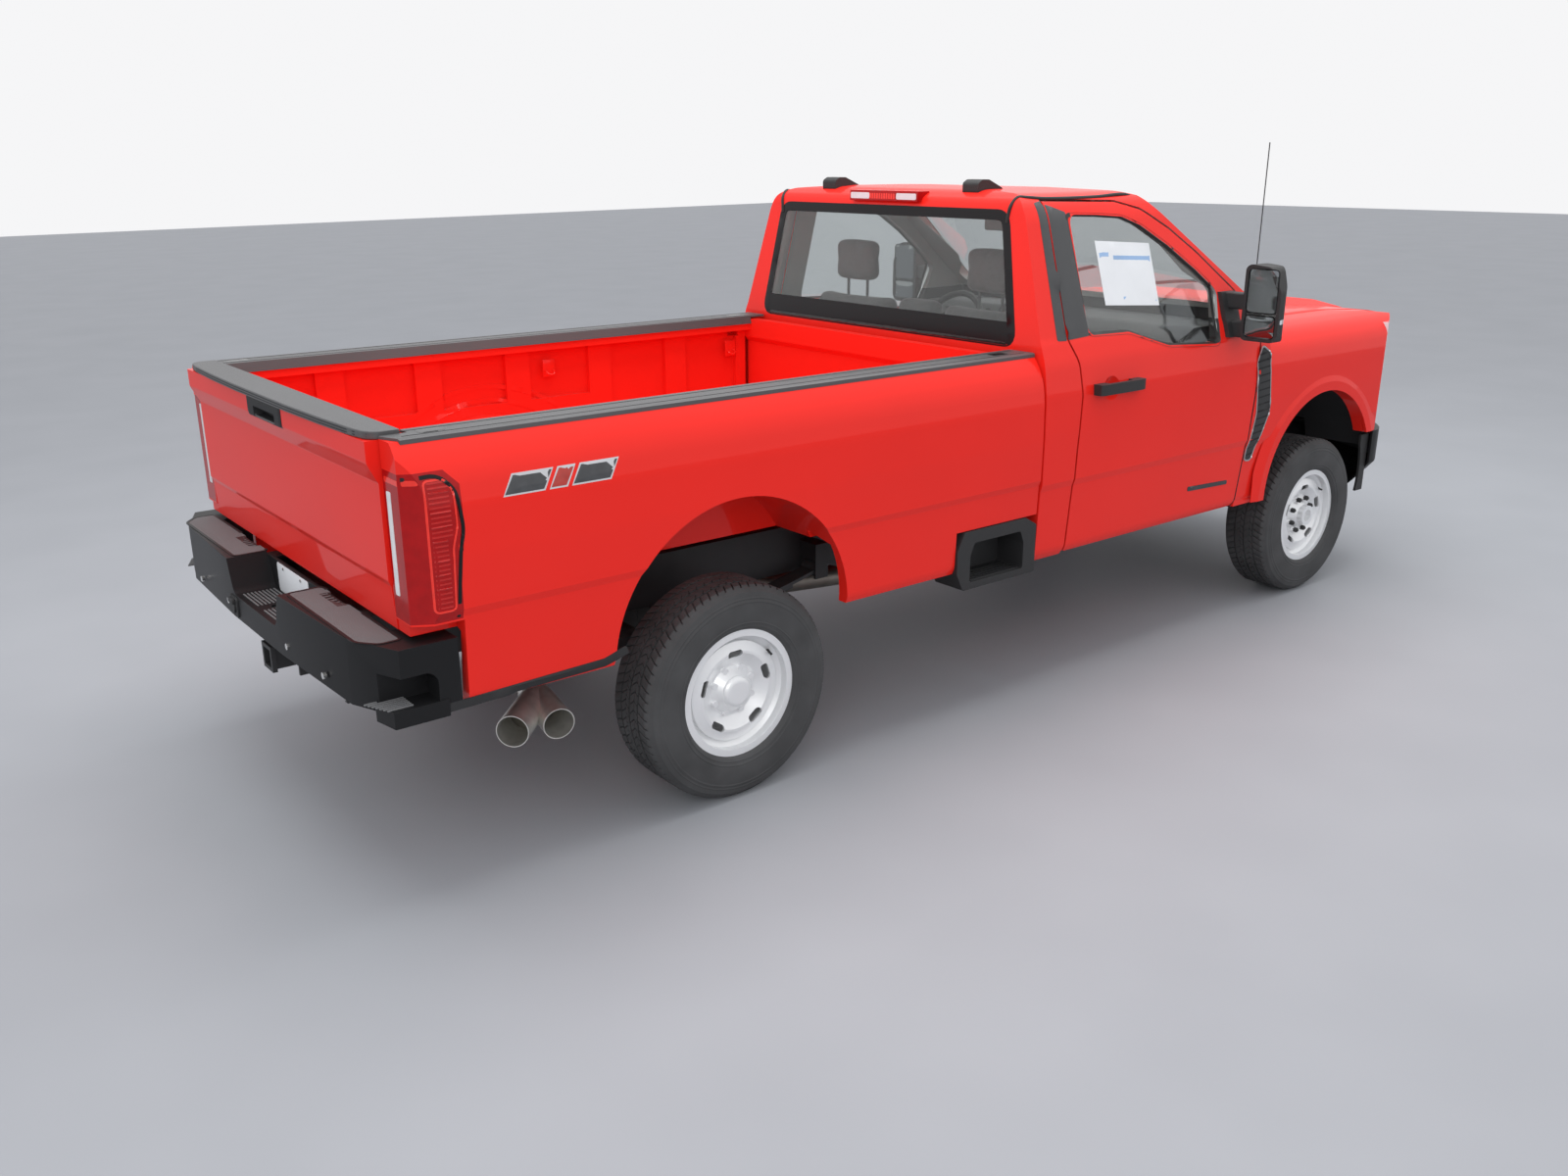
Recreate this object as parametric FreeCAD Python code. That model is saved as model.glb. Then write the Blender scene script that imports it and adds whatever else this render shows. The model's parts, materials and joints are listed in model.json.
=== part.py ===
import FreeCAD, Part
import math
import os

os.makedirs("parts", exist_ok=True)

# A full-size pickup truck with a two-door cab, a long load bed and driven front and rear axles.
# Millimetres. +X points forward, +Y to the left, +Z up, and the ground is z = 0.
# The truck is drawn level with x = 0 on the rear axle. Everything on the springs is then tipped
# nose down by the rake, and the whole truck is moved so that x = 0 is halfway along it.

V = FreeCAD.Vector
UP = V(0, 0, 1)
LEFTWARD = V(0, 1, 0)
FORWARD = V(1, 0, 0)

# Driving dimensions of the whole truck
WHEELBASE = 3597.0
CAB_LENGTH = 1570.0
REAR_OVERHANG = 1321.0
FRONT_OVERHANG = 970.0
FRONT_TRACK = 1735.0
REAR_TRACK = 1707.0
BODY_HALF_WIDTH = 1005.0
RAKE_DEGREES = 0.64
CUT_OVERRUN = 40.0
SEAT_GAP = 0.3
SHUT_GAP = 9.0
PANEL_GAP = 6.0
PEG_RADIUS = 9.0
EYE_RADIUS = 20.0

# Wheels and tyres
TYRE_RADIUS = 394.0
TYRE_WIDTH = 248.0
TREAD_WIDTH = 200.0
TREAD_DEPTH = 9.0
TREAD_GROOVE = 9.0
SIDEWALL_RADIUS = 300.0
SIDEWALL_THICK = 14.0
RIM_FLANGE_RADIUS = 234.0
RIM_WIDTH = 206.0
RIM_BEAD_RADIUS = 216.0
RIM_WELL_RADIUS = 188.0
RIM_SKIN = 6.0
BEAD_WIDTH = 26.0
DISC_OUTER_RADIUS = 184.0
DISC_FACE_OUT = 72.0
DISC_RIDGE_RADIUS = 150.0
DISC_RIDGE_OUT = 82.0
DISC_CENTRE_RADIUS = 88.0
DISC_CENTRE_OUT = 52.0
DISC_SKIN = 9.0
SLOT_COUNT = 5
SLOT_RADIUS = 140.0
SLOT_LENGTH = 62.0
SLOT_WIDTH = 26.0
HUB_RADIUS = 62.0
HUB_CAP_OUT = 98.0
HUB_CAP_ROUND = 24.0
FRONT_HUB_RADIUS = 50.0
FRONT_HUB_OUT = 112.0
FRONT_HUB_BORE = 30.0
LUG_NUT_COUNT = 8
LUG_CIRCLE_RADIUS = 85.0
LUG_NUT_RADIUS = 11.0
LUG_NUT_LENGTH = 24.0
BRAKE_RADIUS = 172.0
BRAKE_THICK = 34.0
BRAKE_INBOARD = 20.0
SPINDLE_RADIUS = 32.0
RUNNING_CLEARANCE = 0.05
SPINDLE_REACH = 60.0

# Axles, knuckles and driveline
AXLE_TUBE_RADIUS = 45.0
DIFF_RADIUS = 160.0
DIFF_NECK_LENGTH = 210.0
DIFF_NECK_RADIUS = 62.0
FRONT_DIFF_Y = 240.0
FRONT_DIFF_RADIUS = 125.0
KINGPIN_INBOARD = 100.0
KINGPIN_RADIUS = 18.0
KINGPIN_HALF_HEIGHT = 138.0
YOKE_ARM_THICK = 34.0
YOKE_ARM_HALF_WIDTH = 34.0
YOKE_GAP_HALF_HEIGHT = 96.0
YOKE_ROOT_LENGTH = 90.0
KNUCKLE_RADIUS = 44.0
KNUCKLE_HUB_RADIUS = 70.0
SHAFT_RADIUS = 40.0
FRONT_SHAFT_RADIUS = 30.0
JOINT_RADIUS = 48.0

# Ladder frame
RAIL_OUTER_Y = 470.0
RAIL_FLANGE = 76.0
RAIL_SKIN = 9.0
RAIL_LOW_Z = 470.0
RAIL_DEPTH = 190.0
RAIL_REAR_LOW_Z = 600.0
RAIL_FRONT_LOW_Z = 610.0
RAIL_BEND_ROUND = 120.0
CROSSMEMBER_WIDTH = 110.0
CROSSMEMBER_HEIGHT = 80.0

# Springs, dampers
LEAF_Y = 520.0
LEAF_WIDTH = 76.0
LEAF_THICK = 13.0
LEAF_COUNT = 4
LEAF_HALF_LENGTH = 700.0
LEAF_EYE_RADIUS = 32.0
LEAF_RISE = 95.0
LEAF_SEAT_HEIGHT = 40.0
SHACKLE_LENGTH = 110.0
SHACKLE_THICK = 10.0
COIL_Y = 545.0
COIL_RADIUS = 66.0
COIL_WIRE_RADIUS = 10.0
COIL_TURNS = 6
COIL_HEIGHT = 300.0
DAMPER_RADIUS = 32.0
DAMPER_ROD_RADIUS = 12.0

# Load bed
BED_INSIDE_HEIGHT = 536.0
BED_FLOOR_THICK = 22.0
BED_FLOOR_Z = 900.0
BED_RIB_HEIGHT = 12.0
BED_RIB_COUNT = 8
BED_RIB_WIDTH = 80.0
BED_FRONT_THICK = 45.0
BED_SIDE_SKIRT = 38.0
BED_SIDE_BOTTOM_Z = 632.0
BED_JAMB_DEPTH = 85.0
RAIL_TOP_DEPTH = 60.0
RAIL_CAP_THICK = 8.0
RAIL_CAP_LIP = 30.0
WHEELHOUSE_INNER_Y = 641.5
WHEELHOUSE_SKIN = 6.0
REAR_ARCH_RADIUS = 492.0
REAR_ARCH_CENTRE_X = -20.0
REAR_ARCH_CENTRE_Z = 620.0
BED_PANEL_RECESS = 24.0
BED_PANEL_COUNT = 6
STAKE_POCKET = 45.0
BOX_STEP_TOP_Z = 800.0
BOX_STEP_DEPTH = 150.0
BOX_STEP_SKIN = 10.0
BOX_STEP_BOTTOM_Z = 560.0
BOX_TREAD_THICK = 28.0
FUEL_DOOR_WIDTH = 190.0
FUEL_DOOR_HEIGHT = 180.0
FUEL_DOOR_Z = 1120.0
FUEL_DOOR_THICK = 5.0
FUEL_POCKET_DEPTH = 50.0
FUEL_PIN_RADIUS = 3.0

# Tailgate and tail lamps
TAILGATE_BOTTOM_Z = 869.0
TAILGATE_TOP_Z = 1432.0
TAILGATE_THICK = 76.0
TAILGATE_LIP = 30.0
TAILGATE_HINGE_Z = 895.0
TAILGATE_PIN_RADIUS = 12.0
CAP_THICK = 24.0
HANDLE_WIDTH = 330.0
HANDLE_HEIGHT = 70.0
LAMP_BOTTOM_Z = 912.0
LAMP_TOP_Z = 1352.0

# Rear bumper and hitch
BUMPER_TOP_Z = 854.0
BUMPER_LOW_Z = 646.0
BUMPER_CORNER_ROUND = 130.0
BUMPER_SKIN = 8.0
BUMPER_NOTCH_HALF_WIDTH = 255.0
BUMPER_NOTCH_DEPTH = 120.0
PLATE_WALL_THICK = 12.0
POCKET_DEPTH = 90.0
POCKET_LENGTH = 190.0
POCKET_TREAD_THICK = 26.0
BALL_HOLE_RADIUS = 16.0
HITCH_TUBE = 76.0
HITCH_BORE = 64.0
HITCH_Z = 560.0
HITCH_LENGTH = 320.0
HITCH_BEAM_RADIUS = 32.0
HITCH_PLATE_THICK = 12.0

# Cab
CAB_BOTTOM_Z = 590.0
CAB_TOP_Z = 2062.0
CAB_UNDERSIDE_Z = 700.0
CAB_FLOOR_Z = 760.0
CAB_WALL = 110.0
CAB_ROOF_THICK = 45.0
CAB_REAR_WALL = 80.0
CAB_FRAME_THICK = 48.0
BELT_Z = 1480.0
COWL_Z = 1480.0
WINDSCREEN_BULGE = 130.0
WINDSCREEN_LEAN = 1.525
WINDSCREEN_THICK_X = 11.0
GLASS_THICK = 5.0
BACKLIGHT_LOW_Z = 1456.0
BACKLIGHT_TOP_Z = 1972.0
ROOF_LAMP_WIDTH = 430.0
ROOF_LAMP_HEIGHT = 44.0
ROOF_LAMP_DEPTH = 24.0
ROOF_HUMP_Y = 447.0
ROOF_HUMP_LENGTH = 210.0
ROOF_HUMP_WIDTH = 90.0
ROOF_HUMP_HEIGHT = 34.0

# Doors
DOOR_BOTTOM_Z = 600.0
DOOR_TOP_Z = 2008.0
DOOR_THICK = 85.0
DOOR_INBOARD_SHARE = 0.70
WINDOW_LOW_Z = 1379.0
WINDOW_TOP_Z = 1956.0
GLASS_INSET = 14.0
HINGE_HEIGHTS = (900.0, 1150.0)
HINGE_PIN_RADIUS = 6.0
HINGE_PIN_HALF = 45.0
HINGE_STRAP_HALF = 15.0
HINGE_STRAP_WIDTH = 16.0
HINGE_SKIN = 2.0
HINGE_SLACK = 1.0
HANDLE_LENGTH = 290.0
HANDLE_Z = 1275.0
HANDLE_BAR_HEIGHT = 44.0
HANDLE_PROUD = 42.0
HANDLE_CUP_RADIUS = 90.0
HANDLE_CUP_DEPTH = 22.0

# Mirrors
MIRROR_WIDTH = 182.0
MIRROR_LOW_Z = 1400.0
MIRROR_HEIGHT = 330.0
MIRROR_DEPTH = 120.0
MIRROR_ROUND = 45.0
MIRROR_ARM_RADIUS = 19.0
MIRROR_ARM_HALF = 36.0
MIRROR_ARM_LOW_Z = 1444.0
MIRROR_ARM_HIGH_Z = 1566.0
MIRROR_FOOT_THICK = 22.0
MIRROR_PANE_THICK = 4.0
MIRROR_PANE_BORDER = 16.0

# Front end
FENDER_SHOULDER_Z = 1330.0
FENDER_TOP_Z = 1432.0
FENDER_THICK = 46.0
FENDER_BOTTOM_Z = 594.0
FENDER_FRONT_LOW_Z = 816.0
FRONT_ARCH_RADIUS = 478.0
FRONT_ARCH_CENTRE_Z = 600.0
LINER_RADIUS = 545.0
LINER_SKIN = 6.0
LINER_INNER_Y = 520.0
HOOD_TOP_Z = 1478.0
HOOD_EDGE_Z = 1440.0
HOOD_THICK = 40.0
HOOD_REAR_BULGE = 150.0
HOOD_HINGE_Z = 1455.0
HOOD_KNUCKLE = 12.0
HOOD_ARM_LENGTH = 90.0
HOOD_ARM_THICK = 22.0
COWL_PANEL_DEPTH = 90.0
GRILLE_LOW_Z = 830.0
GRILLE_TOP_Z = 1330.0
GRILLE_DEPTH = 60.0
GRILLE_BAR_HEIGHT = 60.0
GRILLE_BAR_COUNT = 3
HEADLAMP_LOW_Z = 812.0
HEADLAMP_TOP_Z = 1366.0
FRONT_BUMPER_TOP_Z = 806.0
FRONT_BUMPER_LOW_Z = 500.0
FRONT_BUMPER_SKIN = 10.0
FRONT_BUMPER_TUCK = 90.0
FLARE_WIDTH = 110.0
FLARE_LIP_WIDTH = 30.0
AIR_DAM_LOW_Z = 380.0
RADIATOR_HALF_WIDTH = 420.0
RADIATOR_THICK = 70.0
RADIATOR_TOP_Z = 1300.0
ANTENNA_RADIUS = 2.5
ANTENNA_TOP_Z = 2236.0
ANTENNA_BASE_RADIUS = 14.0

# Engine, gearbox, tank, exhaust
ENGINE_LENGTH = 780.0
ENGINE_HALF_WIDTH = 330.0
ENGINE_LOW_Z = 660.0
ENGINE_TOP_Z = 1330.0
ENGINE_LOW_HALF_WIDTH = 180.0
GEARBOX_RADIUS_FRONT = 190.0
GEARBOX_RADIUS_REAR = 110.0
GEARBOX_Z = 660.0
TRANSFER_LENGTH = 170.0
TRANSFER_DEPTH = 150.0
TUNNEL_HALF_WIDTH = 215.0
TUNNEL_TOP_Z = 855.0
TUNNEL_SKIN = 25.0
# The two crossmembers that the tank hangs between, as shares of the wheelbase
TANK_SPAN_SHARES = (0.12, 0.42)
TANK_CLEARANCE = 14.0
TANK_INNER_Y = 78.0
TANK_LOW_Z = 440.0
TANK_HEIGHT = 250.0
TANK_ROUND = 40.0
PIPE_RADIUS = 46.0
PIPE_BEND = 160.0
PIPE_Y = 262.0
MUFFLER_RADIUS = 95.0
MUFFLER_LENGTH = 650.0
MUFFLER_Z = 440.0
TIP_RADIUS = 54.0
TIP_SKIN = 3.0
TAIL_PIPE_Z = 440.0
AXLE_PIPE_Z = 640.0
# Ends of the two tips, as shares of the wheelbase
TIP_AIM_SHARES = [(-0.2290, 0.1235), (-0.1825, 0.1180)]

# Cab interior
SEAT_WIDTH = 560.0
SEAT_Y = 430.0
SEAT_DEPTH = 520.0
SEAT_THICK = 130.0
SEAT_BASE_Z = 900.0
SEAT_BACK_HEIGHT = 620.0
SEAT_BACK_THICK = 130.0
CENTRE_SEAT_WIDTH = 270.0
HEADREST_WIDTH = 270.0
HEADREST_HEIGHT = 200.0
HEADREST_THICK = 110.0
HEADREST_POST_RADIUS = 7.0
DASH_TOP_Z = 1440.0
DASH_LOW_Z = 1080.0
COLUMN_RADIUS = 36.0
STEERING_RADIUS = 192.0
STEERING_RIM_RADIUS = 16.0
STEERING_HUB_RADIUS = 80.0
STEERING_Y = 430.0
STEERING_Z = 1340.0
STEERING_LEAN_DEGREES = 28.0

# Stations along the truck: each stands a set distance ahead of the one it hangs on
CAB_FRONT_SET = -537.0
CAB_FRONT_X = WHEELBASE + CAB_FRONT_SET
CAB_REAR_X = CAB_FRONT_X - CAB_LENGTH
WINDSCREEN_SIDE_SET = 0.0
WINDSCREEN_SIDE_X = CAB_FRONT_X + WINDSCREEN_SIDE_SET
FIREWALL_SET = -70.0
FIREWALL_X = CAB_FRONT_X + FIREWALL_SET
ROOF_HUMP_SET = 100.0
ROOF_HUMP_X = CAB_REAR_X + ROOF_HUMP_SET
DOOR_REAR_SET = 170.0
DOOR_REAR_X = CAB_REAR_X + DOOR_REAR_SET
DOOR_FRONT_SET = -80.0
DOOR_FRONT_X = CAB_FRONT_X + DOOR_FRONT_SET
DOOR_HINGE_SET = -191.0
DOOR_HINGE_X = CAB_FRONT_X + DOOR_HINGE_SET
WINDOW_REAR_SET = 129.0
WINDOW_REAR_X = DOOR_REAR_X + WINDOW_REAR_SET
WINDOW_FRONT_SET = -277.0
WINDOW_FRONT_X = DOOR_FRONT_X + WINDOW_FRONT_SET
HANDLE_REAR_SET = 120.0
HANDLE_REAR_X = DOOR_REAR_X + HANDLE_REAR_SET
MIRROR_SET = -220.0
MIRROR_X = DOOR_FRONT_X + MIRROR_SET
SEAT_REAR_SET = 210.0
SEAT_REAR_X = CAB_REAR_X + SEAT_REAR_SET
DASH_REAR_SET = -500.0
DASH_REAR_X = CAB_FRONT_X + DASH_REAR_SET
STEERING_SET = -660.0
STEERING_X = CAB_FRONT_X + STEERING_SET
TUNNEL_REAR_SET = -1100.0
TUNNEL_REAR_X = CAB_FRONT_X + TUNNEL_REAR_SET
GEARBOX_REAR_SET = -980.0
GEARBOX_REAR_X = CAB_FRONT_X + GEARBOX_REAR_SET
ENGINE_REAR_SET = 30.0
ENGINE_REAR_X = CAB_FRONT_X + ENGINE_REAR_SET
ANTENNA_SET = 34.0
ANTENNA_X = CAB_FRONT_X + ANTENNA_SET
HOOD_REAR_SET = 25.0
HOOD_REAR_X = CAB_FRONT_X + HOOD_REAR_SET
HOOD_HINGE_SET = 70.0
HOOD_HINGE_X = CAB_FRONT_X + HOOD_HINGE_SET
FENDER_FRONT_SET = 535.0
FENDER_FRONT_X = WHEELBASE + FENDER_FRONT_SET
FRONT_ARCH_CENTRE_SET = -7.0
FRONT_ARCH_CENTRE_X = WHEELBASE + FRONT_ARCH_CENTRE_SET
HOOD_FRONT_SET = 881.0
HOOD_FRONT_X = WHEELBASE + HOOD_FRONT_SET
NOSE_SET = 913.0
NOSE_X = WHEELBASE + NOSE_SET
FRONT_BUMPER_END_SET = 525.0
FRONT_BUMPER_END_X = WHEELBASE + FRONT_BUMPER_END_SET
RADIATOR_SET = 643.0
RADIATOR_X = WHEELBASE + RADIATOR_SET
RAIL_FRONT_SET = 843.0
RAIL_FRONT_X = WHEELBASE + RAIL_FRONT_SET
BED_FRONT_SET = -93.0
BED_FRONT_X = CAB_REAR_X + BED_FRONT_SET
BED_REAR_SET = 226.0
BED_REAR_X = BED_REAR_SET - REAR_OVERHANG
BED_INSIDE_LENGTH = BED_FRONT_X - BED_REAR_X
BED_SIDE_FRONT_SET = -10.0
BED_SIDE_FRONT_X = CAB_REAR_X + BED_SIDE_FRONT_SET
BED_SIDE_REAR_SET = -73.0
BED_SIDE_REAR_X = BED_REAR_X + BED_SIDE_REAR_SET
BED_SKIRT_REAR_SET = 77.0
BED_SKIRT_REAR_X = BED_REAR_X + BED_SKIRT_REAR_SET
BOX_STEP_REAR_SET = -458.0
BOX_STEP_REAR_X = BED_SIDE_FRONT_X + BOX_STEP_REAR_SET
FUEL_DOOR_SET = -350.0
FUEL_DOOR_X = BED_SIDE_FRONT_X + FUEL_DOOR_SET
TAILGATE_OUTER_SET = -83.0
TAILGATE_OUTER_X = BED_REAR_X + TAILGATE_OUTER_SET
TAILGATE_HINGE_SET = -53.0
TAILGATE_HINGE_X = BED_REAR_X + TAILGATE_HINGE_SET
LAMP_FRONT_SET = 95.0
LAMP_FRONT_X = BED_REAR_X + LAMP_FRONT_SET
BUMPER_FACE_SET = -205.0
BUMPER_FACE_X = BED_REAR_X + BUMPER_FACE_SET
BUMPER_INNER_SET = -85.0
BUMPER_INNER_X = BED_REAR_X + BUMPER_INNER_SET
BUMPER_END_SET = 55.0
BUMPER_END_X = BED_REAR_X + BUMPER_END_SET
BALL_HOLE_SET = -153.0
BALL_HOLE_X = BED_REAR_X + BALL_HOLE_SET
HITCH_REAR_SET = -205.0
HITCH_REAR_X = BED_REAR_X + HITCH_REAR_SET
RAIL_REAR_SET = -70.0
RAIL_REAR_X = BED_REAR_X + RAIL_REAR_SET
TANK_REAR_X = TANK_SPAN_SHARES[0] * WHEELBASE + CROSSMEMBER_WIDTH / 2 + TANK_CLEARANCE
TANK_LENGTH = TANK_SPAN_SHARES[1] * WHEELBASE - CROSSMEMBER_WIDTH / 2 - TANK_CLEARANCE - TANK_REAR_X
MUFFLER_REAR_X = 0.328 * WHEELBASE

# Widths that follow the body's: each stands a set distance outboard of its half width
BED_INSIDE_HALF_WIDTH_SET = -155.0
BED_INSIDE_HALF_WIDTH = BODY_HALF_WIDTH + BED_INSIDE_HALF_WIDTH_SET
BED_JAMB_HALF_WIDTH_SET = -147.0
BED_JAMB_HALF_WIDTH = BODY_HALF_WIDTH + BED_JAMB_HALF_WIDTH_SET
RAIL_TOP_INNER_SET = -200.0
RAIL_TOP_INNER_Y = BODY_HALF_WIDTH + RAIL_TOP_INNER_SET
TAILGATE_HALF_WIDTH_SET = -153.0
TAILGATE_HALF_WIDTH = BODY_HALF_WIDTH + TAILGATE_HALF_WIDTH_SET
LAMP_INNER_SET = -145.0
LAMP_INNER_Y = BODY_HALF_WIDTH + LAMP_INNER_SET
BUMPER_HALF_WIDTH_SET = -20.0
BUMPER_HALF_WIDTH = BODY_HALF_WIDTH + BUMPER_HALF_WIDTH_SET
ROCKER_INNER_SET = -145.0
ROCKER_INNER_Y = BODY_HALF_WIDTH + ROCKER_INNER_SET
DOOR_HINGE_SET = -25.0
DOOR_HINGE_Y = BODY_HALF_WIDTH + DOOR_HINGE_SET
MIRROR_INNER_SET = 29.0
MIRROR_INNER_Y = BODY_HALF_WIDTH + MIRROR_INNER_SET
FENDER_INNER_SET = -215.0
FENDER_INNER_Y = BODY_HALF_WIDTH + FENDER_INNER_SET
HOOD_HALF_WIDTH_SET = -221.0
HOOD_HALF_WIDTH = BODY_HALF_WIDTH + HOOD_HALF_WIDTH_SET
HOOD_HINGE_SET = -305.0
HOOD_HINGE_Y = BODY_HALF_WIDTH + HOOD_HINGE_SET
FRONT_BUMPER_HALF_WIDTH_SET = -13.0
FRONT_BUMPER_HALF_WIDTH = BODY_HALF_WIDTH + FRONT_BUMPER_HALF_WIDTH_SET
FLARE_SET = 11.0
FLARE_Y = BODY_HALF_WIDTH + FLARE_SET
GRILLE_HALF_WIDTH_SET = -365.0
GRILLE_HALF_WIDTH = BODY_HALF_WIDTH + GRILLE_HALF_WIDTH_SET
BACKLIGHT_HALF_TOP_SET = -323.0
BACKLIGHT_HALF_TOP = BODY_HALF_WIDTH + BACKLIGHT_HALF_TOP_SET
BACKLIGHT_HALF_LOW_SET = -193.0
BACKLIGHT_HALF_LOW = BODY_HALF_WIDTH + BACKLIGHT_HALF_LOW_SET
DASH_HALF_WIDTH_SET = -159.0
DASH_HALF_WIDTH = BODY_HALF_WIDTH + DASH_HALF_WIDTH_SET
ANTENNA_SET = -150.0
ANTENNA_Y = BODY_HALF_WIDTH + ANTENNA_SET

# Half section of cab and door, as shares of the half width and of the height, bottom to roof
CAB_SECTION_SHARES = [
    (0.957, 0.000), (0.980, 0.022), (0.991, 0.203), (1.000, 0.222), (1.000, 0.360), (0.996, 0.463),
    (0.980, 0.545), (0.953, 0.598), (0.943, 0.612), (0.800, 0.930), (0.762, 0.968), (0.700, 0.984),
    (0.450, 0.994), (0.000, 1.000)]

# Side view of the cab shell above the belt: rear window, roof and the roof's front edge
CAB_PROFILE_SHARES = [
    (0.000, 0.000), (0.000, 0.590), (0.028, 0.950), (0.036, 0.968), (0.075, 0.990), (0.200, 1.000),
    (0.360, 0.994), (0.460, 0.985), (0.560, 0.960), (1.300, 0.700), (1.300, 0.000)]

# Door outline in side view, as shares of its length and height
DOOR_SHARES = [
    (0.002, 1.000), (0.000, 0.624), (0.014, 0.598), (0.032, 0.560), (0.043, 0.466), (0.030, 0.308),
    (0.016, 0.011), (0.022, 0.000), (0.932, 0.000), (0.940, 0.008), (0.955, 0.152), (0.977, 0.355),
    (0.995, 0.533), (1.000, 0.596), (0.966, 0.650), (0.873, 0.722), (0.713, 0.832), (0.583, 0.908),
    (0.453, 0.968), (0.339, 0.992)]

# Window opening of the door: the belt steps down towards the front
WINDOW_SHARES = [
    (0.000, 0.187), (0.282, 0.179), (0.360, 0.142), (0.553, 0.050), (0.940, 0.010), (0.962, 0.030),
    (1.000, 0.381), (0.975, 0.430), (0.866, 0.558), (0.678, 0.749), (0.493, 0.905), (0.368, 0.970),
    (0.185, 0.990), (0.000, 1.000)]

# Outer section of a bed side, shares of half width and of its height, bottom to rail
BED_SECTION_SHARES = [
    (0.968, 0.000), (0.980, 0.030), (0.990, 0.355), (0.999, 0.385), (1.000, 0.580), (0.996, 0.760),
    (0.985, 0.870), (0.958, 0.945), (0.923, 1.000)]

# Front fender section, shares of half width and of the height from its bottom to its top
FENDER_SECTION_SHARES = [
    (0.975, 0.000), (0.991, 0.340), (1.000, 0.380), (1.003, 0.600), (1.000, 0.780), (0.985, 0.880),
    (0.930, 0.955), (0.860, 0.985), (0.787, 1.000)]

# Plan view of the nose, shares of the half width and of the sweep back from the nose
NOSE_PLAN_SHARES = [(0.000, 0.000), (0.600, 0.100), (0.800, 0.290), (0.922, 0.590), (1.008, 1.000)]
NOSE_SWEEP = 420.0

# Side profiles of the hood's flanks and raised middle, shares back from its front and up from the grille
HOOD_FLANK_SHARES = [(0.005, 0.00), (0.020, 0.310), (0.127, 0.473), (0.248, 0.600), (0.487, 0.720),
                     (0.700, 0.790),
                     (1.000, 0.790)]
HOOD_DOME_SHARES = [(0.030, 0.000), (0.036, 0.200), (0.105, 0.480), (0.200, 0.760), (0.350, 0.920),
                    (1.000, 1.045)]
FENDER_TOP_SHARES = [(0.005, 0.04), (0.020, 0.260), (0.127, 0.440), (0.248, 0.580), (0.487, 0.710),
                     (0.700, 0.780),
                     (1.600, 0.780)]

# Plan of the front bumper, shares of its half width and of the sweep back from its tip
BUMPER_NOSE_SHARES = [(0.001, 0.000), (0.22, 0.020), (0.42, 0.070), (0.62, 0.165), (0.80, 0.355),
                      (0.90, 0.545), (0.968, 0.755), (1.000, 0.930)]

# Tyre section above the rim's flange, shares of half width and of the rise to the tread
TYRE_SECTION_SHARES = [
    (0.835, 0.000), (0.930, 0.060), (0.985, 0.200), (1.000, 0.400), (0.985, 0.620), (0.930, 0.850)]


def flat(point, plane):
    # Places a two-number point in the side (xz), front (yz) or plan (xy) plane
    a, b = point[0], point[1]
    if plane == "xz":
        return V(a, 0, b)
    if plane == "yz":
        return V(0, a, b)
    return V(a, b, 0)


def spread(shares, start, span, base, rise):
    return [(start + share[0] * span, base + share[1] * rise) for share in shares]


def corner(before, point, after, radius):
    # The arc that rounds a corner: its two ends and middle, or nothing where the line is straight
    back = before - point
    ahead = after - point
    room = 0.48 * min(back.Length, ahead.Length)
    back.normalize()
    ahead.normalize()
    turn = back.getAngle(ahead) / 2
    if turn > 0.4999 * math.pi or radius <= 0:
        return None
    reach = min(radius / math.tan(turn), room)
    bend = reach * math.tan(turn)
    middle = (back + ahead).normalize()
    centre = point + middle * (bend / math.sin(turn))
    return point + back * reach, centre - middle * bend, point + ahead * reach


def outline(points, plane, radius=0, sharp=()):
    # A closed wire through the points, its corners rounded as far as their legs allow
    spots = [flat(point, plane) for point in points]
    edges = []
    ends = []
    for index, spot in enumerate(spots):
        before = spots[index - 1]
        after = spots[(index + 1) % len(spots)]
        arc = corner(before, spot, after, 0 if index in sharp else radius)
        ends.append(arc if arc else (spot, None, spot))
    for index, arc in enumerate(ends):
        following = ends[(index + 1) % len(ends)]
        if arc[1] is not None:
            edges.append(Part.Arc(arc[0], arc[1], arc[2]).toShape())
        if (following[0] - arc[2]).Length > 0.001:
            edges.append(Part.LineSegment(arc[2], following[0]).toShape())
    return Part.Wire(edges)


def plate(points, plane, start, end, radius=0, sharp=()):
    # The outline made solid from start to end along the axis that its plane leaves out
    wire = outline(points, plane, radius, sharp)
    axis = {"xz": LEFTWARD, "yz": FORWARD, "xy": UP}[plane]
    wire.translate(axis * start)
    return Part.Face(wire).extrude(axis * (end - start))


def box(x0, x1, y0, y1, z0, z1):
    return Part.makeBox(x1 - x0, y1 - y0, z1 - z0, V(x0, y0, z0))


def soft_box(x0, x1, y0, y1, z0, z1, radius):
    # A box with all its edges rounded
    solid = box(x0, x1, y0, y1, z0, z1)
    return solid.makeFillet(radius, solid.Edges)


def rod(start, end, radius):
    return Part.makeCylinder(radius, (end - start).Length, start, end - start)


def pipe(points, radius, bend):
    # A round tube of straight runs joined by tangent arcs
    edges = []
    last = points[0]
    for before, point, after in zip(points, points[1:], points[2:]):
        arc = corner(before, point, after, bend)
        edges.append(Part.LineSegment(last, arc[0]).toShape())
        edges.append(Part.Arc(arc[0], arc[1], arc[2]).toShape())
        last = arc[2]
    edges.append(Part.LineSegment(last, points[-1]).toShape())
    path = Part.Wire(edges)
    ring = Part.Wire(Part.makeCircle(radius, points[0], points[1] - points[0]))
    return path.makePipeShell([ring], True, True)


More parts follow.
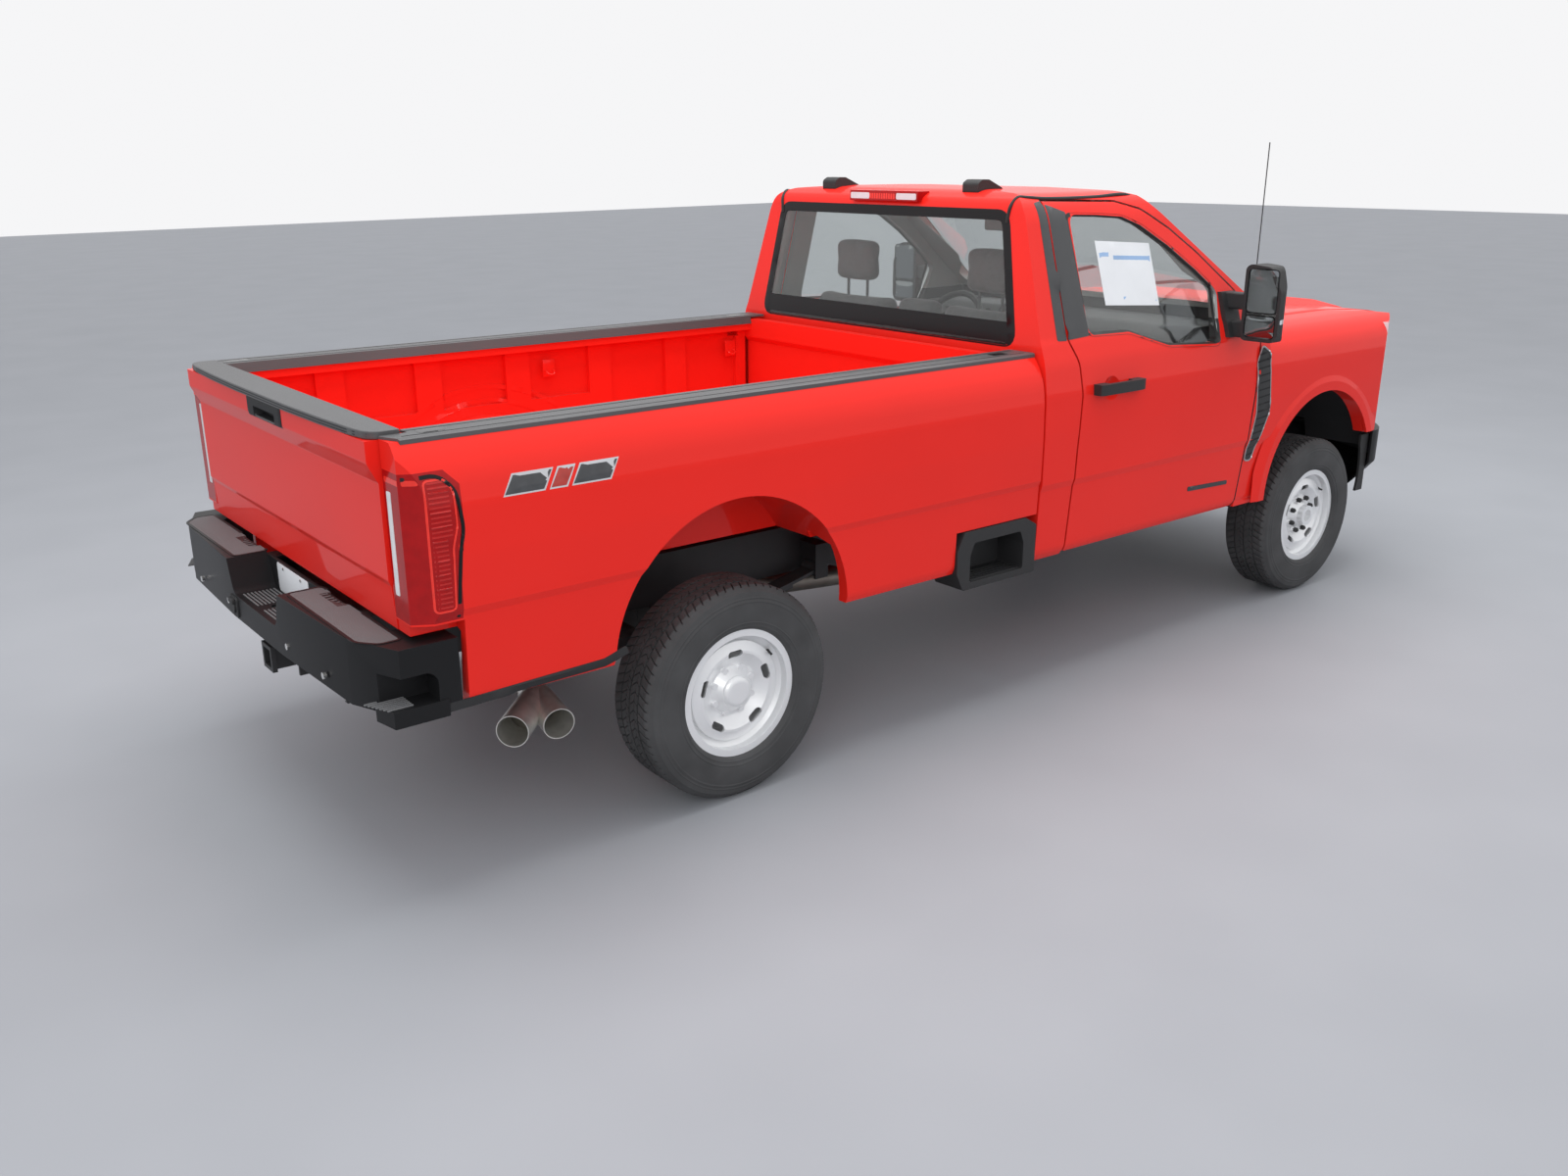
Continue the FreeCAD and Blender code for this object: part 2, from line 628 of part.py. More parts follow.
def mirrored(shape):
    return shape.mirror(V(0, 0, 0), LEFTWARD)


def both(shape):
    return Part.Compound([shape, mirrored(shape)])


def joined(shapes):
    first = shapes[0]
    return first.fuse(shapes[1:]).removeSplitter()


def turned(points, centre, axis, angle=360):
    # Revolves a closed outline of (radius, along) pairs round an axis in Y through the centre
    spots = [V(centre.x + radius, centre.y + along, centre.z) for radius, along in points]
    wire = Part.makePolygon(spots + [spots[0]])
    return Part.Face(wire).revolve(centre, axis, angle)


def sprung(shape):
    # Tips what stands on the springs nose down by the rake, about the rear axle
    copy = shape.copy()
    copy.rotate(V(0, 0, TYRE_RADIUS), LEFTWARD, RAKE_DEGREES)
    return copy


# Wheels

def tyre():
    # The tyre round the y axis at the origin, its tread ribs cut by ring grooves
    half = TYRE_WIDTH / 2
    bead = RIM_WIDTH / 2 - RIM_SKIN - SEAT_GAP
    lip = RIM_FLANGE_RADIUS + SEAT_GAP
    side = [(RIM_BEAD_RADIUS, bead), (lip, bead)]
    side += [(lip + v * (TYRE_RADIUS - lip), u * half) for u, v in TYRE_SECTION_SHARES]
    shoulder = [(TYRE_RADIUS - TREAD_DEPTH, TREAD_WIDTH / 2), (TYRE_RADIUS, TREAD_WIDTH / 2 - TREAD_DEPTH)]
    outer = side + shoulder
    foot = bead - BEAD_WIDTH
    inner_side = half - SIDEWALL_THICK
    inner = [(RIM_BEAD_RADIUS, -foot), (lip, -foot), (SIDEWALL_RADIUS, -inner_side),
             (TYRE_RADIUS - BEAD_WIDTH, -TREAD_WIDTH / 2 + BEAD_WIDTH),
             (TYRE_RADIUS - BEAD_WIDTH, TREAD_WIDTH / 2 - BEAD_WIDTH),
             (SIDEWALL_RADIUS, inner_side), (lip, foot), (RIM_BEAD_RADIUS, foot)]
    loop = outer + [(r, -a) for r, a in reversed(outer)] + inner
    body = turned(loop, V(0, 0, 0), LEFTWARD)
    for share in (-0.5, 0.0, 0.5):
        place = share * TREAD_WIDTH / 2
        ring = [(TYRE_RADIUS - TREAD_DEPTH, place - TREAD_GROOVE / 2),
                (TYRE_RADIUS + TREAD_DEPTH, place - TREAD_GROOVE / 2),
                (TYRE_RADIUS + TREAD_DEPTH, place + TREAD_GROOVE / 2),
                (TYRE_RADIUS - TREAD_DEPTH, place + TREAD_GROOVE / 2)]
        body = body.cut(turned(ring, V(0, 0, 0), LEFTWARD))
    return body


def rim_barrel():
    # The rolled barrel with its two flanges; its bead seats lie inside the tyre's beads
    half = RIM_WIDTH / 2
    seat = RIM_BEAD_RADIUS - SEAT_GAP
    well = RIM_WELL_RADIUS
    outer = [(RIM_FLANGE_RADIUS, half), (RIM_FLANGE_RADIUS, half - RIM_SKIN), (seat, half - RIM_SKIN),
             (seat, half - BEAD_WIDTH - RIM_SKIN), (well, half - 2 * BEAD_WIDTH),
             (well, -half + 2 * BEAD_WIDTH), (seat, -half + BEAD_WIDTH + RIM_SKIN),
             (seat, -half + RIM_SKIN), (RIM_FLANGE_RADIUS, -half + RIM_SKIN), (RIM_FLANGE_RADIUS, -half)]
    inner = [(seat - RIM_SKIN, -half), (seat - RIM_SKIN, -half + BEAD_WIDTH + RIM_SKIN),
             (well - RIM_SKIN, -half + 2 * BEAD_WIDTH), (well - RIM_SKIN, half - 2 * BEAD_WIDTH),
             (seat - RIM_SKIN, half - BEAD_WIDTH - RIM_SKIN), (seat - RIM_SKIN, half)]
    return turned(outer + inner, V(0, 0, 0), LEFTWARD)


def wheel_disc():
    # The pressed disc: a raised ridge with oval slots round a dished centre, open to the outside
    skirt = RIM_WIDTH / 2 - 2 * BEAD_WIDTH - DISC_SKIN
    face = [(DISC_OUTER_RADIUS - DISC_SKIN, skirt), (DISC_OUTER_RADIUS, skirt),
            (DISC_OUTER_RADIUS, DISC_FACE_OUT),
            (DISC_RIDGE_RADIUS, DISC_RIDGE_OUT), (DISC_RIDGE_RADIUS - DISC_SKIN, DISC_RIDGE_OUT),
            (DISC_CENTRE_RADIUS + DISC_SKIN, DISC_CENTRE_OUT), (SPINDLE_RADIUS, DISC_CENTRE_OUT),
            (SPINDLE_RADIUS, DISC_CENTRE_OUT - DISC_SKIN),
            (DISC_CENTRE_RADIUS + DISC_SKIN, DISC_CENTRE_OUT - DISC_SKIN),
            (DISC_RIDGE_RADIUS - DISC_SKIN, DISC_RIDGE_OUT - DISC_SKIN),
            (DISC_RIDGE_RADIUS, DISC_RIDGE_OUT - DISC_SKIN),
            (DISC_OUTER_RADIUS - DISC_SKIN, DISC_FACE_OUT - DISC_SKIN)]
    disc = turned(face, V(0, 0, 0), LEFTWARD)
    half = (SLOT_LENGTH - SLOT_WIDTH) / 2
    reach = DISC_RIDGE_OUT + DISC_SKIN
    slot = joined([
        box(-half, half, -0, reach, SLOT_RADIUS - SLOT_WIDTH / 2, SLOT_RADIUS + SLOT_WIDTH / 2),
        rod(V(-half, 0, SLOT_RADIUS), V(-half, reach, SLOT_RADIUS), SLOT_WIDTH / 2),
        rod(V(half, 0, SLOT_RADIUS), V(half, reach, SLOT_RADIUS), SLOT_WIDTH / 2)])
    for index in range(SLOT_COUNT):
        cutter = slot.copy()
        cutter.rotate(V(0, 0, 0), LEFTWARD, 360 * index / SLOT_COUNT)
        disc = disc.cut(cutter)
    return disc


def wheel_hub(front):
    # Hub, brake disc and cap: they turn with the wheel, on a blind bore for the spindle
    inboard = -BRAKE_INBOARD
    brake = turned([(SPINDLE_RADIUS + DISC_SKIN, inboard - BRAKE_THICK),
                    (BRAKE_RADIUS, inboard - BRAKE_THICK),
                    (BRAKE_RADIUS, inboard), (SPINDLE_RADIUS + DISC_SKIN, inboard)], V(0, 0, 0), LEFTWARD)
    radius = FRONT_HUB_RADIUS if front else HUB_RADIUS
    out = FRONT_HUB_OUT if front else HUB_CAP_OUT
    barrel = rod(V(0, inboard - BRAKE_THICK, 0), V(0, out, 0), radius)
    if front:
        recess = rod(V(0, out - FRONT_HUB_BORE, 0), V(0, out + CUT_OVERRUN, 0), FRONT_HUB_BORE)
        barrel = barrel.cut(recess)
    else:
        rim = [edge for edge in barrel.Edges if abs(edge.CenterOfMass.y - out) < DISC_SKIN]
        barrel = barrel.makeFillet(HUB_CAP_ROUND, rim)
    skirt = turned([(radius - DISC_SKIN, DISC_CENTRE_OUT), (DISC_CENTRE_RADIUS, DISC_CENTRE_OUT),
                    (radius, DISC_RIDGE_OUT), (radius - DISC_SKIN, DISC_RIDGE_OUT)], V(0, 0, 0), LEFTWARD)
    bore = rod(V(0, inboard - BRAKE_THICK - CUT_OVERRUN, 0), V(0, inboard + SPINDLE_REACH, 0),
               SPINDLE_RADIUS + RUNNING_CLEARANCE)
    nuts = []
    for index in range(LUG_NUT_COUNT):
        angle = 2 * math.pi * (index + 0.5) / LUG_NUT_COUNT
        spot = V(LUG_CIRCLE_RADIUS * math.sin(angle), DISC_CENTRE_OUT - DISC_SKIN,
                 LUG_CIRCLE_RADIUS * math.cos(angle))
        nuts.append(rod(spot, spot + LEFTWARD * LUG_NUT_LENGTH, LUG_NUT_RADIUS))
    return joined([barrel, brake, skirt] + nuts).cut(bore)


def wheel(front):
    return joined([rim_barrel(), wheel_disc(), wheel_hub(front)])


def placed_wheel(shape, x, track, side):
    # The shape is drawn with its outside towards +Y; the right-hand wheel is its mirror image
    copy = shape.copy() if side > 0 else mirrored(shape)
    copy.translate(V(x, side * track / 2, TYRE_RADIUS))
    return copy


# Axles and knuckles

def spindle_start(track):
    return track / 2 - BRAKE_INBOARD - BRAKE_THICK - PANEL_GAP


def differential(y, radius, toward):
    # Round housing with a pinion neck that points to the driveshaft
    centre = V(0, y, TYRE_RADIUS)
    ball = Part.makeSphere(radius, centre)
    neck = Part.makeCone(radius * 0.7, DIFF_NECK_RADIUS, DIFF_NECK_LENGTH, centre, V(toward, 0, 0))
    return ball.fuse(neck)


def rear_axle():
    end = spindle_start(REAR_TRACK)
    tube = rod(V(0, -end, TYRE_RADIUS), V(0, end, TYRE_RADIUS), AXLE_TUBE_RADIUS)
    tip = REAR_TRACK / 2 - BRAKE_INBOARD + SPINDLE_REACH - PANEL_GAP
    spindle = rod(V(0, -tip, TYRE_RADIUS), V(0, tip, TYRE_RADIUS), SPINDLE_RADIUS)
    seats = []
    for side in (-1, 1):
        y = side * LEAF_Y
        seats.append(box(-CROSSMEMBER_WIDTH / 2, CROSSMEMBER_WIDTH / 2, y - LEAF_WIDTH / 2,
                         y + LEAF_WIDTH / 2, TYRE_RADIUS, TYRE_RADIUS + AXLE_TUBE_RADIUS + LEAF_SEAT_HEIGHT))
    spot = rear_damper_low()
    y0 = RAIL_OUTER_Y - RAIL_FLANGE - 2 * EYE_RADIUS
    for side in (-1, 1):
        peg = rod(V(spot.x, side * y0, spot.z), V(spot.x, side * (LEAF_Y - LEAF_WIDTH / 2), spot.z),
                  PEG_RADIUS)
        ear = box(0, spot.x + PEG_RADIUS, side * LEAF_Y - LEAF_WIDTH / 2,
                  side * LEAF_Y - LEAF_WIDTH / 2 + PEG_RADIUS,
                  spot.z - PEG_RADIUS, spot.z + PEG_RADIUS)
        if side < 0:
            ear = box(0, spot.x + PEG_RADIUS, side * LEAF_Y + LEAF_WIDTH / 2 - PEG_RADIUS,
                      side * LEAF_Y + LEAF_WIDTH / 2,
                      spot.z - PEG_RADIUS, spot.z + PEG_RADIUS)
        seats += [peg, ear]
    return joined([tube, spindle, differential(0, DIFF_RADIUS, 1)] + seats)


def kingpin_y():
    return FRONT_TRACK / 2 - KINGPIN_INBOARD


def yoke():
    # The fork at the axle's end: two arms over and under the knuckle, bored for its pins
    y = kingpin_y()
    root = y - YOKE_ROOT_LENGTH
    low = TYRE_RADIUS - YOKE_GAP_HALF_HEIGHT - YOKE_ARM_THICK
    high = TYRE_RADIUS + YOKE_GAP_HALF_HEIGHT + YOKE_ARM_THICK
    half = YOKE_ARM_HALF_WIDTH
    block = joined([box(-half, half, root - YOKE_ARM_THICK, y, low, high),
                    rod(V(0, y, low), V(0, y, high), half)])
    gap = joined([box(-half - CUT_OVERRUN, half + CUT_OVERRUN, root, y + half + CUT_OVERRUN,
                      TYRE_RADIUS - YOKE_GAP_HALF_HEIGHT, TYRE_RADIUS + YOKE_GAP_HALF_HEIGHT)])
    bore = rod(V(0, y, low - CUT_OVERRUN), V(0, y, high + CUT_OVERRUN), KINGPIN_RADIUS + RUNNING_CLEARANCE)
    return block.cut(gap).cut(bore)


def front_axle():
    root = kingpin_y() - YOKE_ROOT_LENGTH
    tube = rod(V(0, -root, TYRE_RADIUS), V(0, root, TYRE_RADIUS), AXLE_TUBE_RADIUS)
    fork = yoke()
    perch = box(-COIL_RADIUS, COIL_RADIUS + 3 * DAMPER_RADIUS, COIL_Y - COIL_RADIUS, COIL_Y + COIL_RADIUS,
                TYRE_RADIUS, coil_base() - SEAT_GAP)
    axle = joined([tube, fork, mirrored(fork), perch, mirrored(perch),
                   differential(FRONT_DIFF_Y, FRONT_DIFF_RADIUS, -1)])
    axle.translate(V(WHEELBASE, 0, 0))
    return axle


def knuckle():
    # Left steering knuckle: upright with two pins in the fork and a spindle for the wheel
    y = kingpin_y()
    half = YOKE_GAP_HALF_HEIGHT - PANEL_GAP
    post = rod(V(0, y, TYRE_RADIUS - half), V(0, y, TYRE_RADIUS + half), KNUCKLE_RADIUS)
    pin = rod(V(0, y, TYRE_RADIUS - KINGPIN_HALF_HEIGHT), V(0, y, TYRE_RADIUS + KINGPIN_HALF_HEIGHT),
              KINGPIN_RADIUS)
    face = spindle_start(FRONT_TRACK)
    flange = rod(V(0, y, TYRE_RADIUS), V(0, face, TYRE_RADIUS), KNUCKLE_HUB_RADIUS)
    tip = FRONT_TRACK / 2 - BRAKE_INBOARD + SPINDLE_REACH - PANEL_GAP
    spindle = rod(V(0, y, TYRE_RADIUS), V(0, tip, TYRE_RADIUS), SPINDLE_RADIUS)
    body = joined([post, pin, flange, spindle])
    body.translate(V(WHEELBASE, 0, 0))
    return body


# Frame and springs

def rail_profile(inset):
    # Side view of a frame rail: low under the cab, kicked up over both axles
    low = RAIL_LOW_Z + inset
    rear_low = RAIL_REAR_LOW_Z + inset
    front_low = RAIL_FRONT_LOW_Z + inset
    depth = RAIL_DEPTH - 2 * inset
    rear_up, rear_down = 0.22 * WHEELBASE, 0.32 * WHEELBASE
    front_down, front_up = 0.855 * WHEELBASE, 0.93 * WHEELBASE
    return [(RAIL_REAR_X, rear_low), (rear_up, rear_low), (rear_down, low), (front_down, low),
            (front_up, front_low), (RAIL_FRONT_X, front_low), (RAIL_FRONT_X, front_low + depth),
            (front_up, front_low + depth), (front_down, low + depth), (rear_down, low + depth),
            (rear_up, rear_low + depth), (RAIL_REAR_X, rear_low + depth)]


# Crossmembers: place along the rail, rail level and share of the rail's depth below it
CROSSMEMBER_SHARES = [(-0.926, "rear", 0.3), (-0.401, "rear", 0.3), (TANK_SPAN_SHARES[0], "rear", 0.3),
                      (TANK_SPAN_SHARES[1], "top", 0.0),
                      (0.606, "gearbox", 0.0), (0.93, "engine", 0.0), (1.853, "front", 0.3)]


def along_rail(share):
    # Below 0 a share of the rear overhang, above 1 of the front one, between them of the wheelbase
    if share < 0:
        return -share * RAIL_REAR_X
    if share > 1:
        return WHEELBASE + (share - 1) * (RAIL_FRONT_X - WHEELBASE)
    return share * WHEELBASE


def crossmember(share, level, lift):
    x = along_rail(share)
    height = CROSSMEMBER_HEIGHT
    rail_top = RAIL_LOW_Z + RAIL_DEPTH
    low, high = {
        "rear": (RAIL_REAR_LOW_Z + lift * RAIL_DEPTH, RAIL_REAR_LOW_Z + lift * RAIL_DEPTH + height),
        "front": (RAIL_FRONT_LOW_Z + lift * RAIL_DEPTH, RAIL_FRONT_LOW_Z + lift * RAIL_DEPTH + height),
        "top": (rail_top - 0.35 * height, rail_top + 0.3 * height),
        "gearbox": (RAIL_LOW_Z + 0.4 * height, GEARBOX_Z - GEARBOX_RADIUS_REAR - SEAT_GAP),
        "engine": (ENGINE_LOW_Z - SEAT_GAP - height, ENGINE_LOW_Z - SEAT_GAP)}[level]
    end = RAIL_OUTER_Y - RAIL_SKIN / 2
    half = CROSSMEMBER_WIDTH / 2
    return box(x - half, x + half, -end, end, low, high)


def frame():
    # Two channel rails open to the middle, joined by crossmembers, with the brackets they carry
    corners = (0, 5, 6, 11)
    outer = plate(rail_profile(0), "xz", RAIL_OUTER_Y - RAIL_FLANGE, RAIL_OUTER_Y, RAIL_BEND_ROUND, corners)
    inner = plate(rail_profile(RAIL_SKIN), "xz", RAIL_OUTER_Y - RAIL_FLANGE - CUT_OVERRUN,
                  RAIL_OUTER_Y - RAIL_SKIN, RAIL_BEND_ROUND, corners)
    rail = outer.cut(inner)
    brackets = spring_brackets()
    pads = cab_mounts()
    peg = damper_peg(rear_damper_top())
    pieces = [rail, mirrored(rail), brackets, mirrored(brackets), pads, mirrored(pads), peg, mirrored(peg)]
    pieces += [crossmember(*place) for place in CROSSMEMBER_SHARES]
    return joined(pieces)


def cab_mounts():
    # Round pads on the rails that the cab's floor stands on
    top = RAIL_LOW_Z + RAIL_DEPTH
    y = RAIL_OUTER_Y - RAIL_FLANGE / 2
    pads = []
    for share in (0.45, 0.72):
        spot = V(share * WHEELBASE, y, top - RAIL_SKIN / 2)
        pads.append(rod(spot, V(spot.x, y, CAB_UNDERSIDE_Z - SEAT_GAP), RAIL_FLANGE / 2))
    return Part.Compound(pads)


def coil_tower():
    # Upper seat of the front spring and damper, on the outside of the rail
    z = coil_base() + COIL_HEIGHT + SEAT_GAP
    return box(WHEELBASE - COIL_RADIUS, WHEELBASE + COIL_RADIUS + 3 * DAMPER_RADIUS,
               RAIL_OUTER_Y - RAIL_SKIN / 2,
               COIL_Y + COIL_RADIUS, z, z + HITCH_PLATE_THICK)


def coil_base():
    return TYRE_RADIUS + AXLE_TUBE_RADIUS + COIL_WIRE_RADIUS + SEAT_GAP


def rear_damper_top():
    return V(0.085 * WHEELBASE, 0, RAIL_REAR_LOW_Z + RAIL_DEPTH / 2)


def rear_damper_low():
    return V(AXLE_TUBE_RADIUS + EYE_RADIUS + PANEL_GAP, 0, TYRE_RADIUS)


def damper_peg(spot):
    # Peg on the inside of the rail's web
    return rod(V(spot.x, RAIL_OUTER_Y - RAIL_FLANGE - 2 * EYE_RADIUS, spot.z),
               V(spot.x, RAIL_OUTER_Y - RAIL_SKIN / 2, spot.z), PEG_RADIUS)


def leaf_pack():
    # One side's leaf spring: stacked leaves, each shorter than the one above, eyes at the ends
    seat = TYRE_RADIUS + AXLE_TUBE_RADIUS + LEAF_SEAT_HEIGHT
    leaves = []
    for index in range(LEAF_COUNT):
        half = LEAF_HALF_LENGTH * (1 - 0.2 * (LEAF_COUNT - 1 - index))
        rise = LEAF_RISE * (half / LEAF_HALF_LENGTH) ** 2
        base = seat + index * LEAF_THICK
        curve = Part.Arc(V(-half, 0, base + rise), V(0, 0, base), V(half, 0, base + rise)).toShape()
        above = Part.Arc(V(half, 0, base + rise + LEAF_THICK), V(0, 0, base + LEAF_THICK),
                         V(-half, 0, base + rise + LEAF_THICK)).toShape()
        ends = [Part.LineSegment(V(half, 0, base + rise), V(half, 0, base + rise + LEAF_THICK)).toShape(),
                Part.LineSegment(V(-half, 0, base + rise + LEAF_THICK), V(-half, 0, base + rise)).toShape()]
        face = Part.Face(Part.Wire([curve, ends[0], above, ends[1]]))
        leaves.append(face.extrude(LEFTWARD * LEAF_WIDTH))
    top = seat + (LEAF_COUNT - 1) * LEAF_THICK + LEAF_RISE
    for end in (-LEAF_HALF_LENGTH, LEAF_HALF_LENGTH):
        spot = V(end, 0, top)
        leaves.append(rod(spot, spot + LEFTWARD * LEAF_WIDTH, LEAF_EYE_RADIUS))
    pack = joined(leaves)
    pack.translate(LEFTWARD * (LEAF_Y - LEAF_WIDTH / 2))
    return pack


def spring_brackets():
    # The hanger and the shackle that hold the spring's eyes outside the rail
    seat = TYRE_RADIUS + AXLE_TUBE_RADIUS + LEAF_SEAT_HEIGHT
    top = seat + (LEAF_COUNT - 1) * LEAF_THICK + LEAF_RISE
    pieces = []
    for end in (-LEAF_HALF_LENGTH, LEAF_HALF_LENGTH):
        for y in (LEAF_Y - LEAF_WIDTH / 2 - SHACKLE_THICK - SEAT_GAP, LEAF_Y + LEAF_WIDTH / 2 + SEAT_GAP):
            pieces.append(box(end - LEAF_EYE_RADIUS, end + LEAF_EYE_RADIUS, y, y + SHACKLE_THICK,
                              top - LEAF_EYE_RADIUS, top + SHACKLE_LENGTH))
        pieces.append(box(end - LEAF_EYE_RADIUS, end + LEAF_EYE_RADIUS, RAIL_OUTER_Y - RAIL_SKIN / 2,
                          LEAF_Y + LEAF_WIDTH / 2 + SEAT_GAP + SHACKLE_THICK,
                          top + LEAF_EYE_RADIUS + SHACKLE_THICK, top + SHACKLE_LENGTH))
    return joined(pieces)


def coil():
    # Front coil spring wound from round wire
    pitch = (COIL_HEIGHT - 2 * COIL_WIRE_RADIUS) / COIL_TURNS
    helix = Part.makeHelix(pitch, COIL_HEIGHT - 2 * COIL_WIRE_RADIUS, COIL_RADIUS - COIL_WIRE_RADIUS)
    start = V(COIL_RADIUS - COIL_WIRE_RADIUS, 0, 0)
    ring = Part.Wire(Part.makeCircle(COIL_WIRE_RADIUS, start, LEFTWARD))
    wire = Part.Wire(helix).makePipeShell([ring], True, True)
    wire.translate(V(WHEELBASE, COIL_Y, coil_base() + COIL_WIRE_RADIUS))
    return wire


def front_damper():
    x = WHEELBASE + COIL_RADIUS + DAMPER_RADIUS * 1.6
    low = V(x, COIL_Y, coil_base())
    high = V(x, COIL_Y, coil_base() + COIL_HEIGHT)
    middle = low + (high - low) * 0.55
    return joined([rod(low, middle, DAMPER_RADIUS), rod(middle, high, DAMPER_ROD_RADIUS)])


def rear_damper():
    # Leaning damper with an eye on the axle's peg and one on the rail's peg
    y = RAIL_OUTER_Y - RAIL_FLANGE - EYE_RADIUS
    low, high = rear_damper_low() + LEFTWARD * y, rear_damper_top() + LEFTWARD * y
    middle = low + (high - low) * 0.55
    across = LEFTWARD * EYE_RADIUS * 0.8
    eyes = [rod(spot - across, spot + across, EYE_RADIUS) for spot in (low, high)]
    holes = [rod(spot - across * 2, spot + across * 2, PEG_RADIUS + SEAT_GAP) for spot in (low, high)]
    return joined([rod(low, middle, DAMPER_RADIUS * 0.9),
                   rod(middle, high, DAMPER_ROD_RADIUS)] + eyes).cut(holes)


# Load bed

def bed_section():
    height = rail_top_z() - BED_SIDE_BOTTOM_Z
    return spread(BED_SECTION_SHARES, 0, BODY_HALF_WIDTH, BED_SIDE_BOTTOM_Z, height)


def rail_top_z():
    return BED_FLOOR_Z + BED_INSIDE_HEIGHT


def arch_cutter(x, z, radius, low, y0, y1):
    # The wheel opening: a round arch with straight legs down to below the body
    ring = rod(V(x, y0, z), V(x, y1, z), radius)
    legs = box(x - radius, x + radius, y0, y1, low, z)
    return joined([ring, legs])


def bed_side_blank():
    # Left bed side before its openings: a deep wall above the floor and a thin skirt below it
    outer = bed_section()
    wall = [(RAIL_TOP_INNER_Y, rail_top_z()), (RAIL_TOP_INNER_Y, rail_top_z() - RAIL_TOP_DEPTH),
            (BED_INSIDE_HALF_WIDTH, rail_top_z() - RAIL_TOP_DEPTH), (BED_INSIDE_HALF_WIDTH, BED_FLOOR_Z),
            (BODY_HALF_WIDTH - BED_SIDE_SKIRT - PANEL_GAP, BED_FLOOR_Z - BED_SIDE_SKIRT),
            (outer[0][0] - BED_SIDE_SKIRT, BED_SIDE_BOTTOM_Z)]
    body = plate(outer + wall, "yz", BED_SIDE_REAR_X, BED_SIDE_FRONT_X, TYRE_WIDTH,
                 (0, 2, 3, 8, 9, 10, 11, 12, 13, 14))
    # The inner part of the wall ends at the front panel and only the skin reaches the cab
    body = body.cut(box(BED_FRONT_X, BED_SIDE_FRONT_X + CUT_OVERRUN, 0,
                        BODY_HALF_WIDTH - BED_SIDE_SKIRT - CUT_OVERRUN, 0, rail_top_z() + CUT_OVERRUN))
    corner_cut = plate([(BED_SIDE_REAR_X - CUT_OVERRUN, BODY_HALF_WIDTH * 0.955),
                        (BED_SIDE_REAR_X, BODY_HALF_WIDTH * 0.955),
                        (BED_SIDE_REAR_X + BED_JAMB_DEPTH, BODY_HALF_WIDTH + PANEL_GAP),
                        (BED_SIDE_REAR_X - CUT_OVERRUN, BODY_HALF_WIDTH + PANEL_GAP)], "xy", 0,
                       rail_top_z() + CUT_OVERRUN)
    return body.cut(corner_cut)


def lamp_zone(margin):
    # The block of space that a tail lamp fills at the rear corner, notched on its front edge
    front = LAMP_FRONT_X + margin
    low = LAMP_BOTTOM_Z - margin
    high = LAMP_TOP_Z + margin
    span = front - BED_SIDE_REAR_X
    rise = high - low
    points = [(BED_SIDE_REAR_X - CUT_OVERRUN, low), (front - 0.13 * span, low),
              (front - 0.13 * span, low + 0.5 * rise),
              (front, low + 0.62 * rise), (front, low + 0.9 * rise), (front - 0.25 * span, high),
              (BED_SIDE_REAR_X - CUT_OVERRUN, high)]
    return plate(points, "xz", LAMP_INNER_Y - margin, BODY_HALF_WIDTH + CUT_OVERRUN)


def bed_side():
    side = bed_side_blank()
    y0, y1 = 0, BODY_HALF_WIDTH + CUT_OVERRUN
    side = side.cut(arch_cutter(REAR_ARCH_CENTRE_X, REAR_ARCH_CENTRE_Z, REAR_ARCH_RADIUS, 0, y0, y1))
    # Behind the lamp the lower skirt stops short, where the bumper wraps round
    side = side.cut(box(BED_SIDE_REAR_X - CUT_OVERRUN, BED_SKIRT_REAR_X, 0, y1, 0,
                        LAMP_BOTTOM_Z - PANEL_GAP))
    side = side.cut(tail_lamp_space())
    # Opening for the tailgate between the rear jambs
    side = side.cut(box(BED_SIDE_REAR_X - CUT_OVERRUN, BED_SIDE_REAR_X + BED_JAMB_DEPTH, 0,
                        BED_JAMB_HALF_WIDTH,
                        0, rail_top_z() + CUT_OVERRUN))
    side = side.cut(box(BOX_STEP_REAR_X, BED_SIDE_FRONT_X + CUT_OVERRUN, 0, y1, 0, BOX_STEP_TOP_Z))
    # Upright pressed panels on the inside wall
    span = BED_FRONT_X - BED_REAR_X
    pitch = span / BED_PANEL_COUNT
    for index in range(BED_PANEL_COUNT):
        start = BED_REAR_X + index * pitch + 0.14 * pitch
        low = rail_top_z() - RAIL_TOP_DEPTH - 0.72 * (BED_INSIDE_HEIGHT - RAIL_TOP_DEPTH)
        arch_top = REAR_ARCH_CENTRE_Z + REAR_ARCH_RADIUS + PANEL_GAP + CUT_OVERRUN
        if abs(start + 0.36 * pitch - REAR_ARCH_CENTRE_X) < REAR_ARCH_RADIUS + pitch / 2:
            low = arch_top
        high = rail_top_z() - RAIL_TOP_DEPTH - PANEL_GAP
        side = side.cut(box(start, start + 0.72 * pitch, BED_INSIDE_HALF_WIDTH - CUT_OVERRUN,
                            BED_INSIDE_HALF_WIDTH + BED_PANEL_RECESS, low, high))
    # Stake pockets in the rail's top
    for x in (BED_REAR_X + STAKE_POCKET, BED_FRONT_X - 2 * STAKE_POCKET):
        side = side.cut(box(x, x + STAKE_POCKET, RAIL_TOP_INNER_Y + STAKE_POCKET,
                            RAIL_TOP_INNER_Y + 2 * STAKE_POCKET, rail_top_z() - 2 * STAKE_POCKET,
                            rail_top_z() + CUT_OVERRUN))
    return joined([side, trunnion_block()])


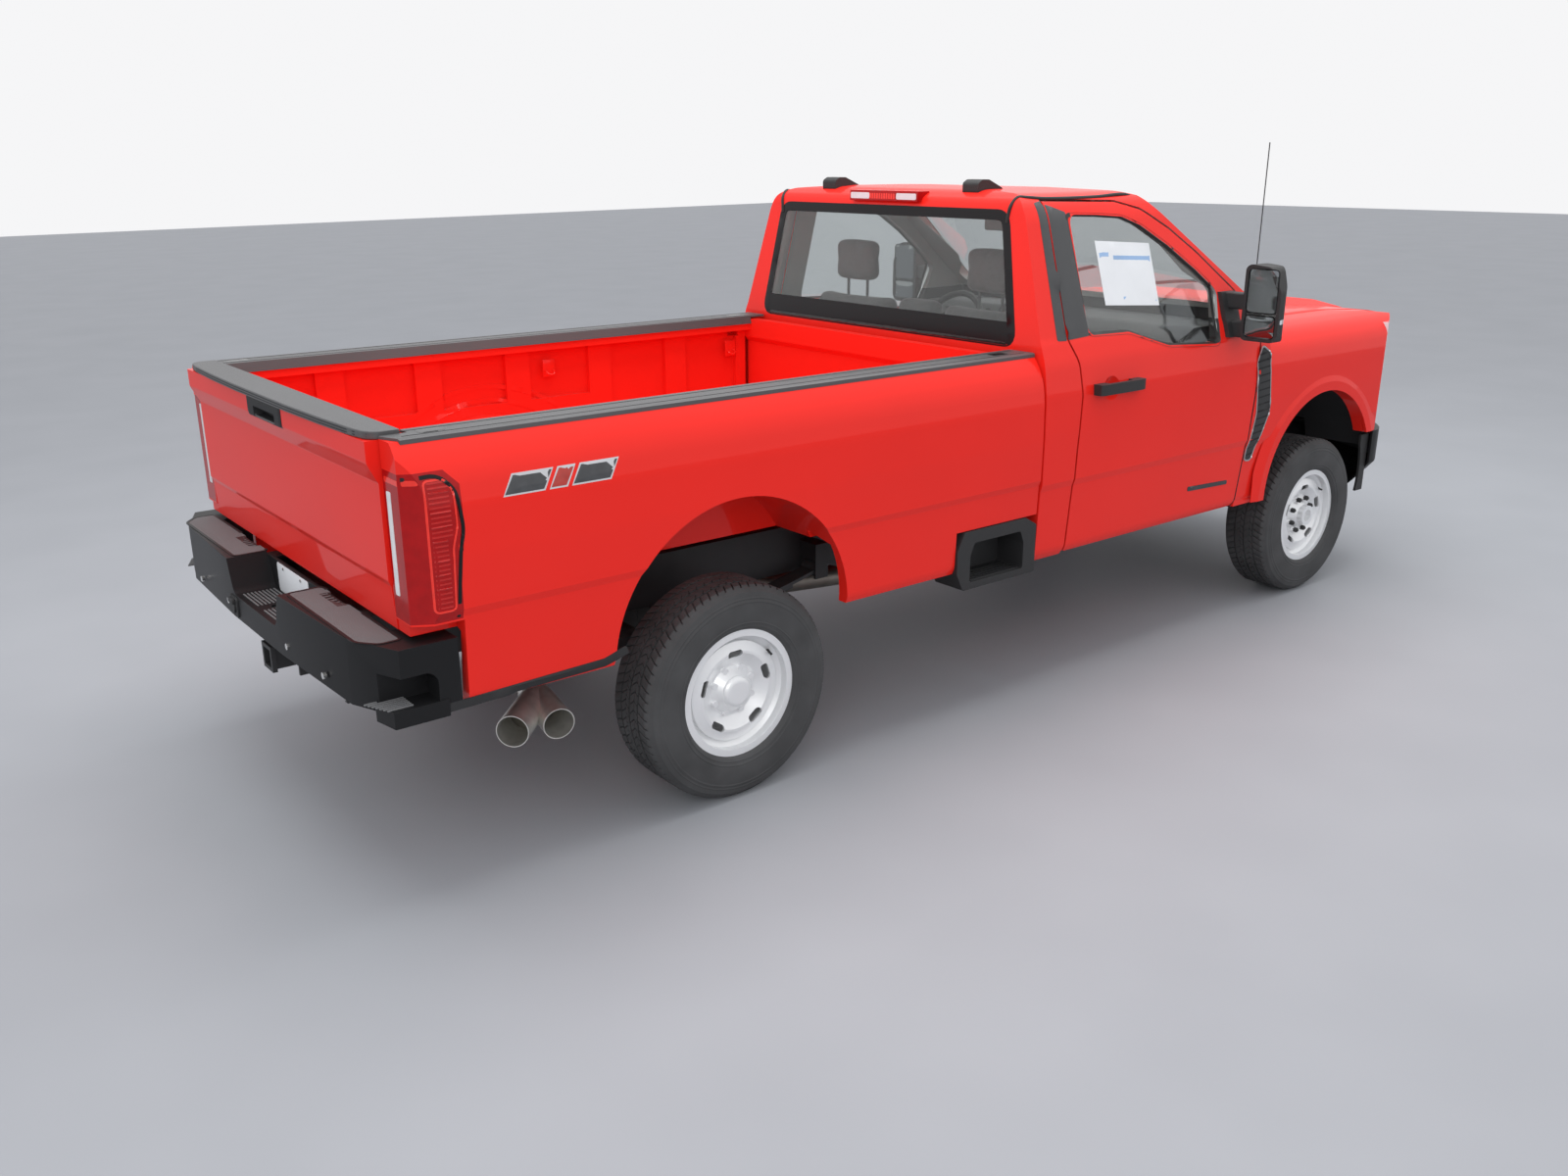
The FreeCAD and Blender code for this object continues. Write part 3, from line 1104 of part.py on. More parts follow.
def trunnion_block():
    # Post below the lamp that carries the tailgate's pin
    y1 = 0.93 * BODY_HALF_WIDTH
    post = box(BED_SIDE_REAR_X + PANEL_GAP, BED_REAR_X + 2 * CUT_OVERRUN, BED_JAMB_HALF_WIDTH, y1,
               TAILGATE_BOTTOM_Z,
               LAMP_BOTTOM_Z - SEAT_GAP)
    return joined([post, tailgate_pin()])


def fuel_door_zone(margin, depth):
    half_width = FUEL_DOOR_WIDTH / 2 + margin
    half_height = FUEL_DOOR_HEIGHT / 2 + margin
    return box(FUEL_DOOR_X - half_width, FUEL_DOOR_X + half_width, BODY_HALF_WIDTH - depth,
               BODY_HALF_WIDTH + CUT_OVERRUN, FUEL_DOOR_Z - half_height, FUEL_DOOR_Z + half_height)


def bed_floor():
    # Ribbed load floor with the two wheelhouses and the sills that tie it to the frame
    half = BED_INSIDE_HALF_WIDTH - SEAT_GAP
    low = BED_FLOOR_Z - BED_FLOOR_THICK
    end = BED_FRONT_X - SEAT_GAP
    start = BED_REAR_X + 2 * PANEL_GAP
    pieces = [box(start, end, -half, half, low - BED_RIB_HEIGHT, BED_FLOOR_Z - BED_RIB_HEIGHT)]
    pitch = 2 * WHEELHOUSE_INNER_Y / BED_RIB_COUNT
    for index in range(BED_RIB_COUNT):
        y = -WHEELHOUSE_INNER_Y + (index + 0.5) * pitch
        pieces.append(box(start + BED_RIB_WIDTH, end - BED_RIB_WIDTH, y - BED_RIB_WIDTH / 2,
                          y + BED_RIB_WIDTH / 2, low, BED_FLOOR_Z))
    floor = joined(pieces)
    centre = V(REAR_ARCH_CENTRE_X, 0, REAR_ARCH_CENTRE_Z)
    ring = rod(centre + LEFTWARD * WHEELHOUSE_INNER_Y, centre + LEFTWARD * half,
               REAR_ARCH_RADIUS + WHEELHOUSE_SKIN)
    ring = ring.common(box(start, end, 0, half, low - BED_RIB_HEIGHT, rail_top_z()))
    void = arch_cutter(REAR_ARCH_CENTRE_X, REAR_ARCH_CENTRE_Z, REAR_ARCH_RADIUS, 0,
                       WHEELHOUSE_INNER_Y + WHEELHOUSE_SKIN, half + CUT_OVERRUN)
    floor = floor.fuse([ring, mirrored(ring)]).cut([void, mirrored(void)])
    sills = []
    for share in (0.064, 0.757, 0.930):
        x = BED_REAR_X + share * BED_INSIDE_LENGTH
        sills.append(box(x - CROSSMEMBER_WIDTH / 2, x + CROSSMEMBER_WIDTH / 2, -RAIL_OUTER_Y, RAIL_OUTER_Y,
                         RAIL_REAR_LOW_Z + RAIL_DEPTH, low - BED_RIB_HEIGHT))
    return joined([floor] + sills)


def bed_front():
    # Front wall of the bed with one long pressed step
    half = BED_INSIDE_HALF_WIDTH - SEAT_GAP
    x = BED_FRONT_X
    top = rail_top_z() - RAIL_CAP_THICK
    step = BED_FLOOR_Z + 0.78 * BED_INSIDE_HEIGHT
    points = [(x + BED_FRONT_THICK * 0.4, BED_FLOOR_Z), (x + BED_FRONT_THICK * 0.4, step),
              (x, step + BED_PANEL_RECESS),
              (x, top), (x + BED_FRONT_THICK, top), (x + BED_FRONT_THICK, BED_FLOOR_Z - BED_FLOOR_THICK),
              (x, BED_FLOOR_Z - BED_FLOOR_THICK), (x, BED_FLOOR_Z)]
    return plate(points, "xz", -half, half)


def rail_caps():
    # Black moulding along each rail with a lip over its outer edge, and one across the front wall
    top = rail_top_z()
    edge = bed_section()[-1][0]
    strip = [(RAIL_TOP_INNER_Y - RAIL_CAP_THICK, top - RAIL_CAP_LIP),
             (RAIL_TOP_INNER_Y - SEAT_GAP, top - RAIL_CAP_LIP),
             (RAIL_TOP_INNER_Y - SEAT_GAP, top + SEAT_GAP), (edge, top + SEAT_GAP),
             (edge + RAIL_CAP_THICK, top - 0.5 * RAIL_CAP_LIP + PANEL_GAP), (edge + RAIL_CAP_THICK,
                                                                             top + 0.5 * RAIL_CAP_THICK),
             (edge, top + RAIL_CAP_THICK), (RAIL_TOP_INNER_Y, top + RAIL_CAP_THICK)]
    cap = plate(strip, "yz", BED_SIDE_REAR_X, BED_SIDE_FRONT_X)
    for x in (BED_REAR_X + STAKE_POCKET,):
        cap = cap.cut(box(x, x + STAKE_POCKET, RAIL_TOP_INNER_Y + STAKE_POCKET,
                          RAIL_TOP_INNER_Y + 2 * STAKE_POCKET, top - CUT_OVERRUN, top + CUT_OVERRUN))
    # The inner lip stops at the front wall, and the tailgate stands between the caps' rear ends
    inner = box(BED_FRONT_X - SEAT_GAP, BED_SIDE_FRONT_X + CUT_OVERRUN, 0, RAIL_TOP_INNER_Y, 0, top)
    gate = box(BED_SIDE_REAR_X - CUT_OVERRUN, BED_SIDE_REAR_X + BED_JAMB_DEPTH, 0, BED_JAMB_HALF_WIDTH, 0,
               top + CUT_OVERRUN)
    turn = 2 * RAIL_CAP_LIP
    plan = [(BED_SIDE_REAR_X, 0), (BED_SIDE_FRONT_X, 0), (BED_SIDE_FRONT_X, BODY_HALF_WIDTH),
            (BED_SIDE_REAR_X + turn, BODY_HALF_WIDTH), (BED_SIDE_REAR_X, edge - turn)]
    cap = cap.common(plate(plan, "xy", 0, top + CUT_OVERRUN, 0))
    return both(cap.cut([bed_side_blank(), inner, gate]))


def box_step():
    # Moulded recess ahead of the rear wheel with a ribbed tread at its foot
    x0 = BOX_STEP_REAR_X + PANEL_GAP / 2
    x1 = BED_SIDE_FRONT_X - PANEL_GAP / 2
    outer = BODY_HALF_WIDTH * 0.992
    inner = outer - BOX_STEP_DEPTH
    top = BOX_STEP_TOP_Z - PANEL_GAP / 2
    rim = 0.16 * (x1 - x0)
    shell = plate([(x0, BED_SIDE_BOTTOM_Z), (x0, top - rim), (x0 + 0.5 * rim, top), (x1 - 0.9 * rim, top),
                   (x1, top - 0.5 * rim), (x1, BOX_STEP_BOTTOM_Z), (x0 + 0.5 * rim, BOX_STEP_BOTTOM_Z)],
                  "xz", inner, outer, BOX_STEP_SKIN)
    hollow = plate([(x0 + rim, BOX_STEP_BOTTOM_Z + BOX_TREAD_THICK), (x0 + rim, top - 1.4 * rim),
                    (x0 + 1.3 * rim, top - 0.7 * rim), (x1 - 1.3 * rim, top - 0.7 * rim), (x1 - rim,
                                                                                           top - 1.4 * rim),
                    (x1 - rim, BOX_STEP_BOTTOM_Z + BOX_TREAD_THICK)], "xz", inner + BOX_STEP_SKIN,
                   outer + CUT_OVERRUN, BOX_STEP_SKIN)
    shell = shell.cut(hollow)
    ribs = []
    tread = BOX_STEP_BOTTOM_Z + BOX_TREAD_THICK
    for index in range(5):
        y = inner + BOX_STEP_DEPTH * (0.3 + 0.14 * index)
        ribs.append(box(x0 + 1.2 * rim, x1 - 1.2 * rim, y, y + BOX_STEP_SKIN, tread, tread + PANEL_GAP))
    bracket = box((x0 + x1) / 2 - BOX_STEP_DEPTH / 2, (x0 + x1) / 2 + BOX_STEP_DEPTH / 2,
                  RAIL_OUTER_Y + SEAT_GAP,
                  inner, BOX_STEP_TOP_Z - BOX_STEP_DEPTH, BOX_STEP_TOP_Z - BOX_STEP_DEPTH + BOX_TREAD_THICK)
    return joined([shell, bracket] + ribs)


# Tailgate, tail lamps

def tailgate():
    # The gate's closed shell: flat inside, with a crease low on its outside and a lipped top
    inner = TAILGATE_OUTER_X + TAILGATE_THICK
    half = TAILGATE_HALF_WIDTH
    height = TAILGATE_TOP_Z - TAILGATE_BOTTOM_Z
    shares = [(0.50, 0.00), (0.45, 0.03), (0.25, 0.235), (0.00, 0.265), (0.00, 0.78), (-0.75, 0.86),
              (-1.00, 0.89),
              (-1.00, 1.00)]
    profile = spread(shares, TAILGATE_OUTER_X, TAILGATE_LIP, TAILGATE_BOTTOM_Z, height)
    profile += [(inner, TAILGATE_TOP_Z), (inner, TAILGATE_BOTTOM_Z + PANEL_GAP),
                (inner - PANEL_GAP, TAILGATE_BOTTOM_Z)]
    gate = plate(profile, "xz", -half, half, TAILGATE_LIP / 2, (0, 7, 8, 9, 10))
    gate = gate.cut(tailgate_handle_zone(0))
    low = V(TAILGATE_HINGE_X, -half - CUT_OVERRUN, TAILGATE_HINGE_Z)
    bore = rod(low, low + LEFTWARD * (CUT_OVERRUN + POCKET_TREAD_THICK),
               TAILGATE_PIN_RADIUS + RUNNING_CLEARANCE)
    return gate.cut([bore, mirrored(bore)])


def tailgate_handle_zone(margin):
    half = HANDLE_WIDTH / 2 - margin
    return box(TAILGATE_OUTER_X - 2 * TAILGATE_LIP, TAILGATE_OUTER_X + TAILGATE_LIP, -half, half,
               TAILGATE_TOP_Z - HANDLE_HEIGHT + margin, TAILGATE_TOP_Z + CUT_OVERRUN)


def tailgate_handle():
    # Handle bezel with a finger recess below its bar
    half = HANDLE_WIDTH / 2 - SEAT_GAP
    low = TAILGATE_TOP_Z - HANDLE_HEIGHT + SEAT_GAP
    block = box(TAILGATE_OUTER_X - TAILGATE_LIP, TAILGATE_OUTER_X + TAILGATE_LIP - SEAT_GAP, -half, half,
                low,
                TAILGATE_TOP_Z)
    scoop = box(TAILGATE_OUTER_X - 2 * TAILGATE_LIP, TAILGATE_OUTER_X, -0.6 * half, 0.6 * half,
                low + PANEL_GAP,
                low + 0.5 * HANDLE_HEIGHT)
    return block.cut(scoop)


def tailgate_cap():
    # Black moulding along the gate's top edge, bowed rearward in plan
    half = TAILGATE_HALF_WIDTH
    rear = TAILGATE_OUTER_X - 1.5 * TAILGATE_LIP
    front = TAILGATE_OUTER_X + TAILGATE_THICK
    bow = TAILGATE_LIP
    right = [(rear, 0.30 * half), (rear + 0.20 * bow, 0.62 * half), (rear + 0.55 * bow, 0.88 * half),
             (rear + bow, half), (front, half)]
    plan = right + [(x, -y) for x, y in reversed(right)]
    return plate(plan, "xy", TAILGATE_TOP_Z + SEAT_GAP, TAILGATE_TOP_Z + CAP_THICK, 2 * CUT_OVERRUN, (4, 5))


def tailgate_pin():
    y0 = TAILGATE_HALF_WIDTH - POCKET_TREAD_THICK + PANEL_GAP
    return rod(V(TAILGATE_HINGE_X, y0, TAILGATE_HINGE_Z),
               V(TAILGATE_HINGE_X, BED_JAMB_HALF_WIDTH + BED_SIDE_SKIRT,
               TAILGATE_HINGE_Z), TAILGATE_PIN_RADIUS)


def tail_lamp_space():
    # The lamp's block less the post behind it
    post = box(BED_REAR_X, BED_SIDE_FRONT_X, 0, BODY_HALF_WIDTH - 1.5 * BED_SIDE_SKIRT, 0,
               rail_top_z() + CUT_OVERRUN)
    return lamp_zone(0).cut(post)


def tail_lamp():
    # The lamp fills its corner of the bed side and follows the outer skin
    return bed_side_blank().common(tail_lamp_space())


# Rear bumper and hitch

def bumper_plan(inset):
    # Half plan of the bumper: straight across the rear, then round the corner along the side
    out = BUMPER_HALF_WIDTH - inset
    face = BUMPER_FACE_X + inset
    middle = -REAR_OVERHANG + inset
    return [(BUMPER_INNER_X, 0), (middle, 0), (middle, 0.25 * out), (face, 0.8 * out),
            (face + 0.6 * BUMPER_CORNER_ROUND, out),
            (BUMPER_END_X, out), (BUMPER_END_X, out - 0.7 * BUMPER_CORNER_ROUND),
            (BUMPER_INNER_X, out - 1.5 * BUMPER_CORNER_ROUND)]


def rear_bumper():
    # Left half, then mirrored: a step bumper with a lowered middle and a foot pocket in each corner
    half = plate(bumper_plan(0), "xy", BUMPER_LOW_Z, BUMPER_TOP_Z, 0)
    floor = BUMPER_TOP_Z - BUMPER_NOTCH_DEPTH
    wide = BUMPER_NOTCH_HALF_WIDTH
    slope = BUMPER_NOTCH_DEPTH / 3
    sides = [(-wide, floor), (wide - slope, floor), (wide + slope / 2, BUMPER_TOP_Z + slope),
             (-wide, BUMPER_TOP_Z + slope)]
    notch = plate(sides, "yz", -REAR_OVERHANG - CUT_OVERRUN, BUMPER_INNER_X + CUT_OVERRUN, CUT_OVERRUN,
                  (0, 2, 3))
    half = half.cut(notch)
    wall = box(BUMPER_INNER_X, BUMPER_INNER_X + PLATE_WALL_THICK, 0, wide, BUMPER_LOW_Z,
               BUMPER_TOP_Z - BUMPER_SKIN)
    half = half.fuse(wall)
    hollow = box(BUMPER_FACE_X + 2 * BUMPER_SKIN, BUMPER_INNER_X - BUMPER_SKIN, -CUT_OVERRUN,
                 BUMPER_HALF_WIDTH - 2 * BUMPER_CORNER_ROUND, BUMPER_LOW_Z - CUT_OVERRUN,
                 BUMPER_TOP_Z - BUMPER_NOTCH_DEPTH - BUMPER_SKIN)
    half = half.cut(hollow)
    mid = BUMPER_TOP_Z - 0.42 * (BUMPER_TOP_Z - BUMPER_LOW_Z)
    pocket = plate([(BUMPER_FACE_X - CUT_OVERRUN, BUMPER_LOW_Z + POCKET_TREAD_THICK),
                    (BUMPER_FACE_X + POCKET_LENGTH, BUMPER_LOW_Z + POCKET_TREAD_THICK),
                    (BUMPER_FACE_X + POCKET_LENGTH, mid), (BUMPER_FACE_X - CUT_OVERRUN, mid)], "xz",
                   BUMPER_HALF_WIDTH - POCKET_DEPTH, BUMPER_HALF_WIDTH + CUT_OVERRUN, CUT_OVERRUN, (0, 1,
                                                                                                    3))
    tread = plate([(BUMPER_FACE_X + 0.15 * POCKET_LENGTH, BUMPER_HALF_WIDTH - POCKET_DEPTH - PANEL_GAP),
                   (BUMPER_FACE_X + 0.25 * POCKET_LENGTH, BUMPER_HALF_WIDTH + PANEL_GAP),
                   (BUMPER_FACE_X + 1.15 * POCKET_LENGTH, BUMPER_HALF_WIDTH + PANEL_GAP),
                   (BUMPER_FACE_X + 1.15 * POCKET_LENGTH, BUMPER_HALF_WIDTH - POCKET_DEPTH - PANEL_GAP)],
                  "xy", BUMPER_LOW_Z - POCKET_TREAD_THICK, BUMPER_LOW_Z + POCKET_TREAD_THICK, PANEL_GAP)
    half = joined([half.cut(pocket), tread])
    return half, mirrored(half)


def rear_bumper_whole():
    left, right = rear_bumper()
    arm = box(BUMPER_INNER_X - SEAT_GAP, RAIL_REAR_X - SEAT_GAP, RAIL_OUTER_Y - RAIL_FLANGE, RAIL_OUTER_Y,
              BUMPER_LOW_Z, BUMPER_TOP_Z - BUMPER_NOTCH_DEPTH)
    spot = V(BALL_HOLE_X, 0, BUMPER_LOW_Z)
    hole = rod(spot, V(BALL_HOLE_X, 0, BUMPER_TOP_Z), BALL_HOLE_RADIUS)
    return joined([left, right, arm, mirrored(arm)]).cut(hole)


def hitch():
    # Receiver tube on a cross beam, with a side plate up to each frame rail and two chain hooks
    half = HITCH_TUBE / 2
    bore = HITCH_BORE / 2
    end = HITCH_REAR_X + HITCH_LENGTH
    tube = box(HITCH_REAR_X, end, -half, half, HITCH_Z - half, HITCH_Z + half)
    collar = box(HITCH_REAR_X, HITCH_REAR_X + BUMPER_SKIN * 2, -half - BUMPER_SKIN, half + BUMPER_SKIN,
                 HITCH_Z - half - BUMPER_SKIN, HITCH_Z + half + BUMPER_SKIN)
    beam_x = HITCH_REAR_X + 0.5 * HITCH_LENGTH
    outer = RAIL_OUTER_Y + HITCH_PLATE_THICK + SEAT_GAP
    beam = rod(V(beam_x, -outer, HITCH_Z), V(beam_x, outer, HITCH_Z), HITCH_BEAM_RADIUS)
    cheek = [(beam_x - HITCH_TUBE, HITCH_Z - half), (beam_x + HITCH_TUBE, HITCH_Z - half),
             (beam_x + 3 * HITCH_TUBE, RAIL_REAR_LOW_Z + RAIL_DEPTH / 2),
             (RAIL_REAR_X + CUT_OVERRUN, RAIL_REAR_LOW_Z + RAIL_DEPTH / 2)]
    side = plate(cheek, "xz", RAIL_OUTER_Y + SEAT_GAP, outer, PANEL_GAP)
    loops = []
    for side_sign in (-1, 1):
        y = side_sign * 1.6 * HITCH_TUBE
        hook = box(HITCH_REAR_X + 0.2 * HITCH_LENGTH, beam_x, y - HITCH_PLATE_THICK / 2,
                   y + HITCH_PLATE_THICK / 2,
                   HITCH_Z - half - BUMPER_SKIN, HITCH_Z)
        eye = rod(V(HITCH_REAR_X + 0.3 * HITCH_LENGTH, y - HITCH_PLATE_THICK, HITCH_Z - half + BUMPER_SKIN),
                  V(HITCH_REAR_X + 0.3 * HITCH_LENGTH, y + HITCH_PLATE_THICK, HITCH_Z - half + BUMPER_SKIN),
                  HITCH_PLATE_THICK * 0.9)
        loops.append(hook.cut(eye))
    solid = joined([tube, collar, beam, side, mirrored(side)] + loops)
    socket = box(HITCH_REAR_X - CUT_OVERRUN, end + CUT_OVERRUN, -bore, bore, HITCH_Z - bore, HITCH_Z + bore)
    return solid.cut(socket)


# Cab

def cab_section():
    return spread(CAB_SECTION_SHARES, 0, BODY_HALF_WIDTH, CAB_BOTTOM_Z, CAB_TOP_Z - CAB_BOTTOM_Z)


def whole_section(half):
    # Both halves of a section that ends on the middle plane
    return half + [(-y, z) for y, z in reversed(half[:-1])]


def windscreen_wedge(shift):
    # Everything behind the bulged, leaning windscreen, from the cowl up
    top = CAB_TOP_Z + CUT_OVERRUN
    low = COWL_Z - CUT_OVERRUN * 2
    side = WINDSCREEN_SIDE_X + shift + (COWL_Z - low) * WINDSCREEN_LEAN
    half = BODY_HALF_WIDTH
    front = Part.Arc(V(side, -half, low), V(side + WINDSCREEN_BULGE, 0, low), V(side, half, low)).toShape()
    lines = [V(side, half, low), V(0, half, low), V(0, -half, low), V(side, -half, low)]
    edges = [front] + [Part.LineSegment(a, b).toShape() for a, b in zip(lines, lines[1:])]
    rise = top - low
    return Part.Face(Part.Wire(edges)).extrude(V(-rise * WINDSCREEN_LEAN, 0, rise))


def cab_outer():
    # Outer form: cross section, side profile and windscreen slope taken together
    section = whole_section(cab_section())
    count = len(section)
    sharp = (0, 2, 3, count - 4, count - 3, count - 1)
    body = plate(section, "yz", CAB_REAR_X, CAB_FRONT_X + 2 * WINDSCREEN_BULGE, TYRE_WIDTH, sharp)
    profile = spread(CAB_PROFILE_SHARES, CAB_REAR_X, CAB_FRONT_X - CAB_REAR_X, CAB_BOTTOM_Z,
                     CAB_TOP_Z - CAB_BOTTOM_Z)
    body = body.common(plate(profile, "xz", -BODY_HALF_WIDTH - CUT_OVERRUN, BODY_HALF_WIDTH + CUT_OVERRUN,
                             TYRE_WIDTH, (0, 1, 9, 10)))
    side = BODY_HALF_WIDTH + CUT_OVERRUN
    start = CAB_REAR_X - CUT_OVERRUN
    above = box(start, CAB_FRONT_X + 3 * WINDSCREEN_BULGE, -side, side, COWL_Z, CAB_TOP_Z + CUT_OVERRUN)
    below = box(start, CAB_FRONT_X, -side, side, CAB_BOTTOM_Z, COWL_Z)
    return joined([body.common(windscreen_wedge(0)).common(above), body.common(below)])


def cab_inner_section(wall):
    # Section of the space inside: thick walls below the belt, slim frames above it
    belt = BELT_Z
    glass = spread(CAB_SECTION_SHARES[8:10], 0, BODY_HALF_WIDTH, CAB_BOTTOM_Z, CAB_TOP_Z - CAB_BOTTOM_Z)
    half = [(BODY_HALF_WIDTH - wall, CAB_FLOOR_Z), (BODY_HALF_WIDTH - wall, belt - wall),
            (glass[0][0] - CAB_FRAME_THICK, belt), (glass[1][0] - CAB_FRAME_THICK, glass[1][1]),
            (glass[1][0] - 2.2 * CAB_FRAME_THICK, CAB_TOP_Z - CAB_ROOF_THICK - PANEL_GAP * 2),
            (0, CAB_TOP_Z - CAB_ROOF_THICK)]
    return whole_section(half)


def cab_cavity(wall):
    section = plate(cab_inner_section(wall), "yz", CAB_REAR_X, CAB_FRONT_X, CAB_FRAME_THICK)
    back = CAB_REAR_X + CAB_REAR_WALL
    lean = CAB_REAR_X + CAB_FRAME_THICK
    roof = CAB_TOP_Z - CAB_ROOF_THICK
    length = CAB_FRONT_X - CAB_REAR_X
    profile = [(back, CAB_FLOOR_Z), (back, BELT_Z - CAB_WALL), (lean, BELT_Z),
               (lean + 0.028 * length, roof - CAB_FRAME_THICK),
               (lean + 0.08 * length, roof - PANEL_GAP), (CAB_REAR_X + 0.2 * length,
                                                          roof), (CAB_REAR_X + 0.46 * length,
                                                                  roof - CAB_FRAME_THICK / 2),
               (FIREWALL_X, roof - CAB_FRAME_THICK * 4), (FIREWALL_X, CAB_FLOOR_Z)]
    space = section.common(plate(profile, "xz", -BODY_HALF_WIDTH, BODY_HALF_WIDTH))
    high = windscreen_wedge(-CAB_FRAME_THICK * 2).common(box(CAB_REAR_X, CAB_FRONT_X + WINDSCREEN_BULGE,
                                                             -BODY_HALF_WIDTH, BODY_HALF_WIDTH,
                                                 COWL_Z, CAB_TOP_Z))
    low = box(CAB_REAR_X, FIREWALL_X, -BODY_HALF_WIDTH, BODY_HALF_WIDTH, CAB_FLOOR_Z, COWL_Z)
    return space.common(joined([high, low]))


def door_outline():
    return spread(DOOR_SHARES, DOOR_REAR_X, DOOR_FRONT_X - DOOR_REAR_X, DOOR_BOTTOM_Z,
                  DOOR_TOP_Z - DOOR_BOTTOM_Z)


def window_outline():
    return spread(WINDOW_SHARES, WINDOW_REAR_X, WINDOW_FRONT_X - WINDOW_REAR_X, WINDOW_LOW_Z,
                  WINDOW_TOP_Z - WINDOW_LOW_Z)


def grown(points, plane, amount, radius, sharp=()):
    wire = outline(points, plane, radius, sharp)
    return wire.makeOffset2D(amount) if amount else wire


def door_prism(gap):
    wire = grown(door_outline(), "xz", gap, CUT_OVERRUN * 3, (0,))
    return Part.Face(wire).extrude(LEFTWARD * (BODY_HALF_WIDTH + CUT_OVERRUN))


def window_prism(gap):
    wire = grown(window_outline(), "xz", gap, CUT_OVERRUN)
    return Part.Face(wire).extrude(LEFTWARD * (BODY_HALF_WIDTH + CUT_OVERRUN))


def backlight_outline():
    low, high = BACKLIGHT_LOW_Z, BACKLIGHT_TOP_Z
    return [(-BACKLIGHT_HALF_LOW, low), (BACKLIGHT_HALF_LOW, low), (BACKLIGHT_HALF_TOP, high),
            (-BACKLIGHT_HALF_TOP, high)]


def windscreen_outline():
    low = COWL_Z + CUT_OVERRUN
    high = CAB_TOP_Z - 2 * CUT_OVERRUN
    return [(-0.86 * BODY_HALF_WIDTH, low), (0.86 * BODY_HALF_WIDTH, low), (0.69 * BODY_HALF_WIDTH, high),
            (-0.69 * BODY_HALF_WIDTH, high)]


def tunnel(grow):
    # Hump in the floor over the gearbox
    half = TUNNEL_HALF_WIDTH + grow
    top = TUNNEL_TOP_Z + grow
    return plate([(-half, 0), (half, 0), (half, 0.9 * top), (0.8 * half, top), (-0.8 * half, top),
                  (-half, 0.9 * top)], "yz",
                 TUNNEL_REAR_X - grow, CAB_FRONT_X + CUT_OVERRUN, CAB_WALL, (0, 1))


def hinge_straps():
    # Fixed halves of the left door's two hinges: a pin on a strap from the hinge pillar
    x, y = DOOR_HINGE_X, DOOR_HINGE_Y
    half = HINGE_STRAP_WIDTH / 2
    inboard = BODY_HALF_WIDTH - CAB_WALL + HINGE_SKIN
    pieces = []
    for z in HINGE_HEIGHTS:
        low, high = z - HINGE_STRAP_HALF, z + HINGE_STRAP_HALF
        pieces.append(rod(V(x, y, z - HINGE_PIN_HALF), V(x, y, z + HINGE_PIN_HALF), HINGE_PIN_RADIUS))
        pieces.append(box(x - half, x + half, inboard - HINGE_STRAP_WIDTH, y, low, high))
        pieces.append(box(x - half, DOOR_FRONT_X + 2 * SHUT_GAP, inboard - HINGE_STRAP_WIDTH, inboard, low,
                          high))
    return Part.Compound(pieces)


def hinge_pockets():
    # Space in the left door for the straps to swing in, and the bores for their pins
    x, y = DOOR_HINGE_X, DOOR_HINGE_Y
    cuts = []
    for z in HINGE_HEIGHTS:
        low, high = z - HINGE_STRAP_HALF - HINGE_SLACK, z + HINGE_STRAP_HALF + HINGE_SLACK
        cuts.append(box(x - HINGE_STRAP_WIDTH, DOOR_FRONT_X + CUT_OVERRUN, 0, y + 2 * HINGE_PIN_RADIUS,
                        low, high))
        cuts.append(rod(V(x, y, z - HINGE_PIN_HALF - HINGE_SLACK),
                        V(x, y, z + HINGE_PIN_HALF + HINGE_SLACK),
                        HINGE_PIN_RADIUS + RUNNING_CLEARANCE))
    return cuts


def door_opening():
    # The cut for the left door: over the sill it goes right through the side, below it only as deep
    # as the door, and right down past the cab's lower edge
    length = DOOR_FRONT_X - DOOR_REAR_X
    x0, x1 = DOOR_REAR_X - CAB_WALL, DOOR_FRONT_X + CAB_WALL
    y0, y1 = BODY_HALF_WIDTH - DOOR_THICK - SHUT_GAP, BODY_HALF_WIDTH + CUT_OVERRUN
    sill = CAB_FLOOR_Z + CUT_OVERRUN
    low = box(x0, x1, y0, y1, 0, sill)
    high = box(x0, x1, DOOR_INBOARD_SHARE * BODY_HALF_WIDTH - CAB_REAR_WALL, y1, sill, CAB_TOP_Z)
    foot = box(DOOR_REAR_X + DOOR_SHARES[6][0] * length - SHUT_GAP,
               DOOR_REAR_X + DOOR_SHARES[9][0] * length + SHUT_GAP,
               y0, y1, 0, DOOR_BOTTOM_Z + SHUT_GAP)
    relief = box(DOOR_HINGE_X - CAB_WALL, x1, y0 - 1.6 * SHUT_GAP, y1, 0, sill)
    return joined([low, relief, high]).common(door_prism(SHUT_GAP)).fuse(foot)


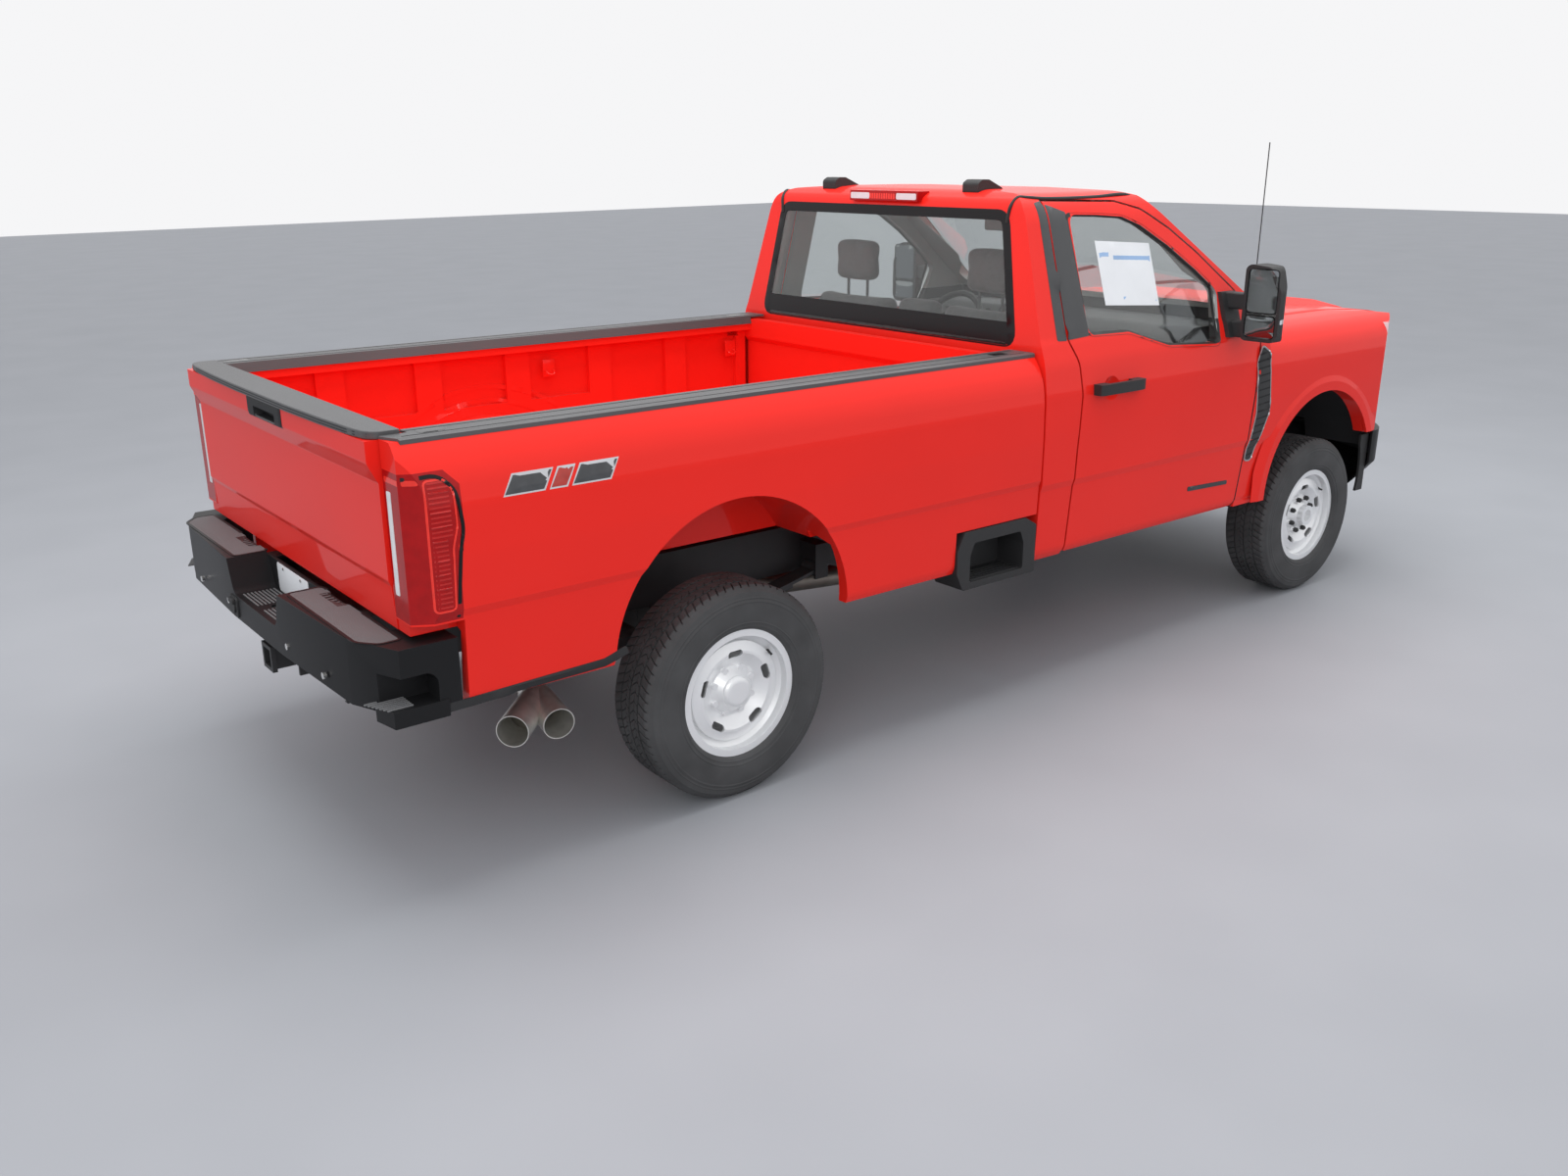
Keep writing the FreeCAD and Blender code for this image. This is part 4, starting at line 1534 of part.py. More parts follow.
def cab():
    cavity = cab_cavity(CAB_WALL).cut(tunnel(TUNNEL_SKIN))
    shell = cab_outer().cut(cavity).cut(tunnel(0))
    # The underside is raised between the rockers
    shell = shell.cut(box(CAB_REAR_X - CUT_OVERRUN, CAB_FRONT_X + CUT_OVERRUN, -ROCKER_INNER_Y,
                          ROCKER_INNER_Y,
                          CAB_BOTTOM_Z - CUT_OVERRUN, CAB_UNDERSIDE_Z))
    opening = door_opening()
    shell = shell.cut([opening, mirrored(opening)])
    back = plate(backlight_outline(), "yz", CAB_REAR_X - CUT_OVERRUN,
                 CAB_REAR_X + CAB_REAR_WALL + CUT_OVERRUN, CUT_OVERRUN)
    front = plate(windscreen_outline(), "yz", (CAB_REAR_X + CAB_FRONT_X) / 2,
                  CAB_FRONT_X + 2 * WINDSCREEN_BULGE, CUT_OVERRUN)
    straps = hinge_straps()
    shell = shell.cut([back, front])
    return joined([shell] + straps.Solids + mirrored(straps).Solids + hood_brackets())


def backlight():
    wire = grown(backlight_outline(), "yz", -SEAT_GAP, CUT_OVERRUN)
    wire.translate(FORWARD * (CAB_REAR_X - CUT_OVERRUN))
    prism = Part.Face(wire).extrude(FORWARD * (CAB_REAR_WALL + 2 * CUT_OVERRUN))
    outer = cab_outer()
    behind = outer.copy()
    behind.translate(FORWARD * GLASS_THICK)
    return prism.common(outer).cut(behind).common(box(CAB_REAR_X, CAB_REAR_X + CAB_REAR_WALL,
                                                      -BODY_HALF_WIDTH, BODY_HALF_WIDTH,
                                                      COWL_Z - CAB_WALL, CAB_TOP_Z))


def windscreen():
    wire = grown(windscreen_outline(), "yz", -SEAT_GAP, CUT_OVERRUN)
    wire.translate(FORWARD * (CAB_REAR_X + CAB_FRONT_X) / 2)
    prism = Part.Face(wire).extrude(FORWARD * (CAB_FRONT_X - CAB_REAR_X) / 1.5)
    return windscreen_wedge(0).cut(windscreen_wedge(-WINDSCREEN_THICK_X)).common(prism)


def door():
    # Left door: a slice of the cab's side, hollow only at its window
    blank = cab_outer().common(door_prism(0)).cut(cab_cavity(DOOR_THICK))
    blank = blank.common(box(DOOR_REAR_X - CAB_WALL, DOOR_FRONT_X + CAB_WALL,
                             DOOR_INBOARD_SHARE * BODY_HALF_WIDTH,
                             BODY_HALF_WIDTH + CUT_OVERRUN, 0, CAB_TOP_Z))
    floor_cut = box(DOOR_REAR_X - CAB_WALL, DOOR_FRONT_X + CAB_WALL, 0, BODY_HALF_WIDTH - DOOR_THICK, 0,
                    CAB_FLOOR_Z + CUT_OVERRUN)
    blank = blank.cut(floor_cut).cut(window_prism(0))
    cup = Part.makeSphere(HANDLE_CUP_RADIUS,
                          V(HANDLE_REAR_X + HANDLE_LENGTH * 0.4,
                            BODY_HALF_WIDTH + HANDLE_CUP_RADIUS - HANDLE_CUP_DEPTH,
                                               HANDLE_Z))
    return blank.cut([cup] + hinge_pockets())


def door_glass():
    # The pane stands in the window opening, a little in from the outer skin
    outer = cab_outer()
    outer.translate(V(0, -GLASS_INSET, 0))
    inner = outer.copy()
    inner.translate(V(0, -GLASS_THICK, 0))
    return window_prism(-SEAT_GAP).common(outer).cut(inner)


def door_handle():
    # Pull handle: a bar on two feet over the cup in the door's skin
    y = BODY_HALF_WIDTH
    x0, x1 = HANDLE_REAR_X, HANDLE_REAR_X + HANDLE_LENGTH
    half = HANDLE_BAR_HEIGHT / 2
    plan = [(x0, y - PANEL_GAP), (x0, y + HANDLE_PROUD * 0.8),
            (x0 + 0.1 * HANDLE_LENGTH, y + HANDLE_PROUD), (x1 - 0.1 * HANDLE_LENGTH, y + HANDLE_PROUD),
            (x1, y + HANDLE_PROUD * 0.8), (x1, y - PANEL_GAP), (x1 - 0.22 * HANDLE_LENGTH, y - PANEL_GAP),
            (x1 - 0.24 * HANDLE_LENGTH, y + 0.5 * HANDLE_PROUD),
            (x0 + 0.24 * HANDLE_LENGTH, y + 0.5 * HANDLE_PROUD), (x0 + 0.22 * HANDLE_LENGTH, y - PANEL_GAP)]
    bar = plate(plan, "xy", HANDLE_Z - half, HANDLE_Z + half)
    return bar.cut(cab_outer())


def mirror_outline():
    # Rear view of the housing, with its big rounded corner up and out
    w = MIRROR_WIDTH
    h = MIRROR_HEIGHT
    shares = [(0.00, 0.04), (0.10, 0.00), (0.90, 0.00), (1.00, 0.10), (1.00, 0.66), (0.72, 0.97),
              (0.12, 1.00), (0.00, 0.95)]
    return spread(shares, MIRROR_INNER_Y, w, MIRROR_LOW_Z, h)


def mirror_head():
    # Tall towing mirror: rounded housing, open at the rear for its pane, on two flat arms from a foot
    y0 = MIRROR_INNER_Y
    y1 = y0 + MIRROR_WIDTH
    x0 = MIRROR_X - MIRROR_DEPTH / 4
    x1 = MIRROR_X + MIRROR_DEPTH * 0.7
    z1 = MIRROR_LOW_Z + MIRROR_HEIGHT
    head = plate(mirror_outline(), "yz", x0, x1, MIRROR_ROUND)
    depth = x1 - x0
    plan = [(x0, y0), (x0, y1), (x0 + 0.45 * depth, y1), (x1, y1 - 0.45 * MIRROR_WIDTH),
            (x1, y0 + 0.15 * MIRROR_WIDTH),
            (x0 + 0.6 * depth, y0)]
    head = head.common(plate(plan, "xy", MIRROR_LOW_Z, z1, 2 * MIRROR_ROUND, (0, 1)))
    wire = grown(mirror_outline(), "yz", -MIRROR_PANE_BORDER, MIRROR_ROUND)
    wire.translate(FORWARD * (x0 - CUT_OVERRUN))
    head = head.cut(Part.Face(wire).extrude(FORWARD * (CUT_OVERRUN + 2 * MIRROR_PANE_THICK)))
    arms = []
    for z in (MIRROR_ARM_LOW_Z, MIRROR_ARM_HIGH_Z):
        arms.append(soft_box(MIRROR_X - MIRROR_ARM_RADIUS, MIRROR_X + 2 * MIRROR_ARM_RADIUS,
                             BODY_HALF_WIDTH * 0.9, y0 + MIRROR_ROUND,
                             z - MIRROR_ARM_HALF, z + MIRROR_ARM_HALF, MIRROR_ARM_RADIUS / 2))
    foot = box(WINDOW_FRONT_X + PANEL_GAP, MIRROR_X + 3 * MIRROR_ARM_RADIUS, BODY_HALF_WIDTH * 0.82,
               MIRROR_INNER_Y - MIRROR_ARM_RADIUS,
               MIRROR_ARM_LOW_Z - MIRROR_ARM_HALF, MIRROR_ARM_HIGH_Z + MIRROR_ARM_HALF)
    shell = cab_outer()
    shell.translate(V(0, MIRROR_FOOT_THICK, 0))
    foot = foot.common(shell)
    whole = joined([head, foot] + arms)
    return whole.cut(cab_outer())


def mirror_pane():
    face = MIRROR_X - MIRROR_DEPTH / 4
    wire = grown(mirror_outline(), "yz", -MIRROR_PANE_BORDER - SEAT_GAP, MIRROR_ROUND)
    back = face + 2 * MIRROR_PANE_THICK - SEAT_GAP
    wire.translate(FORWARD * (back - MIRROR_PANE_THICK))
    return Part.Face(wire).extrude(FORWARD * MIRROR_PANE_THICK)


def roof_lamp():
    half = ROOF_LAMP_WIDTH / 2
    z = BACKLIGHT_TOP_Z + ROOF_LAMP_DEPTH
    block = box(CAB_REAR_X + ROOF_LAMP_DEPTH, CAB_REAR_X + 4 * ROOF_LAMP_DEPTH, -half, half, z,
                z + ROOF_LAMP_HEIGHT)
    return block.cut(cab_outer())


def roof_hump():
    # Teardrop marker housing on the roof, tall at its rear end
    x0 = ROOF_HUMP_X
    x1 = x0 + ROOF_HUMP_LENGTH
    z = CAB_TOP_Z - ROOF_HUMP_HEIGHT
    top = CAB_TOP_Z + ROOF_HUMP_HEIGHT * 0.8
    body = plate([(x0, z), (x0, top - ROOF_HUMP_HEIGHT * 0.4), (x0 + 0.12 * ROOF_HUMP_LENGTH, top),
                  (x0 + 0.3 * ROOF_HUMP_LENGTH, top), (x1, z)],
                 "xz", ROOF_HUMP_Y - ROOF_HUMP_WIDTH / 2, ROOF_HUMP_Y + ROOF_HUMP_WIDTH / 2,
                 ROOF_HUMP_HEIGHT / 2)
    return body.cut(cab_outer())


# Front end

def nose_plan(offset):
    # Plan wire of everything behind the nose's sweep
    points = [(NOSE_X + offset - share[1] * NOSE_SWEEP,
               share[0] * BODY_HALF_WIDTH) for share in NOSE_PLAN_SHARES]
    side = [(x, -y) for x, y in reversed(points[1:])]
    return side + points + [(0, points[-1][1]), (0, -points[-1][1])]


def nose_solid(offset, low, high):
    points = nose_plan(offset)
    return plate(points, "xy", low, high, NOSE_SWEEP, (0, 8, 9, 10))


def flare(x, z, radius, low):
    # Raised band round a left wheel arch: a flat lip and a cone that dies into the skin
    start = BODY_HALF_WIDTH - PANEL_GAP
    cone = Part.makeCone(radius + FLARE_WIDTH, radius + FLARE_LIP_WIDTH, FLARE_Y - start, V(x, start, z),
                         LEFTWARD)
    ring = cone.cut(rod(V(x, 0, z), V(x, FLARE_Y + CUT_OVERRUN, z), radius))
    return ring.common(box(x - 2 * radius, x + 2 * radius, 0, FLARE_Y + CUT_OVERRUN, low, z + 2 * radius))


def fender_flare(body):
    # The front arch's band, no longer than the fender itself
    hull = body.BoundBox
    band = flare(FRONT_ARCH_CENTRE_X, FRONT_ARCH_CENTRE_Z, FRONT_ARCH_RADIUS, FRONT_ARCH_CENTRE_Z)
    seam = DOOR_FRONT_X + CUT_OVERRUN
    ahead = box(FRONT_ARCH_CENTRE_X, FENDER_FRONT_X, 0, NOSE_X, FENDER_FRONT_LOW_Z, FENDER_TOP_Z)
    behind = box(seam, FRONT_ARCH_CENTRE_X, 0, NOSE_X, hull.ZMin, FENDER_TOP_Z)
    return band.common(joined([ahead, behind]))


def fender_blank():
    height = FENDER_TOP_Z - FENDER_BOTTOM_Z
    outer = spread(FENDER_SECTION_SHARES, 0, BODY_HALF_WIDTH, FENDER_BOTTOM_Z, height)
    thick = FENDER_THICK
    inner = [(FENDER_INNER_Y, FENDER_TOP_Z - thick), (0.9 * BODY_HALF_WIDTH, FENDER_TOP_Z - 1.6 * thick),
             (0.945 * BODY_HALF_WIDTH, FENDER_SHOULDER_Z - thick), (outer[0][0] - thick, FENDER_BOTTOM_Z)]
    return plate(outer + inner, "yz", DOOR_REAR_X, HOOD_FRONT_X, TYRE_WIDTH, (0, 1, 2, 8, 9, 12))


def fender():
    # Left front fender, from the door's front seam to the headlamp
    body = fender_blank()
    body = body.cut(arch_cutter(FRONT_ARCH_CENTRE_X, FRONT_ARCH_CENTRE_Z, FRONT_ARCH_RADIUS, 0, 0,
                                BODY_HALF_WIDTH + CUT_OVERRUN))
    length = DOOR_FRONT_X - DOOR_REAR_X
    height = DOOR_TOP_Z - DOOR_BOTTOM_Z
    seam = [(DOOR_REAR_X + share[0] * length + SHUT_GAP,
             DOOR_BOTTOM_Z + share[1] * height) for share in DOOR_SHARES[8:14]]
    seam = [(seam[0][0], 0)] + seam[1:] + [(seam[-1][0] + CUT_OVERRUN, HOOD_TOP_Z + CUT_OVERRUN),
                                           (0, HOOD_TOP_Z + CUT_OVERRUN), (0, 0)]
    behind = plate(seam, "xz", 0, BODY_HALF_WIDTH + CUT_OVERRUN)
    body = body.cut(behind)
    body = body.cut(cab_outer())
    body = body.cut(box(FENDER_FRONT_X, HOOD_FRONT_X + CUT_OVERRUN, 0, BODY_HALF_WIDTH + CUT_OVERRUN, 0,
                        HEADLAMP_TOP_Z + SEAT_GAP))
    body = body.cut(box(RADIATOR_X + RADIATOR_THICK, HOOD_FRONT_X + CUT_OVERRUN, 0,
                        BODY_HALF_WIDTH + CUT_OVERRUN, 0, HOOD_TOP_Z))
    body = body.cut(box(FRONT_ARCH_CENTRE_X, HOOD_FRONT_X, 0, BODY_HALF_WIDTH + CUT_OVERRUN, 0,
                        FENDER_FRONT_LOW_Z))
    top = hood_side(FENDER_TOP_SHARES, 0)
    strip = top.copy()
    strip.translate(V(0, HOOD_HALF_WIDTH, 0))
    return body.common(strip).fuse(fender_flare(body)).common(nose_solid(0, 0, HOOD_TOP_Z + CUT_OVERRUN))


def liner(wing):
    # Black wheelhouse liner: an arched shell over the front wheel and a wall on its inner side
    x, z = WHEELBASE, FRONT_ARCH_CENTRE_Z
    y1 = 0.968 * BODY_HALF_WIDTH
    ring = arch_cutter(x, z, LINER_RADIUS, z - CAB_WALL, LINER_INNER_Y, y1)
    void = arch_cutter(x, z, LINER_RADIUS - LINER_SKIN, 0, LINER_INNER_Y + LINER_SKIN, y1 + CUT_OVERRUN)
    shell = ring.cut(void)
    # The inner wall stays above the axle, the rail and the spring's tower
    sink = WHEELBASE * math.sin(math.radians(RAKE_DEGREES))
    low = coil_base() + COIL_HEIGHT + sink + 3 * HITCH_PLATE_THICK
    shell = shell.cut(box(0, HOOD_FRONT_X, 0, COIL_Y + COIL_RADIUS + PANEL_GAP, 0, low))
    shell = shell.common(box(CAB_FRONT_X + SEAT_GAP, HOOD_FRONT_X, 0, y1, 0, FENDER_TOP_Z))
    shell = shell.common(fender_inside())
    # Flat panel ahead of the wheel, under the fender's front end
    edge = FRONT_ARCH_CENTRE_X + 0.955 * FRONT_ARCH_RADIUS
    panel = box(edge, x + LINER_RADIUS - LINER_SKIN / 2, y1 - 2 * LINER_SKIN, y1, z - CAB_WALL,
                FRONT_BUMPER_TOP_Z - FRONT_BUMPER_SKIN - PANEL_GAP)
    panel = panel.cut(rod(V(FRONT_ARCH_CENTRE_X, 0, z), V(FRONT_ARCH_CENTRE_X, y1 + CUT_OVERRUN, z),
                          FRONT_ARCH_RADIUS + SEAT_GAP))
    shell = joined([shell, panel])
    bumper_end = box(FRONT_BUMPER_END_X - SEAT_GAP, NOSE_X, 0, NOSE_X, 0, FRONT_BUMPER_TOP_Z + SEAT_GAP)
    return shell.cut([wing, front_support(), bumper_end])


def fender_inside():
    # The space inboard of the fenders' outer skins
    height = FENDER_TOP_Z - FENDER_BOTTOM_Z
    outer = spread(FENDER_SECTION_SHARES, 0, BODY_HALF_WIDTH - FENDER_THICK / 2, 0,
                   height + FENDER_BOTTOM_Z)
    return plate([(0, 0)] + outer + [(0, FENDER_TOP_Z)], "yz", 0, HOOD_FRONT_X)


def hood_side(shares, lower):
    # Side profile of one layer of the hood, from shares of its length and of its height over the grille
    length = HOOD_FRONT_X - HOOD_REAR_X
    rise = HOOD_TOP_Z - GRILLE_TOP_Z
    line = [(HOOD_FRONT_X - lower - share[0] * length,
             GRILLE_TOP_Z - lower + share[1] * rise) for share in shares]
    points = [(HOOD_REAR_X, 0), (line[0][0], 0)] + line
    return plate(points, "xz", -HOOD_HALF_WIDTH, HOOD_HALF_WIDTH, 5 * CUT_OVERRUN,
                 (0, 1, 2, len(points) - 1))


def hood_blank(lower):
    # Flat flanks that fall towards the nose, and a raised middle with sloping sides
    edge = HOOD_EDGE_Z - lower
    top = HOOD_TOP_Z - lower
    half = HOOD_HALF_WIDTH
    flat_section = [(-half, 0), (half, 0), (half, edge - PANEL_GAP), (0.86 * half, edge),
                    (-0.86 * half, edge),
                    (-half, edge - PANEL_GAP)]
    flanks = plate(flat_section, "yz", CAB_FRONT_X, NOSE_X, CUT_OVERRUN, (0, 1))
    flanks = flanks.common(hood_side(HOOD_FLANK_SHARES, lower))
    slope = [(0.84, -1.60), (0.58, 0.86), (0.0, 1.0)]
    rise = top - edge
    right = [(share * half, edge + up * rise) for share, up in slope]
    dome_section = [(-right[0][0], 0), (right[0][0], 0)] + right + [(-y, z) for y,
                                                                    z in reversed(right[:-1])]
    dome = plate(dome_section, "yz", CAB_FRONT_X, NOSE_X, 3 * CUT_OVERRUN, (0, 1))
    dome = dome.common(hood_side(HOOD_DOME_SHARES, lower))
    return joined([flanks, dome]).common(nose_solid(-PANEL_GAP - lower, 0, HOOD_TOP_Z + CUT_OVERRUN))


def rear_sweep(gap, low, high):
    # Everything behind the hood's bowed rear edge, which runs parallel to the windscreen's foot
    x = HOOD_REAR_X - gap
    half = BODY_HALF_WIDTH
    bow = Part.Arc(V(x, -half, low), V(x + HOOD_REAR_BULGE, 0, low), V(x, half, low)).toShape()
    lines = [V(x, half, low), V(CAB_REAR_X, half, low), V(CAB_REAR_X, -half, low), V(x, -half, low)]
    edges = [bow] + [Part.LineSegment(a, b).toShape() for a, b in zip(lines, lines[1:])]
    return Part.Face(Part.Wire(edges)).extrude(UP * (high - low))


def hood_brackets():
    # Fixed halves of the hood hinges: goosenecks that rise from the cab's front wall to a pin
    x, z = HOOD_HINGE_X, HOOD_HINGE_Z
    half = HINGE_STRAP_WIDTH / 2
    low = z - 3 * HINGE_STRAP_WIDTH
    pieces = []
    for y in (-HOOD_HINGE_Y, HOOD_HINGE_Y):
        pieces.append(rod(V(x, y - HINGE_PIN_HALF, z), V(x, y + HINGE_PIN_HALF, z), HINGE_PIN_RADIUS))
        pieces.append(box(x - half, x + half, y - HINGE_STRAP_HALF, y + HINGE_STRAP_HALF, low, z))
        pieces.append(box(CAB_FRONT_X - half, x + half, y - HINGE_STRAP_HALF, y + HINGE_STRAP_HALF, low,
                          low + HINGE_STRAP_WIDTH))
    return pieces


def hood():
    rim = HOOD_HALF_WIDTH - HOOD_THICK
    hollow = hood_blank(HOOD_THICK).common(box(0, NOSE_X, -rim, rim, 0, HOOD_TOP_Z))
    body = hood_blank(0).cut(hollow)
    keep = box(CAB_REAR_X, NOSE_X, -HOOD_HALF_WIDTH, HOOD_HALF_WIDTH, GRILLE_TOP_Z + PANEL_GAP,
               HOOD_TOP_Z + CUT_OVERRUN)
    side_trim = box(CAB_REAR_X, HOOD_FRONT_X - 3 * CUT_OVERRUN, -NOSE_X, NOSE_X, 0,
                    HOOD_EDGE_Z - 2 * HOOD_THICK)
    body = body.common(keep).cut(side_trim).cut(rear_sweep(0, 0, HOOD_TOP_Z + CUT_OVERRUN))
    x, z = HOOD_HINGE_X, HOOD_HINGE_Z
    cuts = []
    lobes = []
    knuckle_size = HOOD_KNUCKLE
    for y in (-HOOD_HINGE_Y, HOOD_HINGE_Y):
        y0, y1 = y - HINGE_PIN_HALF, y + HINGE_PIN_HALF
        low = z - 2 * HOOD_ARM_THICK
        lobes.append(box(x - knuckle_size, x + knuckle_size, y0, y1, low, z + knuckle_size))
        lobes.append(box(x - knuckle_size, x + HOOD_ARM_LENGTH, y0, y1, low, low + HOOD_ARM_THICK))
        cuts.append(box(CAB_REAR_X, x + HINGE_STRAP_WIDTH + HINGE_SLACK, y - HINGE_STRAP_HALF - HINGE_SLACK,
                        y + HINGE_STRAP_HALF + HINGE_SLACK, 0, z + 2 * knuckle_size))
        cuts.append(rod(V(x, y - HINGE_PIN_HALF - HINGE_SLACK, z),
                        V(x, y + HINGE_PIN_HALF + HINGE_SLACK, z),
                        HINGE_PIN_RADIUS + RUNNING_CLEARANCE))
    return joined([body] + lobes).cut(cuts)


def cowl():
    # Black louvre panel between the windscreen's foot and the hood
    top = COWL_Z - PANEL_GAP
    body = rear_sweep(2 * PANEL_GAP, top - COWL_PANEL_DEPTH, top)
    body = body.cut(box(0, CAB_FRONT_X + SEAT_GAP, -NOSE_X, NOSE_X, 0, HOOD_TOP_Z + CUT_OVERRUN))
    rim = HOOD_HALF_WIDTH - HINGE_SKIN
    body = body.common(box(0, NOSE_X, -rim, rim, 0, HOOD_TOP_Z))
    slots = []
    for bracket in hood_brackets():
        hull = bracket.BoundBox
        slots.append(box(0, HOOD_REAR_X + HOOD_REAR_BULGE, hull.YMin - PANEL_GAP, hull.YMax + PANEL_GAP, 0,
                         HOOD_TOP_Z))
    return body.cut(slots)


def grille():
    # Bars and frame between the headlamps, following the nose's sweep
    zone = nose_solid(-PANEL_GAP, GRILLE_LOW_Z,
                      GRILLE_TOP_Z).cut(nose_solid(-PANEL_GAP - GRILLE_DEPTH, 0, HOOD_TOP_Z))
    zone = zone.common(box(0, NOSE_X, -GRILLE_HALF_WIDTH, GRILLE_HALF_WIDTH, GRILLE_LOW_Z, GRILLE_TOP_Z))
    border = GRILLE_BAR_HEIGHT / 2
    span = (GRILLE_TOP_Z - GRILLE_LOW_Z - 2 * border)
    gap = (span - (GRILLE_BAR_COUNT - 1) * GRILLE_BAR_HEIGHT) / GRILLE_BAR_COUNT
    holes = []
    for index in range(GRILLE_BAR_COUNT):
        z = GRILLE_LOW_Z + border + index * (gap + GRILLE_BAR_HEIGHT)
        for side in (-1, 1):
            y0, y1 = sorted((side * border, side * (GRILLE_HALF_WIDTH - border)))
            holes.append(box(0, NOSE_X + CUT_OVERRUN, y0, y1, z, z + gap))
    return zone.cut(holes)


def headlamp():
    zone = nose_solid(0, HEADLAMP_LOW_Z, HEADLAMP_TOP_Z)
    body = zone.common(box(FENDER_FRONT_X + SEAT_GAP, NOSE_X, GRILLE_HALF_WIDTH + SEAT_GAP,
                           BODY_HALF_WIDTH + CUT_OVERRUN, 0, HOOD_TOP_Z))
    hollow = nose_solid(-CAB_WALL, 0,
                        HOOD_TOP_Z).common(box(0, NOSE_X, 0, 0.9 * BODY_HALF_WIDTH, 0, HOOD_TOP_Z))
    under_hood = box(0, NOSE_X, 0, HOOD_HALF_WIDTH + SHUT_GAP, GRILLE_TOP_Z - SEAT_GAP, HOOD_TOP_Z)
    return body.cut([hollow, under_hood])


def front_support():
    # Radiator on the rails' front ends, with its cross bars between the headlamps
    x0, x1 = RADIATOR_X, RADIATOR_X + RADIATOR_THICK
    core = box(x0, x1, -RADIATOR_HALF_WIDTH, RADIATOR_HALF_WIDTH, RAIL_FRONT_LOW_Z + RAIL_DEPTH + SEAT_GAP,
               RADIATOR_TOP_Z)
    low = FRONT_BUMPER_TOP_Z + SEAT_GAP
    bar_low = box(x0, x1, -GRILLE_HALF_WIDTH, GRILLE_HALF_WIDTH, low, low + RADIATOR_THICK)
    bar_top = box(x0, x1, -GRILLE_HALF_WIDTH, GRILLE_HALF_WIDTH, RADIATOR_TOP_Z - CUT_OVERRUN,
                  RADIATOR_TOP_Z)
    return joined([core, bar_low, bar_top])


def front_bumper():
    skin = FRONT_BUMPER_SKIN
    skirt, crease = bumper_skirt(0)
    skirt_void = bumper_skirt(-skin)[0]
    shell = bumper_layer(0, crease, FRONT_BUMPER_TOP_Z).cut(bumper_layer(-skin, crease,
                                                                         FRONT_BUMPER_TOP_Z - skin))
    shell = joined([shell, skirt.cut(skirt_void)])
    shell = shell.cut(box(0, FRONT_BUMPER_END_X, -NOSE_X, NOSE_X, 0, HOOD_TOP_Z))
    back = box(0, RAIL_FRONT_X + SEAT_GAP, -RAIL_OUTER_Y - PANEL_GAP, RAIL_OUTER_Y + PANEL_GAP,
               RAIL_FRONT_LOW_Z - PANEL_GAP, HOOD_TOP_Z)
    arm = box(RAIL_FRONT_X + SEAT_GAP, WHEELBASE + FRONT_OVERHANG, RAIL_OUTER_Y - RAIL_FLANGE, RAIL_OUTER_Y,
              max(RAIL_FRONT_LOW_Z, crease), RAIL_FRONT_LOW_Z + RAIL_DEPTH * 0.9)
    arm = arm.common(bumper_layer(-skin / 2, 0, HOOD_TOP_Z))
    return joined([shell.cut(back), arm, mirrored(arm)])


def nose_plan_bumper(offset):
    tip = WHEELBASE + FRONT_OVERHANG + offset
    half = FRONT_BUMPER_HALF_WIDTH + offset
    right = [(tip - share[1] * NOSE_SWEEP, share[0] * half) for share in BUMPER_NOSE_SHARES]
    left = [(x, -y) for x, y in reversed(right)]
    return left + right + [(0, half), (0, -half)]


def bumper_layer(offset, low, high):
    count = 2 * len(BUMPER_NOSE_SHARES)
    return plate(nose_plan_bumper(offset), "xy", low, high, NOSE_SWEEP / 2, (count - 1, count, count + 1))


def bumper_skirt(offset):
    # The bumper below its crease leans in towards its foot
    crease = FRONT_BUMPER_LOW_Z + 0.45 * (FRONT_BUMPER_TOP_Z - FRONT_BUMPER_LOW_Z)
    wires = []
    for shift, z in ((0, crease), (-FRONT_BUMPER_TUCK, FRONT_BUMPER_LOW_Z)):
        count = 2 * len(BUMPER_NOSE_SHARES)
        wire = outline(nose_plan_bumper(offset + shift), "xy", 0, (count - 1, count, count + 1))
        wire.translate(UP * z)
        wires.append(wire)
    return Part.makeLoft(wires, True, True), crease


def air_dam():
    # Black valance below the bumper and a bracket ahead of each front wheel
    x = WHEELBASE + FRONT_OVERHANG - 3 * NOSE_SWEEP / 4
    half = 0.72 * BODY_HALF_WIDTH
    return box(x, x + FENDER_THICK, -half, half, AIR_DAM_LOW_Z, RAIL_FRONT_LOW_Z - SEAT_GAP)


def antenna():
    base_z = FENDER_TOP_Z - ANTENNA_BASE_RADIUS - PANEL_GAP
    base = Part.makeCone(ANTENNA_BASE_RADIUS, 2 * ANTENNA_RADIUS, 2 * ANTENNA_BASE_RADIUS,
                         V(ANTENNA_X, -ANTENNA_Y, base_z))
    mast = rod(V(ANTENNA_X, -ANTENNA_Y, base_z), V(ANTENNA_X, -ANTENNA_Y, ANTENNA_TOP_Z), ANTENNA_RADIUS)
    return joined([base, mast]).cut([mirrored(fender_blank()), cab_outer()])


# Engine, gearbox, tank, exhaust

def engine():
    # One plain block: wide heads over a narrow crankcase
    half, low = ENGINE_HALF_WIDTH, ENGINE_LOW_HALF_WIDTH
    rise = ENGINE_TOP_Z - ENGINE_LOW_Z
    section = [(-low, ENGINE_LOW_Z), (low, ENGINE_LOW_Z), (low, ENGINE_LOW_Z + 0.35 * rise),
               (half, ENGINE_LOW_Z + 0.6 * rise), (half, ENGINE_TOP_Z), (-half, ENGINE_TOP_Z),
               (-half, ENGINE_LOW_Z + 0.6 * rise), (-low, ENGINE_LOW_Z + 0.35 * rise)]
    return plate(section, "yz", ENGINE_REAR_X, ENGINE_REAR_X + ENGINE_LENGTH)


